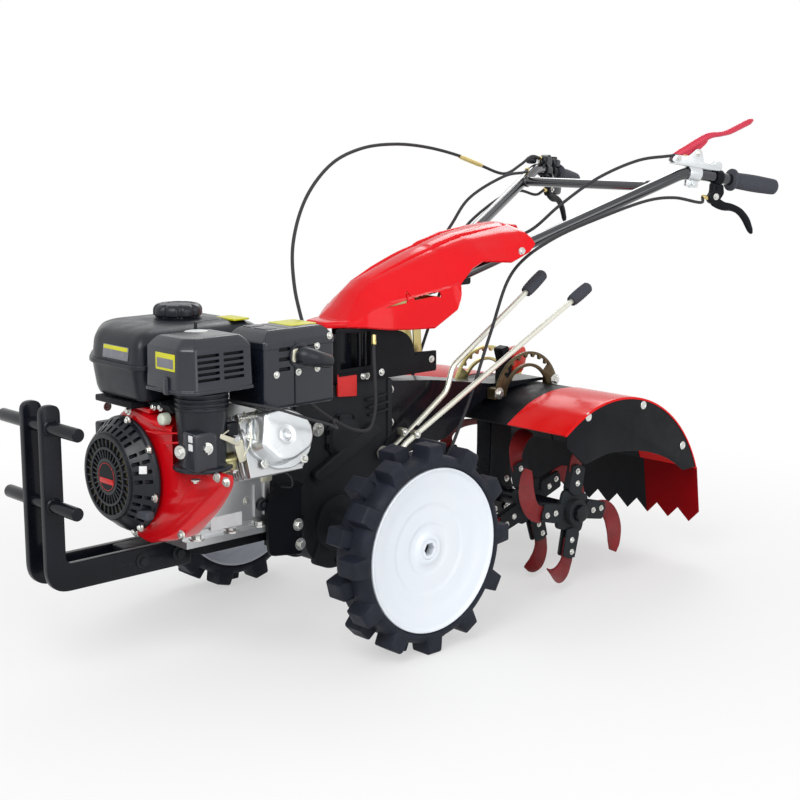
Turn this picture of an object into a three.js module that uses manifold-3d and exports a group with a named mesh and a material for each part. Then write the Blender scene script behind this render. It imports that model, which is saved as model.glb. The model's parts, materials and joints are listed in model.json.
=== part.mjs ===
// A two-wheeled power tiller: petrol engine in front of the wheels, gear case over the axle,
// rotary tiller behind, handlebar above.
// Millimetres. +X points forward (engine end), +Y to the machine's left, +Z up.
// Every piece is placed in the axle frame, whose origin is on the ground right under the wheel axle.
// The last group moves the machine along X so that the part's own origin is under the middle of its box.
import * as THREE from "three";
import { mergeVertices } from "three/addons/utils/BufferGeometryUtils.js";
import Module from "manifold-3d";

const wasm = await Module();
wasm.setup();

// ---------------------------------------------------------------- driving dimensions
const GAP = 0.3; // seat gap between two pieces that touch
const RUN = 0.7; // running clearance round a shaft

const WHEEL = {
  outerR: 205, // over the lug tips
  carcassR: 182, // tyre tread between the lugs
  rimR: 160, // bead seat, and edge of the pressed disc
  width: 92,
  track: 608, // between the middles of the two tyres
  lugs: 12, // on each side of each tyre
  lugLength: 42, // round the tyre, at the lug's foot
  lugTipLength: 32,
  rimWall: 4,
  dish: 22, // how deep the disc is pressed in
  hubR: 32,
  hexAcross: 23, // half axle, across flats
  facets: 28,
};

const ROTOR = {
  x: -520,
  tipR: 175,
  restAngle: 15, // degrees: the tips that carry the rotor stand this far either side of straight down
  shaftR: 18,
  flangeR: 62,
  flangeThickness: 10,
  bladeThickness: 8,
  bladeWidth: 34,
  tipReach: 36, // sideways reach of the bent tip
};
const radians = (degrees) => (degrees * Math.PI) / 180;
const AXLE_Z = Math.sqrt(WHEEL.outerR ** 2 - (WHEEL.lugTipLength / 2) ** 2); // a lug's flat is on the ground
const ROTOR_Z = ROTOR.tipR * Math.cos(radians(ROTOR.restAngle));

const RAIL = {
  y: 31.3, // middle of each flat bar
  thickness: 14,
  frontX: 648,
  uprightWidth: 38,
  bottomZ: 184,
  barHeight: 50,
  topZ: 536,
  rearX: 345,
  bendR: 46,
  pegX: 630,
  pegLowZ: 344,
  pegHighZ: 484,
  pegR: 12,
};

const ENGINE = {
  crankZ: 369,
  baseZ: RAIL.bottomZ + RAIL.barHeight + GAP, // the engine's foot stands on the two rails
  flangeHeight: 13,
  rearX: 196,
  frontX: 400, // joint face of the fan housing
  halfWidth: 92,
  flangeHalfWidth: 106,
  topZ: 478,
  cylinderTilt: 18, // degrees above level
  cylinderX: 274,
  cylinderLength: 120,
  cylinderHeight: 118,
  headReach: 208, // from the crank to the cover joint
  coverReach: 250,
};

const COWL = { frontX: 455, scrollR: 110, recoilR: 103, gripR: 78, recoilX: 466, faceX: 499, wall: 2.5 };

const TANK = { rearX: 190, frontX: 490, rightY: -150, leftY: 100, bottomZ: 514, seamZ: 578, topZ: 634, wall: 3 };
const CAP = { x: 320, y: -20, r: 46, height: 27, neckR: 27 };
const CLEANER = { rearX: 328, frontX: 480, rightY: 103, leftY: 231, bottomZ: 543, topZ: 640, corner: 8 };
const BOWL = { x: 405, y: 170, r: 49, bottomZ: 393 };
const MUFFLER = { rearX: 147, frontX: 312, rightY: 116, leftY: 232, bottomZ: 497, topZ: 640, wall: 2.5 };

const CASE = {
  halfWidth: 55,
  frontX: 100,
  rearX: -150,
  topZ: 486,
  carrierR: 34,
  carrierReach: 150, // how far each axle carrier stands out from the middle
  foot: 88, // radius of the case round the axle
};

const BEAM = { halfWidth: 42, legHalfWidth: 20, legHalfLength: 34 };

const FENDER = {
  x: -597,
  z: 116,
  r: 303,
  sheet: 3,
  frontAngle: 54, // degrees above the horizontal, at the front edge
  rearAngle: 160,
  endY: 303,
  flapBottomZ: 84,
  flapLean: 18, // how far back the flap's lower edge stands
  teeth: 9,
  toothHeight: 27,
};

const HANDLE = {
  r: 13,
  rootX: -300,
  rootY: 24,
  rootZ: 656,
  bendX: -901,
  bendY: 227,
  bendZ: 892,
  endX: -1136,
  endY: 306,
  endZ: 854,
  crossX: -822,
  crossR: 11,
  gripLength: 132,
  capDepth: 6, // closed end of the grip past the tube
  gripR: 17.5,
};

// Cross-sections of the bonnet: a wall up to the waist, a slope to the fold, and a low crown.
const HOOD = {
  wall: 4,
  tailX: -560,
  tailHalfWidth: 46,
  sections: [
    { x: -40, half: 50, low: 597, waist: 604, fold: 47, shoulder: 608, crown: 612 },
    { x: -68, half: 58, low: 596, waist: 622, fold: 30, shoulder: 638, crown: 644 },
    { x: -90, half: 66, low: 593, waist: 634, fold: 29, shoulder: 662, crown: 667 },
    { x: -122, half: 76, low: 589, waist: 645, fold: 33, shoulder: 684, crown: 690 },
    { x: -172, half: 84, low: 586, waist: 652, fold: 41, shoulder: 702, crown: 708 },
    { x: -231, half: 90, low: 580, waist: 660, fold: 46, shoulder: 722, crown: 729 },
    { x: -278, half: 94, low: 593, waist: 668, fold: 48, shoulder: 737, crown: 745 },
    { x: -343, half: 100, low: 622, waist: 684, fold: 52, shoulder: 753, crown: 762 },
    { x: -366, half: 102, low: 681, waist: 700, fold: 55, shoulder: 758, crown: 768 },
    { x: -447, half: 110, low: 708, waist: 724, fold: 71, shoulder: 768, crown: 781 },
    { x: -500, half: 117, low: 724, waist: 745, fold: 86, shoulder: 772, crown: 787 },
    { x: -514, half: 119, low: 744, waist: 752, fold: 90, shoulder: 771, crown: 787 },
  ],
};

const LEVER = { rodR: 6, knobR: 14, shaftR: 10, shaftX: -122, shaftZ: 330, eyeR: 17, eyeWidth: 12 };
const CABLE_R = 3.5;

const COLOURS = {
  black: { color: 0x23262d, roughness: 0.45, metalness: 0.2 },
  plastic: { color: 0x262a33, roughness: 0.4, metalness: 0.0 },
  rubber: { color: 0x202229, roughness: 0.8, metalness: 0.0 },
  red: { color: 0xec1c24, roughness: 0.25, metalness: 0.0 },
  paintRed: { color: 0xd0060c, roughness: 0.3, metalness: 0.1 },
  tineRed: { color: 0x5f1c20, roughness: 0.5, metalness: 0.3 },
  white: { color: 0xe1e8f0, roughness: 0.35, metalness: 0.1 },
  casting: { color: 0xa9acb0, roughness: 0.55, metalness: 0.8 },
  bright: { color: 0xd8dadc, roughness: 0.3, metalness: 0.9 },
  zinc: { color: 0xc8c4a4, roughness: 0.35, metalness: 0.9 },
};

// ---------------------------------------------------------------- shape helpers
const machine = new THREE.Group();

function piece(name, geometry, look) {
  const mesh = new THREE.Mesh(geometry, new THREE.MeshStandardMaterial(COLOURS[look]));
  mesh.name = name;
  machine.add(mesh);
  return mesh;
}

// A solid that can be joined and cut.
function solid(geometry) {
  const bare = geometry.index ? geometry.toNonIndexed() : geometry.clone();
  bare.deleteAttribute("normal");
  bare.deleteAttribute("uv");
  const merged = mergeVertices(bare, 1e-3);
  const vertProperties = new Float32Array(merged.attributes.position.array);
  const triVerts = new Uint32Array(merged.index.array);
  return new wasm.Manifold(new wasm.Mesh({ numProp: 3, vertProperties, triVerts }));
}

function shapeOf(manifold) {
  const mesh = manifold.getMesh();
  const geometry = new THREE.BufferGeometry();
  geometry.setAttribute("position", new THREE.BufferAttribute(new Float32Array(mesh.vertProperties), 3));
  geometry.setIndex(new THREE.BufferAttribute(new Uint32Array(mesh.triVerts), 1));
  return geometry;
}

const join = (first, ...rest) => shapeOf(rest.reduce((sum, one) => sum.add(solid(one)), solid(first)));
const cut = (first, ...rest) => shapeOf(rest.reduce((left, one) => left.subtract(solid(one)), solid(first)));
const common = (first, second) => shapeOf(solid(first).intersect(solid(second)));

function box(x0, x1, y0, y1, z0, z1) {
  const geometry = new THREE.BoxGeometry(x1 - x0, y1 - y0, z1 - z0);
  return geometry.translate((x0 + x1) / 2, (y0 + y1) / 2, (z0 + z1) / 2);
}

// An outline as a shape: each corner is [a, b] or [a, b, fillet radius].
function outline(corners) {
  const path = new THREE.Shape();
  corners.forEach((corner, i) => {
    const [a, b, radius = 0] = corner;
    const before = corners[(i + corners.length - 1) % corners.length];
    const after = corners[(i + 1) % corners.length];
    const towards = (other) => new THREE.Vector2(other[0] - a, other[1] - b).normalize().multiplyScalar(radius);
    const here = new THREE.Vector2(a, b);
    const enter = here.clone().add(towards(before));
    const leave = here.clone().add(towards(after));
    if (i === 0) path.moveTo(enter.x, enter.y);
    else path.lineTo(enter.x, enter.y);
    if (radius > 0) path.quadraticCurveTo(here.x, here.y, leave.x, leave.y);
  });
  path.closePath();
  return path;
}

const round = (a, b, radius, sides) =>
  Array.from({ length: sides }, (_, i) => {
    const turn = (2 * Math.PI * i) / sides;
    return [a + radius * Math.cos(turn), b + radius * Math.sin(turn)];
  });

const flat = (shape, depth, curveSegments = 4) =>
  new THREE.ExtrudeGeometry(shape, { depth, bevelEnabled: false, curveSegments });

// A counter-clockwise outline of plain corners, moved inwards by a wall.
function shrunk(corners, wall) {
  return corners.map(([a, b], i) => {
    const before = corners[(i + corners.length - 1) % corners.length];
    const after = corners[(i + 1) % corners.length];
    const into = new THREE.Vector2(a - before[0], b - before[1]).normalize();
    const away = new THREE.Vector2(after[0] - a, after[1] - b).normalize();
    const share = wall / (1 + into.dot(away));
    return [a - share * (into.y + away.y), b + share * (into.x + away.x)];
  });
}

// Side outlines hold [x, z] and are as thick as y0 to y1.
function sidePlate(corners, y0, y1, curveSegments = 4) {
  return flat(outline(corners), y1 - y0, curveSegments).rotateX(Math.PI / 2).translate(0, y1, 0);
}

// Front outlines hold [y, z] and reach from x0 to x1.
function frontPlate(corners, x0, x1, curveSegments = 4) {
  const turned = new THREE.Matrix4().set(0, 0, 1, 0, 1, 0, 0, 0, 0, 1, 0, 0, 0, 0, 0, 1);
  return flat(outline(corners), x1 - x0, curveSegments).applyMatrix4(turned).translate(x0, 0, 0);
}

// Plan outlines hold [x, y] and reach from z0 to z1.
const planPlate = (corners, z0, z1, curveSegments = 4) =>
  flat(outline(corners), z1 - z0, curveSegments).translate(0, 0, z0);

const barX = (y, z, r, x0, x1, sides = 20) => frontPlate(round(y, z, r, sides), x0, x1);
const barY = (x, z, r, y0, y1, sides = 20) => sidePlate(round(x, z, r, sides), y0, y1);
const barZ = (x, y, r, z0, z1, sides = 20) => planPlate(round(x, y, r, sides), z0, z1);

// Hexagonal bar along Y with two flats level.
const hexBarY = (x, z, across, y0, y1) =>
  sidePlate(round(0, 0, across / Math.sqrt(3), 6), y0, y1).translate(x, 0, z);

// A round section carried along straight runs with rounded corners: points are [x, y, z].
function bentBar(points, radius, bend, steps, sides = 10) {
  const corners = points.map((p) => new THREE.Vector3(...p));
  const path = new THREE.CurvePath();
  let from = corners[0];
  for (let i = 1; i < corners.length - 1; i += 1) {
    const enter = corners[i].clone().add(corners[i - 1].clone().sub(corners[i]).setLength(bend));
    const leave = corners[i].clone().add(corners[i + 1].clone().sub(corners[i]).setLength(bend));
    path.add(new THREE.LineCurve3(from, enter));
    path.add(new THREE.QuadraticBezierCurve3(enter, corners[i], leave));
    from = leave;
  }
  path.add(new THREE.LineCurve3(from, corners[corners.length - 1]));
  return sweep(path, radius, steps, sides);
}

function sweep(path, radius, steps, sides) {
  const section = outline(round(0, 0, radius, sides));
  return new THREE.ExtrudeGeometry(section, { steps, bevelEnabled: false, extrudePath: path });
}

// A cable through hand-chosen points, [x, y, z] each.
const cable = (points, steps) =>
  sweep(new THREE.CatmullRomCurve3(points.map((p) => new THREE.Vector3(...p)), false, "centripetal"), CABLE_R, steps, 8);

// Moves a shape made along +X at the origin so that +X lies along from -> to and +Z stays uppermost.
function aim(geometry, from, to) {
  const forward = new THREE.Vector3(...to).sub(new THREE.Vector3(...from)).normalize();
  const side = new THREE.Vector3(0, 0, 1).cross(forward).normalize();
  const up = forward.clone().cross(side);
  const place = new THREE.Matrix4().makeBasis(forward, side, up).setPosition(...from);
  return geometry.applyMatrix4(place);
}

// Straight round bars end to end, with a ball at each corner: points are [x, y, z].
function mitredBar(points, radius, sides = 10) {
  const runs = points.slice(1).map((to, i) => {
    const length = new THREE.Vector3(...to).distanceTo(new THREE.Vector3(...points[i]));
    return aim(barX(0, 0, radius, 0, length, sides), points[i], to);
  });
  const balls = points.slice(1, -1).map((p) => new THREE.SphereGeometry(radius, sides, 6).translate(...p));
  return join(...runs, ...balls);
}

// ---------------------------------------------------------------- front weight hanger
function railOutline() {
  const { frontX, uprightWidth, bottomZ, barHeight, topZ, rearX, bendR } = RAIL;
  const backX = frontX - uprightWidth;
  return [
    [rearX, bottomZ, 10],
    [frontX, bottomZ, bendR],
    [frontX, topZ, uprightWidth / 2 - 0.5],
    [backX, topZ, uprightWidth / 2 - 0.5],
    [backX, bottomZ + barHeight, 8],
    [rearX, bottomZ + barHeight, 22],
  ];
}

const pegs = [
  { name: "weight_peg_upper", z: RAIL.pegHighZ, reach: 130 },
  { name: "weight_peg_lower", z: RAIL.pegLowZ, reach: 118 },
];
for (const side of [{ name: "left", sign: 1 }, { name: "right", sign: -1 }]) {
  const middle = side.sign * RAIL.y;
  const rail = sidePlate(railOutline(), middle - RAIL.thickness / 2, middle + RAIL.thickness / 2, 5);
  const holes = pegs.map((peg) =>
    barY(RAIL.pegX, peg.z, RAIL.pegR + GAP, middle - RAIL.thickness, middle + RAIL.thickness, 16));
  piece(`front_rail_${side.name}`, cut(rail, ...holes), "black");
}
for (const peg of pegs) {
  piece(peg.name, barY(RAIL.pegX, peg.z, RAIL.pegR, -peg.reach, peg.reach, 16), "black");
}

const railInnerY = RAIL.y - RAIL.thickness / 2 - GAP;
const bedTopZ = ENGINE.baseZ - GAP;
const bed = {
  frontX: 480,
  sideY: 74,
  bottomZ: 206,
  rearX: 130,
};
piece("engine_bed", planPlate([
  [bed.rearX, -bed.sideY],
  [RAIL.rearX - GAP, -bed.sideY],
  [RAIL.rearX - GAP, -railInnerY],
  [bed.frontX, -railInnerY],
  [bed.frontX, railInnerY],
  [RAIL.rearX - GAP, railInnerY],
  [RAIL.rearX - GAP, bed.sideY],
  [bed.rearX, bed.sideY],
], bed.bottomZ, bedTopZ), "black");

// ---------------------------------------------------------------- engine
// The cylinder leans out to the left: its own frame has +Y along the bore.
function leaned(geometry) {
  return geometry.rotateX(radians(ENGINE.cylinderTilt)).translate(ENGINE.cylinderX, 0, ENGINE.crankZ);
}
function cylinderBlock(margin) {
  const half = ENGINE.cylinderLength / 2 + margin;
  const high = ENGINE.cylinderHeight / 2 + margin;
  return leaned(box(-half, half, 70, ENGINE.headReach + margin, -high, high));
}
const crankcase = {
  footZ: ENGINE.baseZ + ENGINE.flangeHeight,
  shoulder: 46,
};
const tankPosts = [230, 350].map((x) =>
  box(x - 14, x + 14, -44, 44, ENGINE.topZ - 4, TANK.bottomZ - GAP));
piece("crankcase", cut(
  join(
    frontPlate([
      [-ENGINE.halfWidth, crankcase.footZ - 2],
      [ENGINE.halfWidth, crankcase.footZ - 2],
      [ENGINE.halfWidth, ENGINE.topZ - crankcase.shoulder],
      [ENGINE.halfWidth - crankcase.shoulder, ENGINE.topZ],
      [-ENGINE.halfWidth + crankcase.shoulder, ENGINE.topZ],
      [-ENGINE.halfWidth, ENGINE.topZ - crankcase.shoulder],
    ], ENGINE.rearX, ENGINE.frontX),
    box(ENGINE.rearX, ENGINE.frontX, -ENGINE.flangeHalfWidth, ENGINE.flangeHalfWidth, ENGINE.baseZ, crankcase.footZ),
    ...tankPosts,
  ),
  cylinderBlock(GAP),
), "casting");

// Cylinder with its cooling fins: rings round the bore between the crankcase and the head.
const fin = { first: 102, step: 16, count: 6, thickness: 5, depth: 10 };
const finSlots = Array.from({ length: fin.count }, (_, i) => {
  const from = fin.first + fin.step * i + fin.thickness;
  const to = from + fin.step - fin.thickness;
  const half = ENGINE.cylinderLength / 2;
  const high = ENGINE.cylinderHeight / 2;
  const shell = box(-half - 1, half + 1, from, to, -high - 1, high + 1);
  const core = box(-half + fin.depth, half - fin.depth, from - 1, to + 1, -high + fin.depth, high - fin.depth);
  return leaned(cut(shell, core));
});
piece("cylinder_head", cut(cylinderBlock(0), ...finSlots), "casting");

const cover = { halfLength: 68, halfHeight: 54, lip: 6 };
piece("valve_cover", leaned(join(
  frontPlate([[0, 0], [1, 0], [1, 1], [0, 1]], 0, 1).scale(2 * cover.halfLength, cover.lip, 2 * cover.halfHeight)
    .translate(-cover.halfLength, ENGINE.headReach + GAP, -cover.halfHeight),
  sidePlate([
    [-cover.halfLength + 8, -cover.halfHeight + 8, 14],
    [cover.halfLength - 8, -cover.halfHeight + 8, 30],
    [cover.halfLength - 8, cover.halfHeight - 8, 14],
    [-cover.halfLength + 8, cover.halfHeight - 8, 14],
  ], ENGINE.headReach + GAP + 1, ENGINE.coverReach, 3),
)), "bright");

// Fan cowl: a round scroll about the crank that spreads out to the cylinder.
const scroll = Array.from({ length: 10 }, (_, i) => {
  const turn = radians(120 + 15 * i);
  return [COWL.scrollR * Math.cos(turn), ENGINE.crankZ + COWL.scrollR * Math.sin(turn)];
});
const cowlOutline = [
  [4, 497],
  ...scroll,
  [36, 245],
  [92, 246],
  [164, 267],
  [252, 376],
  [256, 410],
  [233, 443],
  [80, 486],
];
// A sheet steel shell, open towards the crankcase and the cylinder.
piece("fan_housing", cut(
  frontPlate(cowlOutline, ENGINE.frontX + GAP, COWL.frontX),
  frontPlate(shrunk(cowlOutline, COWL.wall), ENGINE.frontX - 1, COWL.frontX - COWL.wall),
  cylinderBlock(GAP),
  barZ(BOWL.x, BOWL.y, BOWL.r + 2, BOWL.bottomZ - 2, TANK.topZ, 20),
), "paintRed");

// Recoil starter: a turned cover about the crank axis.
const recoilProfile = [
  [0, COWL.frontX + GAP],
  [COWL.recoilR + 6, COWL.frontX + GAP],
  [COWL.recoilR, COWL.recoilX],
  [COWL.gripR + 4, COWL.faceX - 4],
  [COWL.gripR - 4, COWL.faceX],
  [0, COWL.faceX],
];
piece("recoil_starter", turnedX(recoilProfile, 32).translate(0, 0, ENGINE.crankZ), "plastic");

// Profile [radius, x] turned about the X axis.
function turnedX(profile, sides) {
  const points = profile.map(([r, x]) => new THREE.Vector2(r, x));
  return new THREE.LatheGeometry(points, sides).rotateZ(-Math.PI / 2);
}

// Fuel tank: two shells that meet at a flange, with the front right corner cut off.
function tankOutline(inset) {
  const { rearX, frontX, rightY, leftY } = TANK;
  return [
    [rearX + inset, rightY + inset, 20],
    [frontX - 62, rightY + inset, 20],
    [frontX - inset, -62, 20],
    [frontX - inset, leftY - Math.max(inset, 0), 8],
    [rearX + inset, leftY - Math.max(inset, 0), 8],
  ];
}
const tankCrown = 10; // height of the raised middle of the lid
piece("fuel_tank", cut(
  join(
    planPlate(tankOutline(14), TANK.bottomZ, TANK.seamZ, 3),
    planPlate(tankOutline(0), TANK.seamZ - 4, TANK.seamZ + 4, 3),
    planPlate(tankOutline(8), TANK.seamZ, TANK.topZ, 3),
    planPlate(tankOutline(34), TANK.topZ - 1, TANK.topZ + tankCrown, 3),
  ),
  planPlate(tankOutline(14 + TANK.wall), TANK.bottomZ + TANK.wall, TANK.topZ - TANK.wall, 3),
  barZ(CAP.x, CAP.y, CAP.neckR, TANK.topZ - TANK.wall - 1, TANK.topZ + tankCrown + 1, 20),
), "plastic");
const capFootZ = TANK.topZ + tankCrown + GAP;
piece("fuel_cap", barZ(CAP.x, CAP.y, CAP.r, capFootZ, capFootZ + CAP.height, 24), "plastic");

piece("air_cleaner", join(
  planPlate([
    [CLEANER.rearX, CLEANER.rightY, 6],
    [CLEANER.frontX, CLEANER.rightY, 6],
    [CLEANER.frontX, CLEANER.leftY, CLEANER.corner],
    [CLEANER.rearX, CLEANER.leftY, 10],
  ], CLEANER.bottomZ, CLEANER.topZ - 18, 3),
  planPlate([
    [CLEANER.rearX + 14, CLEANER.rightY + 4, 6],
    [CLEANER.frontX - 14, CLEANER.rightY + 4, 6],
    [CLEANER.frontX - 14, CLEANER.leftY - 14, CLEANER.corner],
    [CLEANER.rearX + 14, CLEANER.leftY - 14, 10],
  ], CLEANER.topZ - 19, CLEANER.topZ, 3),
), "plastic");
piece("air_cleaner_bowl", barZ(BOWL.x, BOWL.y, BOWL.r, BOWL.bottomZ, CLEANER.bottomZ - GAP, 24), "plastic");

const carb = { rearX: 346, flangeX: 330, y: 176, z: 440, r: 22, floatR: 19, floatX: 366, bottomZ: 388 };
piece("carburettor", cut(
  join(
    box(carb.rearX, BOWL.x, carb.y - 22, carb.y + 22, carb.z - 22, carb.z + 26),
    barZ(carb.floatX, carb.y, carb.floatR, carb.bottomZ, carb.z, 16),
    box(carb.flangeX, carb.rearX + 1, carb.y - 38, carb.y + 2, carb.z - 18, carb.z + 18),
  ),
  barZ(BOWL.x, BOWL.y, BOWL.r + GAP, BOWL.bottomZ - 40, CLEANER.bottomZ, 24),
  cylinderBlock(GAP),
), "casting");

const elbow = { x: 226, z: 588, r: 14, reach: 30, length: 52 };
piece("muffler", cut(
  join(
    planPlate([
      [MUFFLER.rearX, MUFFLER.rightY, 8],
      [MUFFLER.frontX, MUFFLER.rightY, 8],
      [MUFFLER.frontX, MUFFLER.leftY, 16],
      [MUFFLER.rearX, MUFFLER.leftY, 16],
    ], MUFFLER.bottomZ, MUFFLER.topZ - 20, 3),
    planPlate([
      [MUFFLER.rearX + 14, MUFFLER.rightY + 6, 8],
      [MUFFLER.frontX - 14, MUFFLER.rightY + 6, 8],
      [MUFFLER.frontX - 14, MUFFLER.leftY - 14, 16],
      [MUFFLER.rearX + 14, MUFFLER.leftY - 14, 16],
    ], MUFFLER.topZ - 21, MUFFLER.topZ, 3),
  ),
  box(MUFFLER.rearX + MUFFLER.wall, MUFFLER.frontX - MUFFLER.wall, MUFFLER.rightY + MUFFLER.wall,
    MUFFLER.leftY - 14 - MUFFLER.wall, MUFFLER.bottomZ + MUFFLER.wall, MUFFLER.topZ - 20 - MUFFLER.wall),
  barY(elbow.x, elbow.z, elbow.r - 3, MUFFLER.leftY - 30, MUFFLER.leftY + 1, 16),
), "plastic");
piece("exhaust_elbow", bentBar([
  [elbow.x, MUFFLER.leftY + GAP, elbow.z],
  [elbow.x, MUFFLER.leftY + elbow.reach, elbow.z],
  [elbow.x - elbow.length, MUFFLER.leftY + elbow.reach, elbow.z],
], elbow.r, 16, 6, 10), "plastic");

// ---------------------------------------------------------------- drive train
const bell = { r: 98, sides: 28 };
piece("clutch_housing", join(
  barX(0, ENGINE.crankZ, bell.r, CASE.frontX + GAP, ENGINE.rearX - GAP, bell.sides),
  box(CASE.frontX + GAP, ENGINE.rearX - GAP, -62, 62, 246, ENGINE.crankZ),
), "black");

const bracket = { rearX: 136, frontX: 216, bottomZ: 176, topZ: 322, thickness: 8 };
piece("side_bracket", join(
  sidePlate([
    [bracket.rearX, bracket.bottomZ, 8],
    [bracket.frontX, bracket.bottomZ + 10, 14],
    [bracket.frontX + 6, bracket.topZ - 40, 14],
    [bracket.frontX - 12, bracket.topZ, 8],
    [bracket.rearX, bracket.topZ, 8],
  ], ENGINE.flangeHalfWidth + GAP, ENGINE.flangeHalfWidth + GAP + bracket.thickness),
  box(bracket.rearX, ENGINE.rearX - GAP, 70, ENGINE.flangeHalfWidth + GAP + 1, bracket.bottomZ + 20, bed.bottomZ - GAP),
), "black");

const caseOutline = [
  [CASE.foot, AXLE_Z - 20, 20],
  [CASE.frontX, 262, 12],
  [CASE.frontX, ENGINE.crankZ + 92, 12],
  [40, CASE.topZ, 12],
  [CASE.rearX, CASE.topZ, 12],
  [CASE.rearX, 300, 16],
  [-CASE.foot, AXLE_Z, 30],
  [-CASE.foot + 26, AXLE_Z - 72, 24],
  [0, AXLE_Z - CASE.foot, 20],
  [CASE.foot - 26, AXLE_Z - 72, 24],
];
const gearcase = join(
  sidePlate(caseOutline, -CASE.halfWidth, CASE.halfWidth),
  barY(0, AXLE_Z, CASE.carrierR, -CASE.carrierReach, CASE.carrierReach, 16),
  barY(0, AXLE_Z, CASE.carrierR + 24, -CASE.halfWidth - 14, CASE.halfWidth + 14, 16),
);
const axleBoreR = WHEEL.hexAcross / Math.sqrt(3) + RUN;
const axleSeat = 40; // how far each half axle reaches into its carrier
piece("gearbox", cut(
  gearcase,
  barY(0, AXLE_Z, axleBoreR, CASE.carrierReach - axleSeat - 2, CASE.carrierReach + 1, 16),
  barY(0, AXLE_Z, axleBoreR, -CASE.carrierReach - 1, -CASE.carrierReach + axleSeat + 2, 16),
), "black");

// ---------------------------------------------------------------- shift levers
// Each rod's bends and its knob's end are [x, z]; the rods stand beside the gear case, one outside the other.
const levers = [
  {
    name: "travel_shift_lever",
    y: CASE.halfWidth + 15,
    bends: [[-158, 345], [-300, 440], [-318, 492], [-545, 633]],
    tip: [-603, 672],
  },
  {
    name: "rotary_shift_lever",
    y: CASE.halfWidth + 53,
    bends: [[-140, 352], [-655, 607]],
    tip: [-715, 637],
  },
];
const shaftEndY = levers[1].y + LEVER.eyeWidth / 2 + 8;
piece("shift_shaft", barY(LEVER.shaftX, LEVER.shaftZ, LEVER.shaftR, CASE.halfWidth + GAP, shaftEndY, 16), "zinc");
for (const lever of levers) {
  const points = lever.bends.map(([x, z]) => [x, lever.y, z]);
  const knobEnd = [lever.tip[0], lever.y, lever.tip[1]];
  const [firstX, firstZ] = lever.bends[0];
  const share = (LEVER.shaftR + 2) / Math.hypot(firstX - LEVER.shaftX, firstZ - LEVER.shaftZ);
  const start = [
    LEVER.shaftX + share * (firstX - LEVER.shaftX),
    lever.y,
    LEVER.shaftZ + share * (firstZ - LEVER.shaftZ),
  ];
  const last = points[points.length - 1];
  const eye = cut(
    barY(LEVER.shaftX, LEVER.shaftZ, LEVER.eyeR, lever.y - LEVER.eyeWidth / 2, lever.y + LEVER.eyeWidth / 2, 16),
    barY(LEVER.shaftX, LEVER.shaftZ, LEVER.shaftR + GAP, lever.y - LEVER.eyeWidth, lever.y + LEVER.eyeWidth, 16),
  );
  const rod = bentBar([start, ...points, knobEnd], LEVER.rodR, 6, 12, 8);
  const length = new THREE.Vector3(...knobEnd).distanceTo(new THREE.Vector3(...last));
  const knob = aim(barX(0, 0, LEVER.knobR, 0, length + 4, 10), last, knobEnd);
  piece(lever.name, join(eye, rod, knob), "zinc");
}

// Sheet bracket that carries the column: a channel open at the top.
const tray = { frontX: 0, rearX: -277, halfWidth: 62, floorZ: CASE.topZ + GAP, wall: 4 };
const channel = frontPlate([
  [-tray.halfWidth, tray.floorZ],
  [tray.halfWidth, tray.floorZ],
  [tray.halfWidth, 586],
  [tray.halfWidth - tray.wall, 586],
  [tray.halfWidth - tray.wall, tray.floorZ + tray.wall],
  [-tray.halfWidth + tray.wall, tray.floorZ + tray.wall],
  [-tray.halfWidth + tray.wall, 586],
  [-tray.halfWidth, 586],
], tray.rearX, tray.frontX);
piece("console_bracket", cut(
  channel,
  sidePlate([
    [tray.rearX - 1, 529],
    [-205, 529, 8],
    [-163, 570, 10],
    [-155, 590],
    [tray.rearX - 1, 590],
  ], -100, 100),
), "black");

// ---------------------------------------------------------------- handlebar and its column
const column = { halfWidth: 8, frontX: -170, rearX: -262 };
// The strap that holds the bonnet reaches its side walls.
function hoodHalfWidth(x) {
  const after = HOOD.sections.findIndex((section) => section.x <= x);
  const [front, rear] = [HOOD.sections[after - 1], HOOD.sections[after]];
  return front.half + ((x - front.x) / (rear.x - front.x)) * (rear.half - front.half);
}
const strap = { x: -248 };
strap.reach = hoodHalfWidth(strap.x + 8) - HOOD.wall - GAP;
piece("handlebar_column", join(
  sidePlate([
    [column.frontX, 606, 10],
    [column.rearX + 16, 606, 10],
    [HANDLE.rootX - 40, HANDLE.rootZ + 2, 6],
    [HANDLE.rootX - 40, HANDLE.rootZ + 32, 6],
    [column.frontX, 640, 10],
  ], -column.halfWidth, column.halfWidth),
  box(column.rearX + 20, column.frontX - 10, -30, 30, tray.floorZ + tray.wall + GAP, 607),
  box(strap.x - 8, strap.x + 8, -strap.reach, strap.reach, 632, 648),
), "zinc");

for (const side of [{ name: "left", sign: 1 }, { name: "right", sign: -1 }]) {
  const at = (x, y, z) => [x, side.sign * y, z];
  const root = at(HANDLE.rootX, HANDLE.rootY, HANDLE.rootZ);
  const bend = at(HANDLE.bendX, HANDLE.bendY, HANDLE.bendZ);
  const end = at(HANDLE.endX, HANDLE.endY, HANDLE.endZ);
  piece(`handle_${side.name}`, mitredBar([root, bend, end], HANDLE.r, 12), "black");
  const grip = cut(
    join(
      barX(0, 0, HANDLE.gripR, -HANDLE.capDepth, HANDLE.gripLength - HANDLE.capDepth, 16),
      barX(0, 0, HANDLE.gripR + 6, HANDLE.gripLength - 12, HANDLE.gripLength - HANDLE.capDepth, 16),
    ),
    barX(0, 0, HANDLE.r + GAP, -GAP, HANDLE.gripLength, 16),
  );
  piece(`grip_${side.name}`, aim(grip, end, bend), "rubber");
}

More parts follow.
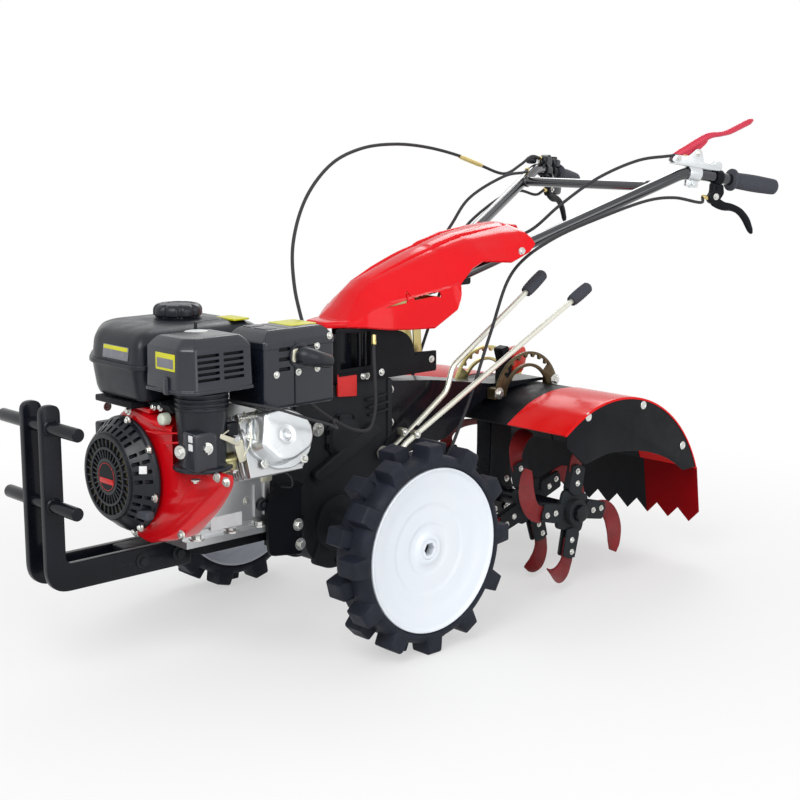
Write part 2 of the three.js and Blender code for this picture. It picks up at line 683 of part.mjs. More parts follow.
function alongHandle(x) {
  const share = (x - HANDLE.rootX) / (HANDLE.bendX - HANDLE.rootX);
  return {
    y: HANDLE.rootY + share * (HANDLE.bendY - HANDLE.rootY),
    z: HANDLE.rootZ + share * (HANDLE.bendZ - HANDLE.rootZ),
  };
}
function alongGrip(x) {
  const share = (x - HANDLE.bendX) / (HANDLE.endX - HANDLE.bendX);
  return {
    y: HANDLE.bendY + share * (HANDLE.endY - HANDLE.bendY),
    z: HANDLE.bendZ + share * (HANDLE.endZ - HANDLE.bendZ),
  };
}
const cross = alongHandle(HANDLE.crossX);
const handleSlant = (HANDLE.bendY - HANDLE.rootY) / (HANDLE.rootX - HANDLE.bendX);
const crossReach = cross.y - (HANDLE.r + GAP) * Math.hypot(1, handleSlant) - HANDLE.crossR * handleSlant;
piece("handle_crossbar", barY(HANDLE.crossX, cross.z, HANDLE.crossR, -crossReach, crossReach, 12), "black");

// A clamp ring round the handle, made along +X at the origin.
const clamp = { wall: 5, width: 20 };
function clampRing(width = clamp.width) {
  return cut(
    barX(0, 0, HANDLE.r + clamp.wall, -width / 2, width / 2, 16),
    barX(0, 0, HANDLE.r + GAP, -width, width, 16),
  );
}
// A lever made in the handle's own frame: +X along the tube towards its end, +Z up.
function onHandle(geometry, sign, x, towardsEnd = true) {
  const line = towardsEnd ? alongGrip : alongHandle;
  const step = -10;
  const here = line(x);
  const next = line(x + step);
  return aim(geometry, [x, sign * here.y, here.z], [x + step, sign * next.y, next.z]);
}

// Red clutch lever above the left handle: [x, 0, z] from its pivot to its tip.
const clutch = { x: -946, pivotZ: 36, r: 6 };
piece("clutch_lever", onHandle(join(
  clampRing(24),
  box(-10, 10, -7, 7, HANDLE.r + 2, clutch.pivotZ + 6),
  box(-46, 6, -5, 5, clutch.pivotZ - 6, clutch.pivotZ + 8),
  bentBar([[-46, 0, clutch.pivotZ + 4], [34, 0, 76], [74, 0, 82], [150, 0, 150]], clutch.r, 14, 9, 8),
), 1, clutch.x), "red");

const brake = { x: -984, drop: 44 };
const THROTTLE_X = -948;
const brakeShape = () => join(
  clampRing(),
  box(-12, 14, -7, 7, -HANDLE.r - brake.drop, -HANDLE.r - 2),
  bentBar([[0, 0, -HANDLE.r - brake.drop + 8], [44, 0, -58], [88, 0, -72], [122, 0, -112]], 6, 12, 8, 8),
);
piece("steering_lever_left", onHandle(brakeShape(), 1, brake.x), "black");
piece("steering_lever_right", onHandle(brakeShape(), -1, brake.x), "black");
piece("throttle_control", onHandle(join(
  clampRing(26),
  box(-16, 16, -9, 9, HANDLE.r + 2, HANDLE.r + 20),
  bentBar([[0, 0, HANDLE.r + 14], [-14, 0, HANDLE.r + 38], [-52, 0, HANDLE.r + 46]], 5, 8, 8, 8),
), -1, THROTTLE_X), "plastic");

// ---------------------------------------------------------------- bonnet over the handlebar column
function hoodSection({ x, half, low, waist, fold, shoulder, crown }, inset) {
  const floor = inset > 0 ? low - 8 : low;
  const side = [
    [half - inset, floor],
    [half - inset, waist],
    [fold - inset / 2, shoulder - inset],
  ];
  const mirrored = side.map(([y, z]) => [-y, z]).reverse();
  return [...side, [0, crown - inset], ...mirrored].map(([y, z]) => [x, y, z]);
}
// A closed body through like sections, first to last along -X, its two ends filled in.
function loft(sections) {
  const around = sections[0].length;
  const corners = sections.flat(2);
  const faces = [];
  for (let i = 0; i + 1 < sections.length; i += 1) {
    for (let k = 0; k < around; k += 1) {
      const a = i * around + k;
      const b = i * around + ((k + 1) % around);
      faces.push(a, b, b + around, a, b + around, a + around);
    }
  }
  const last = (sections.length - 1) * around;
  for (let k = 1; k + 1 < around; k += 1) {
    faces.push(0, k + 1, k, last, last + k, last + k + 1);
  }
  const geometry = new THREE.BufferGeometry();
  geometry.setAttribute("position", new THREE.BufferAttribute(new Float32Array(corners), 3));
  geometry.setIndex(faces.reverse());
  return geometry;
}
const [nose] = HOOD.sections;
const tail = HOOD.sections[HOOD.sections.length - 1];
const hollow = [
  { ...nose, x: nose.x - HOOD.wall },
  ...HOOD.sections.slice(1, -1),
  { ...tail, x: tail.x - 1 },
];
piece("hood", cut(
  join(
    loft(HOOD.sections.map((section) => hoodSection(section, 0))),
    sidePlate([
      [HOOD.tailX, tail.shoulder],
      [tail.x + 14, tail.shoulder - 2],
      [tail.x + 14, tail.crown - 1],
      [HOOD.tailX, tail.crown - 5],
    ], -HOOD.tailHalfWidth, HOOD.tailHalfWidth),
  ),
  loft(hollow.map((section) => hoodSection(section, HOOD.wall))),
), "red");

// ---------------------------------------------------------------- rotary tiller drive
const beamOutline = [
  [CASE.rearX - GAP, 476, 6],
  [-290, 462, 30],
  [-470, 432, 20],
  [-640, 428, 12],
  [-650, 421],
  [-580, 421, 6],
  [-480, 412, 10],
  [-420, 392, 10],
  [-330, 330, 20],
  [CASE.rearX - GAP, 306, 6],
];
const legX = ROTOR.x;
const rotorBoreR = ROTOR.shaftR + RUN;
piece("rotary_gearcase", cut(
  join(
    sidePlate(beamOutline, -BEAM.halfWidth, BEAM.halfWidth),
    box(legX - BEAM.legHalfLength, legX + BEAM.legHalfLength, -BEAM.legHalfWidth, BEAM.legHalfWidth, ROTOR_Z, 424),
    barY(legX, ROTOR_Z, 46, -BEAM.legHalfWidth, BEAM.legHalfWidth, 24),
  ),
  barY(legX, ROTOR_Z, rotorBoreR, -60, 60, 20),
), "black");

// Toothed quadrants, one each side of the beam.
const quadrant = { x: -557, z: 394, r: 104, wall: 22, y: 65, thickness: 6, teeth: 11 };
function quadrantPlate(sign) {
  const inner = quadrant.r - quadrant.wall;
  const corners = [];
  const from = radians(8);
  const to = radians(162);
  const steps = 2 * quadrant.teeth;
  for (let i = 0; i <= steps; i += 1) {
    const turn = from + ((to - from) * i) / steps;
    corners.push([quadrant.x + quadrant.r * Math.cos(turn), quadrant.z + quadrant.r * Math.sin(turn)]);
  }
  for (let i = steps; i >= 0; i -= 1) {
    const turn = from + ((to - from) * i) / steps;
    const reach = inner + (i % 2 === 0 ? 0 : 8);
    corners.push([quadrant.x + reach * Math.cos(turn), quadrant.z + reach * Math.sin(turn)]);
  }
  const middle = sign * quadrant.y;
  return sidePlate(corners, middle - quadrant.thickness / 2, middle + quadrant.thickness / 2);
}
for (const side of [{ name: "left", sign: 1 }, { name: "right", sign: -1 }]) {
  const near = side.sign * (BEAM.halfWidth + GAP);
  const far = side.sign * (quadrant.y + quadrant.thickness / 2);
  const feet = [{ x: -464, low: 402, high: 424 }, { x: -646, low: 418, high: 430 }];
  const lugs = feet.map(({ x, low, high }) =>
    box(x - 10, x + 10, Math.min(near, far), Math.max(near, far), low, high));
  piece(`depth_quadrant_${side.name}`, join(quadrantPlate(side.sign), ...lugs), "zinc");
}

// ---------------------------------------------------------------- fender
const fenderPoint = (r, degrees) =>
  [FENDER.x + r * Math.cos(radians(degrees)), FENDER.z + r * Math.sin(radians(degrees))];
function arc(r, from, to, steps) {
  return Array.from({ length: steps + 1 }, (_, i) => fenderPoint(r, from + ((to - from) * i) / steps));
}
const flapTop = fenderPoint(FENDER.r, FENDER.rearAngle);
const flapFoot = [flapTop[0] - FENDER.flapLean, FENDER.flapBottomZ];
const sheetOutline = [
  ...arc(FENDER.r, FENDER.frontAngle, FENDER.rearAngle, 14),
  flapFoot,
  [flapFoot[0] + FENDER.sheet, flapFoot[1]],
  ...arc(FENDER.r - FENDER.sheet, FENDER.rearAngle, FENDER.frontAngle, 14),
];
const toothPitch = (2 * FENDER.endY) / FENDER.teeth;
const notches = Array.from({ length: FENDER.teeth + 1 }, (_, i) => {
  const y = -FENDER.endY + toothPitch * i;
  return frontPlate([
    [y - toothPitch / 2, FENDER.flapBottomZ - 1],
    [y + toothPitch / 2, FENDER.flapBottomZ - 1],
    [y, FENDER.flapBottomZ + FENDER.toothHeight],
  ], flapFoot[0] - 20, flapFoot[0] + 20);
});
const slot = { halfX: BEAM.legHalfLength + GAP, halfY: BEAM.legHalfWidth + GAP };
piece("fender_sheet", cut(
  sidePlate(sheetOutline, -FENDER.endY, FENDER.endY),
  box(legX - slot.halfX, legX + slot.halfX, -slot.halfY, slot.halfY, 300, 460),
  ...notches,
), "paintRed");

const endPlateOutline = [
  ...arc(FENDER.r - FENDER.sheet - GAP, FENDER.frontAngle, FENDER.rearAngle - 1, 14),
  [-832, 222],
  [-745, 268],
  [-631, 296],
  [-560, 302],
  [-490, 292],
  [-434, 336],
];
for (const side of [{ name: "left", sign: 1 }, { name: "right", sign: -1 }]) {
  const outer = side.sign * (FENDER.endY - 1);
  const inner = outer - side.sign * 5;
  piece(`fender_end_${side.name}`,
    sidePlate(endPlateOutline, Math.min(inner, outer), Math.max(inner, outer)), "black");
}

// ---------------------------------------------------------------- wheels
function tyre(sign) {
  const half = WHEEL.width / 2;
  const bore = WHEEL.rimR + GAP;
  const profile = [
    [bore, -half + 6],
    [WHEEL.carcassR - 12, -half],
    [WHEEL.carcassR, -half + 18],
    [WHEEL.carcassR, half - 18],
    [WHEEL.carcassR - 12, half],
    [bore, half - 6],
    [bore, -half + 6],
  ].map(([r, y]) => new THREE.Vector2(r, y));
  const band = new THREE.LatheGeometry(profile, WHEEL.facets);
  const lugs = [];
  for (const row of [{ from: -4, to: half, turn: 0 }, { from: -half, to: 4, turn: 0.5 }]) {
    for (let i = 0; i < WHEEL.lugs; i += 1) {
      const turn = (360 / WHEEL.lugs) * (i + row.turn);
      const lug = frontPlateLug(row.from, row.to);
      lugs.push(lug.rotateY(radians(turn)));
    }
  }
  const whole = join(band, ...lugs);
  if (sign < 0) whole.rotateZ(Math.PI);
  return whole.translate(0, (sign * WHEEL.track) / 2, AXLE_Z);
}
// One lug that points straight down, between y0 and y1.
function frontPlateLug(y0, y1) {
  const foot = WHEEL.lugLength / 2;
  const tip = WHEEL.lugTipLength / 2;
  const flatTipR = Math.sqrt(WHEEL.outerR ** 2 - tip ** 2);
  return sidePlate([
    [-foot, -WHEEL.carcassR + 6],
    [-tip, -flatTipR],
    [tip, -flatTipR],
    [foot, -WHEEL.carcassR + 6],
  ], y0, y1);
}
function disc() {
  const half = WHEEL.width / 2 - 2;
  const { rimR, rimWall, dish, hubR } = WHEEL;
  const face = half - dish;
  const profile = [
    [hubR - 12, face + 4],
    [hubR, face + 4],
    [hubR, face],
    [rimR - 50, face],
    [rimR - 14, half - 5],
    [rimR, half],
    [rimR, -half],
    [rimR - rimWall, -half],
    [rimR - rimWall, half - 12],
    [rimR - 50, face - rimWall],
    [hubR, face - rimWall],
    [hubR, face - 70],
    [hubR - 12, face - 70],
    [hubR - 12, face + 4],
  ].map(([r, y]) => new THREE.Vector2(r, y));
  return new THREE.LatheGeometry(profile.reverse(), WHEEL.facets);
}
const hubMouthY = WHEEL.track / 2 + WHEEL.width / 2 - 2 - WHEEL.dish + 4;
for (const side of [{ name: "left", sign: 1 }, { name: "right", sign: -1 }]) {
  piece(`tyre_${side.name}`, tyre(side.sign), "rubber");
  const wheel = disc();
  if (side.sign < 0) wheel.rotateZ(Math.PI);
  piece(`wheel_disc_${side.name}`, wheel.translate(0, (side.sign * WHEEL.track) / 2, AXLE_Z), "white");
  const inner = CASE.carrierReach - axleSeat;
  const bushY = hubMouthY - 72;
  const bush = cut(
    barY(0, AXLE_Z, WHEEL.hubR - 12 - GAP, bushY, hubMouthY - 1, 24),
    hexBarY(0, AXLE_Z, WHEEL.hexAcross, hubMouthY - 14, hubMouthY),
  );
  const shaft = join(hexBarY(0, AXLE_Z, WHEEL.hexAcross, inner, bushY + 2), bush);
  if (side.sign < 0) shaft.rotateZ(Math.PI);
  piece(`half_axle_${side.name}`, shaft, "black");
}

// ---------------------------------------------------------------- rotor
// One blade in the star's own frame: it points straight down, its farthest corner at the tip radius.
function blade(reach) {
  const { tipR, bladeWidth, bladeThickness, flangeR } = ROTOR;
  const root = flangeR - 16;
  const tip = [0, -tipR];
  const arm = sidePlate([
    [-bladeWidth * 0.9, -root],
    [bladeWidth * 0.1, -root],
    [bladeWidth * 0.55, -tipR * 0.6],
    [bladeWidth * 0.35, -tipR * 0.85],
    tip,
    [-bladeWidth, -tipR * 0.9],
    [-bladeWidth * 0.6, -tipR * 0.7],
  ], -bladeThickness / 2, bladeThickness / 2);
  const side = sidePlate([
    tip,
    [-bladeWidth, -tipR * 0.9],
    [-bladeWidth + 2, -tipR * 0.9 + 8],
    [0, -tipR + 9],
  ], Math.min(0, reach), Math.max(0, reach));
  return [arm, side];
}
const stars = [
  { name: "tine_star_left_outer", y: 236, phase: 15, reach: 1 },
  { name: "tine_star_left_inner", y: 110, phase: -15, reach: 1 },
  { name: "tine_star_right_inner", y: -110, phase: -15, reach: -1 },
  { name: "tine_star_right_outer", y: -236, phase: 15, reach: -1 },
];
for (const star of stars) {
  const half = ROTOR.flangeThickness / 2;
  const blades = [];
  for (let i = 0; i < 4; i += 1) {
    const turn = radians(90 * i - star.phase);
    for (const bit of blade(star.reach * ROTOR.tipReach)) blades.push(bit.rotateY(turn));
  }
  const whole = cut(
    join(barY(0, 0, ROTOR.flangeR, -half, half, 12), barY(0, 0, ROTOR.shaftR + 12, -22, 22, 12), ...blades),
    barY(0, 0, ROTOR.shaftR + GAP, -60, 60, 16),
  );
  piece(star.name, whole.translate(ROTOR.x, star.y, ROTOR_Z), "tineRed");
}
piece("rotor_shaft", barY(ROTOR.x, ROTOR_Z, ROTOR.shaftR, -270, 270, 16), "black");

// ---------------------------------------------------------------- control cables
// A point beside the handle: so far towards the grip, and so far up from the tube's axis.
const LEAD = 18; // each cable leaves its lever straight for this far
function besideHandle(sign, x, towardsGrip, up) {
  const here = alongGrip(x);
  const next = alongGrip(x - 10);
  const from = [x, sign * here.y, here.z];
  const at = aim(new THREE.BufferGeometry().setFromPoints([new THREE.Vector3(towardsGrip, 0, up)]),
    from, [x - 10, sign * next.y, next.z]);
  return at.attributes.position.array;
}
const steeringRoute = (sign) => [
  besideHandle(sign, brake.x, -12 - GAP, -HANDLE.r - brake.drop + 8),
  besideHandle(sign, brake.x, -12 - LEAD, -HANDLE.r - brake.drop + 8),
  ...[
    [-934, 252, 824], [-855, 235, 836], [-791, 217, 833], [-661, 180, 797], [-559, 142, 757],
    [-500, 108, 714], [-462, 96, 672], [-405, 95, 553], [-326, 96, 388], [-250, 92, 270], [-150, 72, 222],
  ].map(([x, y, z]) => [x, sign * y, z]),
];
// The stop wire's outer end is tied down on top of the right handle.
const stopX = -850.4;
const handleRise = (HANDLE.bendZ - HANDLE.rootZ) / Math.hypot(HANDLE.rootX - HANDLE.bendX, HANDLE.bendY - HANDLE.rootY);
const stopStart = [
  stopX,
  -alongHandle(stopX).y,
  alongHandle(stopX).z + (HANDLE.r + CABLE_R + GAP) * Math.hypot(1, handleRise),
];
const cables = [
  {
    name: "throttle_cable",
    steps: 32,
    points: [
      besideHandle(-1, THROTTLE_X, -16 - GAP, HANDLE.r + 12),
      besideHandle(-1, THROTTLE_X, -16 - LEAD, HANDLE.r + 12),
      [-860, -208, 920], [-815, -200, 902], [-742, -184, 882], [-647, -168, 902], [-582, -156, 921],
      [-441, -130, 947], [-307, -100, 957], [-181, -70, 949], [-73, -40, 918], [18, -10, 852], [74, 20, 768],
      [96, 50, 694], [104, 80, 634], [108, 112, 580],
    ],
  },
  {
    name: "clutch_cable",
    steps: 18,
    points: [
      besideHandle(1, clutch.x, -46 - GAP, clutch.pivotZ),
      besideHandle(1, clutch.x, -46 - LEAD, clutch.pivotZ),
      [-838, 218, 928], [-770, 196, 920], [-687, 150, 882], [-619, 100, 823], [-565, 62, 768],
      [-500, 34, 745], [-420, 14, 722], [-322, 0, 690],
    ],
  },
  { name: "steering_cable_left", steps: 24, points: steeringRoute(1) },
  { name: "steering_cable_right", steps: 24, points: steeringRoute(-1) },
  {
    name: "stop_cable",
    steps: 20,
    points: [
      stopStart, [-801, -176, 884], [-700, -146, 878], [-565, -134, 828], [-510, -130, 775],
      [-465, -128, 728], [-400, -108, 670], [-350, -86, 618], [-300, -70, 560], [-255, -66, 515],
    ],
  },
  {
    name: "engine_cable",
    steps: 20,
    points: [
      [160, 150, 494], [84, 140, 443], [3, 120, 405], [-54, 100, 398], [-77, 90, 431], [-86, 80, 490],
      [-90, 72, 540], [-96, 66, 580],
    ],
  },
];
for (const line of cables) {
  piece(line.name, cable(line.points, line.steps), "rubber");
}

// ---------------------------------------------------------------- place the machine over its origin
const whole = new THREE.Group();
whole.add(machine);
// The grip's end cap reaches furthest back: its rim, on the slanted axis.
const gripSlant = new THREE.Vector3(HANDLE.endX - HANDLE.bendX, HANDLE.endY - HANDLE.bendY, HANDLE.endZ - HANDLE.bendZ)
  .normalize().x;
const gripRearX = HANDLE.endX + HANDLE.capDepth * gripSlant - HANDLE.gripR * Math.sqrt(1 - gripSlant ** 2);
machine.position.x = -(RAIL.frontX + gripRearX) / 2;

export default whole;
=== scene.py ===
"""A power tiller, dressed over its CAD frame.

Every size in this file is in millimetres. It is measured from the ground under the wheel axle,
with +X forward (engine end), +Y to the machine's left and +Z up. A piece is turned into metres
in the part's own frame when it becomes a Blender object.
"""
from __future__ import annotations

import json
import logging
import math
from dataclasses import astuple, dataclass
from enum import Enum
from functools import partial
from typing import Iterable, Sequence

import bmesh
import bpy
import numpy as np
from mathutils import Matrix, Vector

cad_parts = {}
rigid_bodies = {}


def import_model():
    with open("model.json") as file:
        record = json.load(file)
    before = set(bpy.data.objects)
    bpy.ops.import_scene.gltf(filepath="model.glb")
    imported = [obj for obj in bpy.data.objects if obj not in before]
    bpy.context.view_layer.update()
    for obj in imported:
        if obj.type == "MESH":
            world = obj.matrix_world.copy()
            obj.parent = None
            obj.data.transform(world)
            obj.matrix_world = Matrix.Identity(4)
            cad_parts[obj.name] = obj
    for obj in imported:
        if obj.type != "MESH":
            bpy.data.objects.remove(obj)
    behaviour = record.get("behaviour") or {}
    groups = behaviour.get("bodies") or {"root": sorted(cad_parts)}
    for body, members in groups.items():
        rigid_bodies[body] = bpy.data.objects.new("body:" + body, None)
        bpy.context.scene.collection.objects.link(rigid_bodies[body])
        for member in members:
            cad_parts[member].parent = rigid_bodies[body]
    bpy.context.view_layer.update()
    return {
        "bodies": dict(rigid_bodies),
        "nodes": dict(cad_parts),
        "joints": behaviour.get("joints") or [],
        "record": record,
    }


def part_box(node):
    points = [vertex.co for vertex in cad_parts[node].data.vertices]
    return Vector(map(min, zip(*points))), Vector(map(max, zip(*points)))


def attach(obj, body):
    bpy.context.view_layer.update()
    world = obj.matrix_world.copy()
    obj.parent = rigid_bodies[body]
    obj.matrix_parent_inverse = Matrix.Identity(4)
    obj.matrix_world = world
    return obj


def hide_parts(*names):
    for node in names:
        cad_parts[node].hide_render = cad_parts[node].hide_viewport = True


LOG = logging.getLogger("power_tiller")
Loop = np.ndarray
Point = Sequence[float]
Corners = Sequence[Sequence[float]]
TIP = 0.01  # radius of a turned profile where it ends on its axis
POLE = 1e-4  # radius that the ring of points there gets
AHEAD, BACK = (1.0, 0.0, 0.0), (-1.0, 0.0, 0.0)
LEFT, RIGHT = (0.0, 1.0, 0.0), (0.0, -1.0, 0.0)
UP, DOWN = (0.0, 0.0, 1.0), (0.0, 0.0, -1.0)
STEEP = 0.9  # rise of a direction of length one that counts as upright


# ---------------------------------------------------------------- shapes
class Axis(Enum):
    """The direction a slab or a turned shape is built along."""

    X = 0
    Y = 1
    Z = 2

    @property
    def across(self) -> tuple[int, int]:
        """The two other axes, in the order of an outline's pairs."""
        return ((1, 2), (0, 2), (0, 1))[self.value]


X, Y, Z = Axis


@dataclass
class Shape:
    """Points in millimetres, and the faces between them."""

    points: np.ndarray
    faces: list[list[int]]

    def moved(self, x: float = 0.0, y: float = 0.0, z: float = 0.0) -> Shape:
        """Returns this shape shifted by x, y and z."""
        return Shape(self.points + np.array([x, y, z]), self.faces)

    def turned(self, axis: Axis, degrees: float, about: Point = (0.0, 0.0, 0.0)) -> Shape:
        """Turns the shape by the right-hand rule.

        Args:
            axis: the axis to turn about.
            degrees: how far.
            about: a point that stays where it is.

        Returns:
            The turned shape.
        """
        turn = math.radians(degrees)
        first, second = [(1, 2), (2, 0), (0, 1)][axis.value]
        away = self.points - np.asarray(about, float)
        out = away.copy()
        out[:, first] = away[:, first] * math.cos(turn) - away[:, second] * math.sin(turn)
        out[:, second] = away[:, first] * math.sin(turn) + away[:, second] * math.cos(turn)
        return Shape(out + np.asarray(about, float), self.faces)

    def on_side(self, sign: float) -> Shape:
        """Returns a shape of the left side, or its mirror image where sign is -1."""
        return self if sign > 0 else self.mirrored()

    def mirrored(self) -> Shape:
        """Returns the shape's mirror image on the machine's other side."""
        return Shape(self.points * np.array([1.0, -1.0, 1.0]), [face[::-1] for face in self.faces])

    def aimed(self, start: Point, end: Point, up: Point = UP) -> Shape:
        """Moves a shape made along +X so that +X runs from start to end.

        Args:
            start: where the shape's origin goes.
            end: a point that +X then passes through.
            up: the direction that +Z leans to.

        Returns:
            The placed shape.
        """
        forward = unit(np.asarray(end, float) - np.asarray(start, float))
        side = unit(np.cross(np.asarray(up, float), forward))
        turn = np.stack([forward, side, np.cross(forward, side)])
        return Shape(self.points @ turn + np.asarray(start, float), self.faces)

    def outward(self) -> Shape:
        """Turns a closed shape's faces to point out, by the sign of its volume.

        Returns:
            The shape with its faces pointing out.
        """
        corners = [(face[0], face[k], face[k + 1]) for face in self.faces for k in range(1, len(face) - 1)]
        a, b, c = (self.points[list(ids)] for ids in zip(*corners))
        volume = float(np.einsum("ij,ij->i", a, np.cross(b, c)).sum())
        return self if volume > 0 else Shape(self.points, [face[::-1] for face in self.faces])


def unit(vectors: np.ndarray) -> np.ndarray:
    """Returns vectors scaled to length one, along the last axis."""
    return vectors / np.maximum(np.linalg.norm(vectors, axis=-1, keepdims=True), 1e-12)


def together(*shapes: Shape) -> Shape:
    """Joins shapes: their points follow each other, and the numbers in their faces are shifted to match.

    Args:
        shapes: the shapes, in order.

    Returns:
        One shape.
    """
    points, faces, start = [], [], 0
    for shape in shapes:
        points.append(shape.points)
        faces.extend([[index + start for index in face] for face in shape.faces])
        start += len(shape.points)
    return Shape(np.concatenate(points), faces)


def skin(grid: np.ndarray, ends: bool = True) -> Shape:
    """Covers a grid of points with four-sided faces, the last column joined to the first.

    Point (i, j) joins (i + 1, j), (i + 1, j + 1) and (i, j + 1).

    Args:
        grid: points of shape (rows, columns, 3).
        ends: whether the first and last rows are filled in.

    Returns:
        The covered shape, facing out when it is closed.
    """
    rows, columns = grid.shape[:2]
    i, j = np.meshgrid(np.arange(rows - 1), np.arange(columns), indexing="ij")
    k = (j + 1) % columns
    quads = np.stack([i * columns + j, i * columns + k, (i + 1) * columns + k, (i + 1) * columns + j], -1)
    faces = quads.reshape(-1, 4).tolist()
    if ends:
        faces.append(list(range(columns))[::-1])
        faces.append(list(range((rows - 1) * columns, rows * columns)))
    shape = Shape(grid.reshape(-1, 3).astype(float), faces)
    return shape.outward() if ends else shape


def parabola(start: np.ndarray, corner: np.ndarray, end: np.ndarray, t: np.ndarray) -> np.ndarray:
    """Returns the parabola from start to end whose end tangents meet at corner, at shares t of the way."""
    return (1 - t) ** 2 * start + 2 * t * (1 - t) * corner + t**2 * end


def outline(corners: Corners, steps: int = 6) -> Loop:
    """Rounds the corners of a flat outline.

    Each corner of radius r is a parabola from r before the corner to r after it. Where two corners' radii
    are more than the edge between them, they share that edge in proportion.

    Args:
        corners: (a, b) or (a, b, r) for each corner, in order.
        steps: points along each rounded corner.

    Returns:
        The outline as an array of shape (points, 2), counter-clockwise.
    """
    spots = np.array([corner[:2] for corner in corners], float)
    radii = np.array([corner[2] if len(corner) > 2 else 0.0 for corner in corners])
    before = unit(np.roll(spots, 1, 0) - spots)
    after = unit(np.roll(spots, -1, 0) - spots)
    room = np.linalg.norm(np.roll(spots, -1, 0) - spots, axis=-1)
    share = 0.98 * room / np.maximum(radii + np.roll(radii, -1), 1e-9)
    radii = radii * np.minimum(1.0, np.minimum(share, np.roll(share, 1)))
    pieces = []
    for spot, radius, back, on in zip(spots, radii, before, after):
        t = np.linspace(0, 1, steps + 1)[:, None] if radius > 0 else np.zeros((1, 1))
        start, end = spot + back * radius, spot + on * radius
        pieces.append(parabola(start, spot, end, t))
    loop = np.concatenate(pieces)
    a, b = loop, np.roll(loop, -1, 0)
    area = float((a[:, 0] * b[:, 1] - b[:, 0] * a[:, 1]).sum())
    return loop if area > 0 else loop[::-1]


def ring(radius: float, sides: int, centre: Point = (0.0, 0.0), start: float = 0.0) -> Loop:
    """Returns a circle of points about centre, counter-clockwise, from an angle in degrees."""
    turn = np.linspace(0, 2 * np.pi, sides, endpoint=False) + math.radians(start)
    return np.stack([centre[0] + radius * np.cos(turn), centre[1] + radius * np.sin(turn)], -1)


def inset(loop: Loop, by: float) -> Loop:
    """Moves each point of a counter-clockwise outline inwards along its corner's bisector.

    Points joined by an edge that has turned round on the way are gathered in their middle.

    Args:
        loop: the outline.
        by: how far inwards; less than nought is outwards.

    Returns:
        The outline inside, with as many points.
    """
    into = unit(loop - np.roll(loop, 1, 0))
    away = unit(np.roll(loop, -1, 0) - loop)
    share = by / np.maximum(1 + (into * away).sum(-1, keepdims=True), 0.35)
    normal = np.stack([-(into[:, 1] + away[:, 1]), into[:, 0] + away[:, 0]], -1)
    moved = loop + normal * share
    for _ in range(2):
        back = ((np.roll(moved, -1, 0) - moved) * (np.roll(loop, -1, 0) - loop)).sum(-1) < 0
        tied = np.roll(back, 1)
        if not tied.any() or tied.all():
            break
        first = int(np.argmin(tied))
        group = np.cumsum(~np.roll(tied, -first)) - 1
        rolled = np.roll(moved, -first, 0)
        sums = np.stack([np.bincount(group, rolled[:, k]) for k in (0, 1)], -1)
        moved = np.roll((sums / np.bincount(group)[:, None])[group], first, 0)
    return moved


def upright(loop: Loop, level: float | np.ndarray, axis: Axis) -> np.ndarray:
    """Stands a flat outline up at a level of an axis.

    Args:
        loop: (a, b) pairs: (y, z) for X, (x, z) for Y, (x, y) for Z.
        level: the place on the axis, one number or one for each point.
        axis: the axis that the outline faces.

    Returns:
        Points of shape (points, 3).
    """
    out = np.zeros((len(loop), 3))
    out[:, axis.across], out[:, axis.value] = loop, level
    return out


def slab(loop: Loop, low: float, high: float, axis: Axis, edge: float = 2.0, low_edge: float | None = None,
        steps: int = 3) -> Shape:
    """A block of one outline with rounded rims.

    Near each face the outline shrinks by edge * (1 - sin t) while the level moves by edge * (1 - cos t).

    Args:
        loop: the outline, counter-clockwise.
        low: first level.
        high: last level.
        axis: the direction from low to high.
        edge: radius of the rim at the high face.
        low_edge: radius of the rim at the low face, as edge if left out.
        steps: steps round each rim.

    Returns:
        The closed block.
    """
    foot = edge if low_edge is None else low_edge
    t = np.linspace(0, np.pi / 2, steps + 1)
    rise = [(low + foot * (1 - math.cos(a)), foot * (1 - math.sin(a))) for a in t]
    fall = [(high - edge * (1 - math.cos(a)), edge * (1 - math.sin(a))) for a in t[::-1]]
    return skin(np.stack([upright(inset(loop, shrink), level, axis) for level, shrink in rise + fall]))


def cutout(corners: Corners, low: float, high: float, axis: Axis, edge: float = 2.0,
        low_edge: float | None = None, steps: int = 3, turns: int = 6) -> Shape:
    """Returns a slab whose outline has rounded corners; turns are the steps round each of them."""
    return slab(outline(corners, turns), low, high, axis, edge, low_edge, steps)


def lathe(profile: Corners, axis: Axis, centre: Point = (0, 0, 0), sides: int = 48, closed: bool = False,
        steps: int = 4) -> Shape:
    """Turns a profile about an axis: each (r, a) becomes a circle of radius r at a along the axis.

    Args:
        profile: (radius, place along the axis) or (radius, place, rounding) for each corner.
        axis: the axis of the turning.
        centre: a point on the axis, where a is nought.
        sides: points round each circle.
        closed: whether the last corner joins the first, as on a ring with a bore.
        steps: steps round each rounded corner.

    Returns:
        The turned shape.
    """
    pairs = rounded(profile, steps)
    pairs = np.concatenate([pairs, pairs[:1]]) if closed else pairs
    circle = ring(1.0, sides)
    rows = np.stack([upright(circle * (r if r > 2 * TIP else POLE), a, axis) for r, a in pairs])
    return skin(rows + np.asarray(centre, float), ends=False).outward()


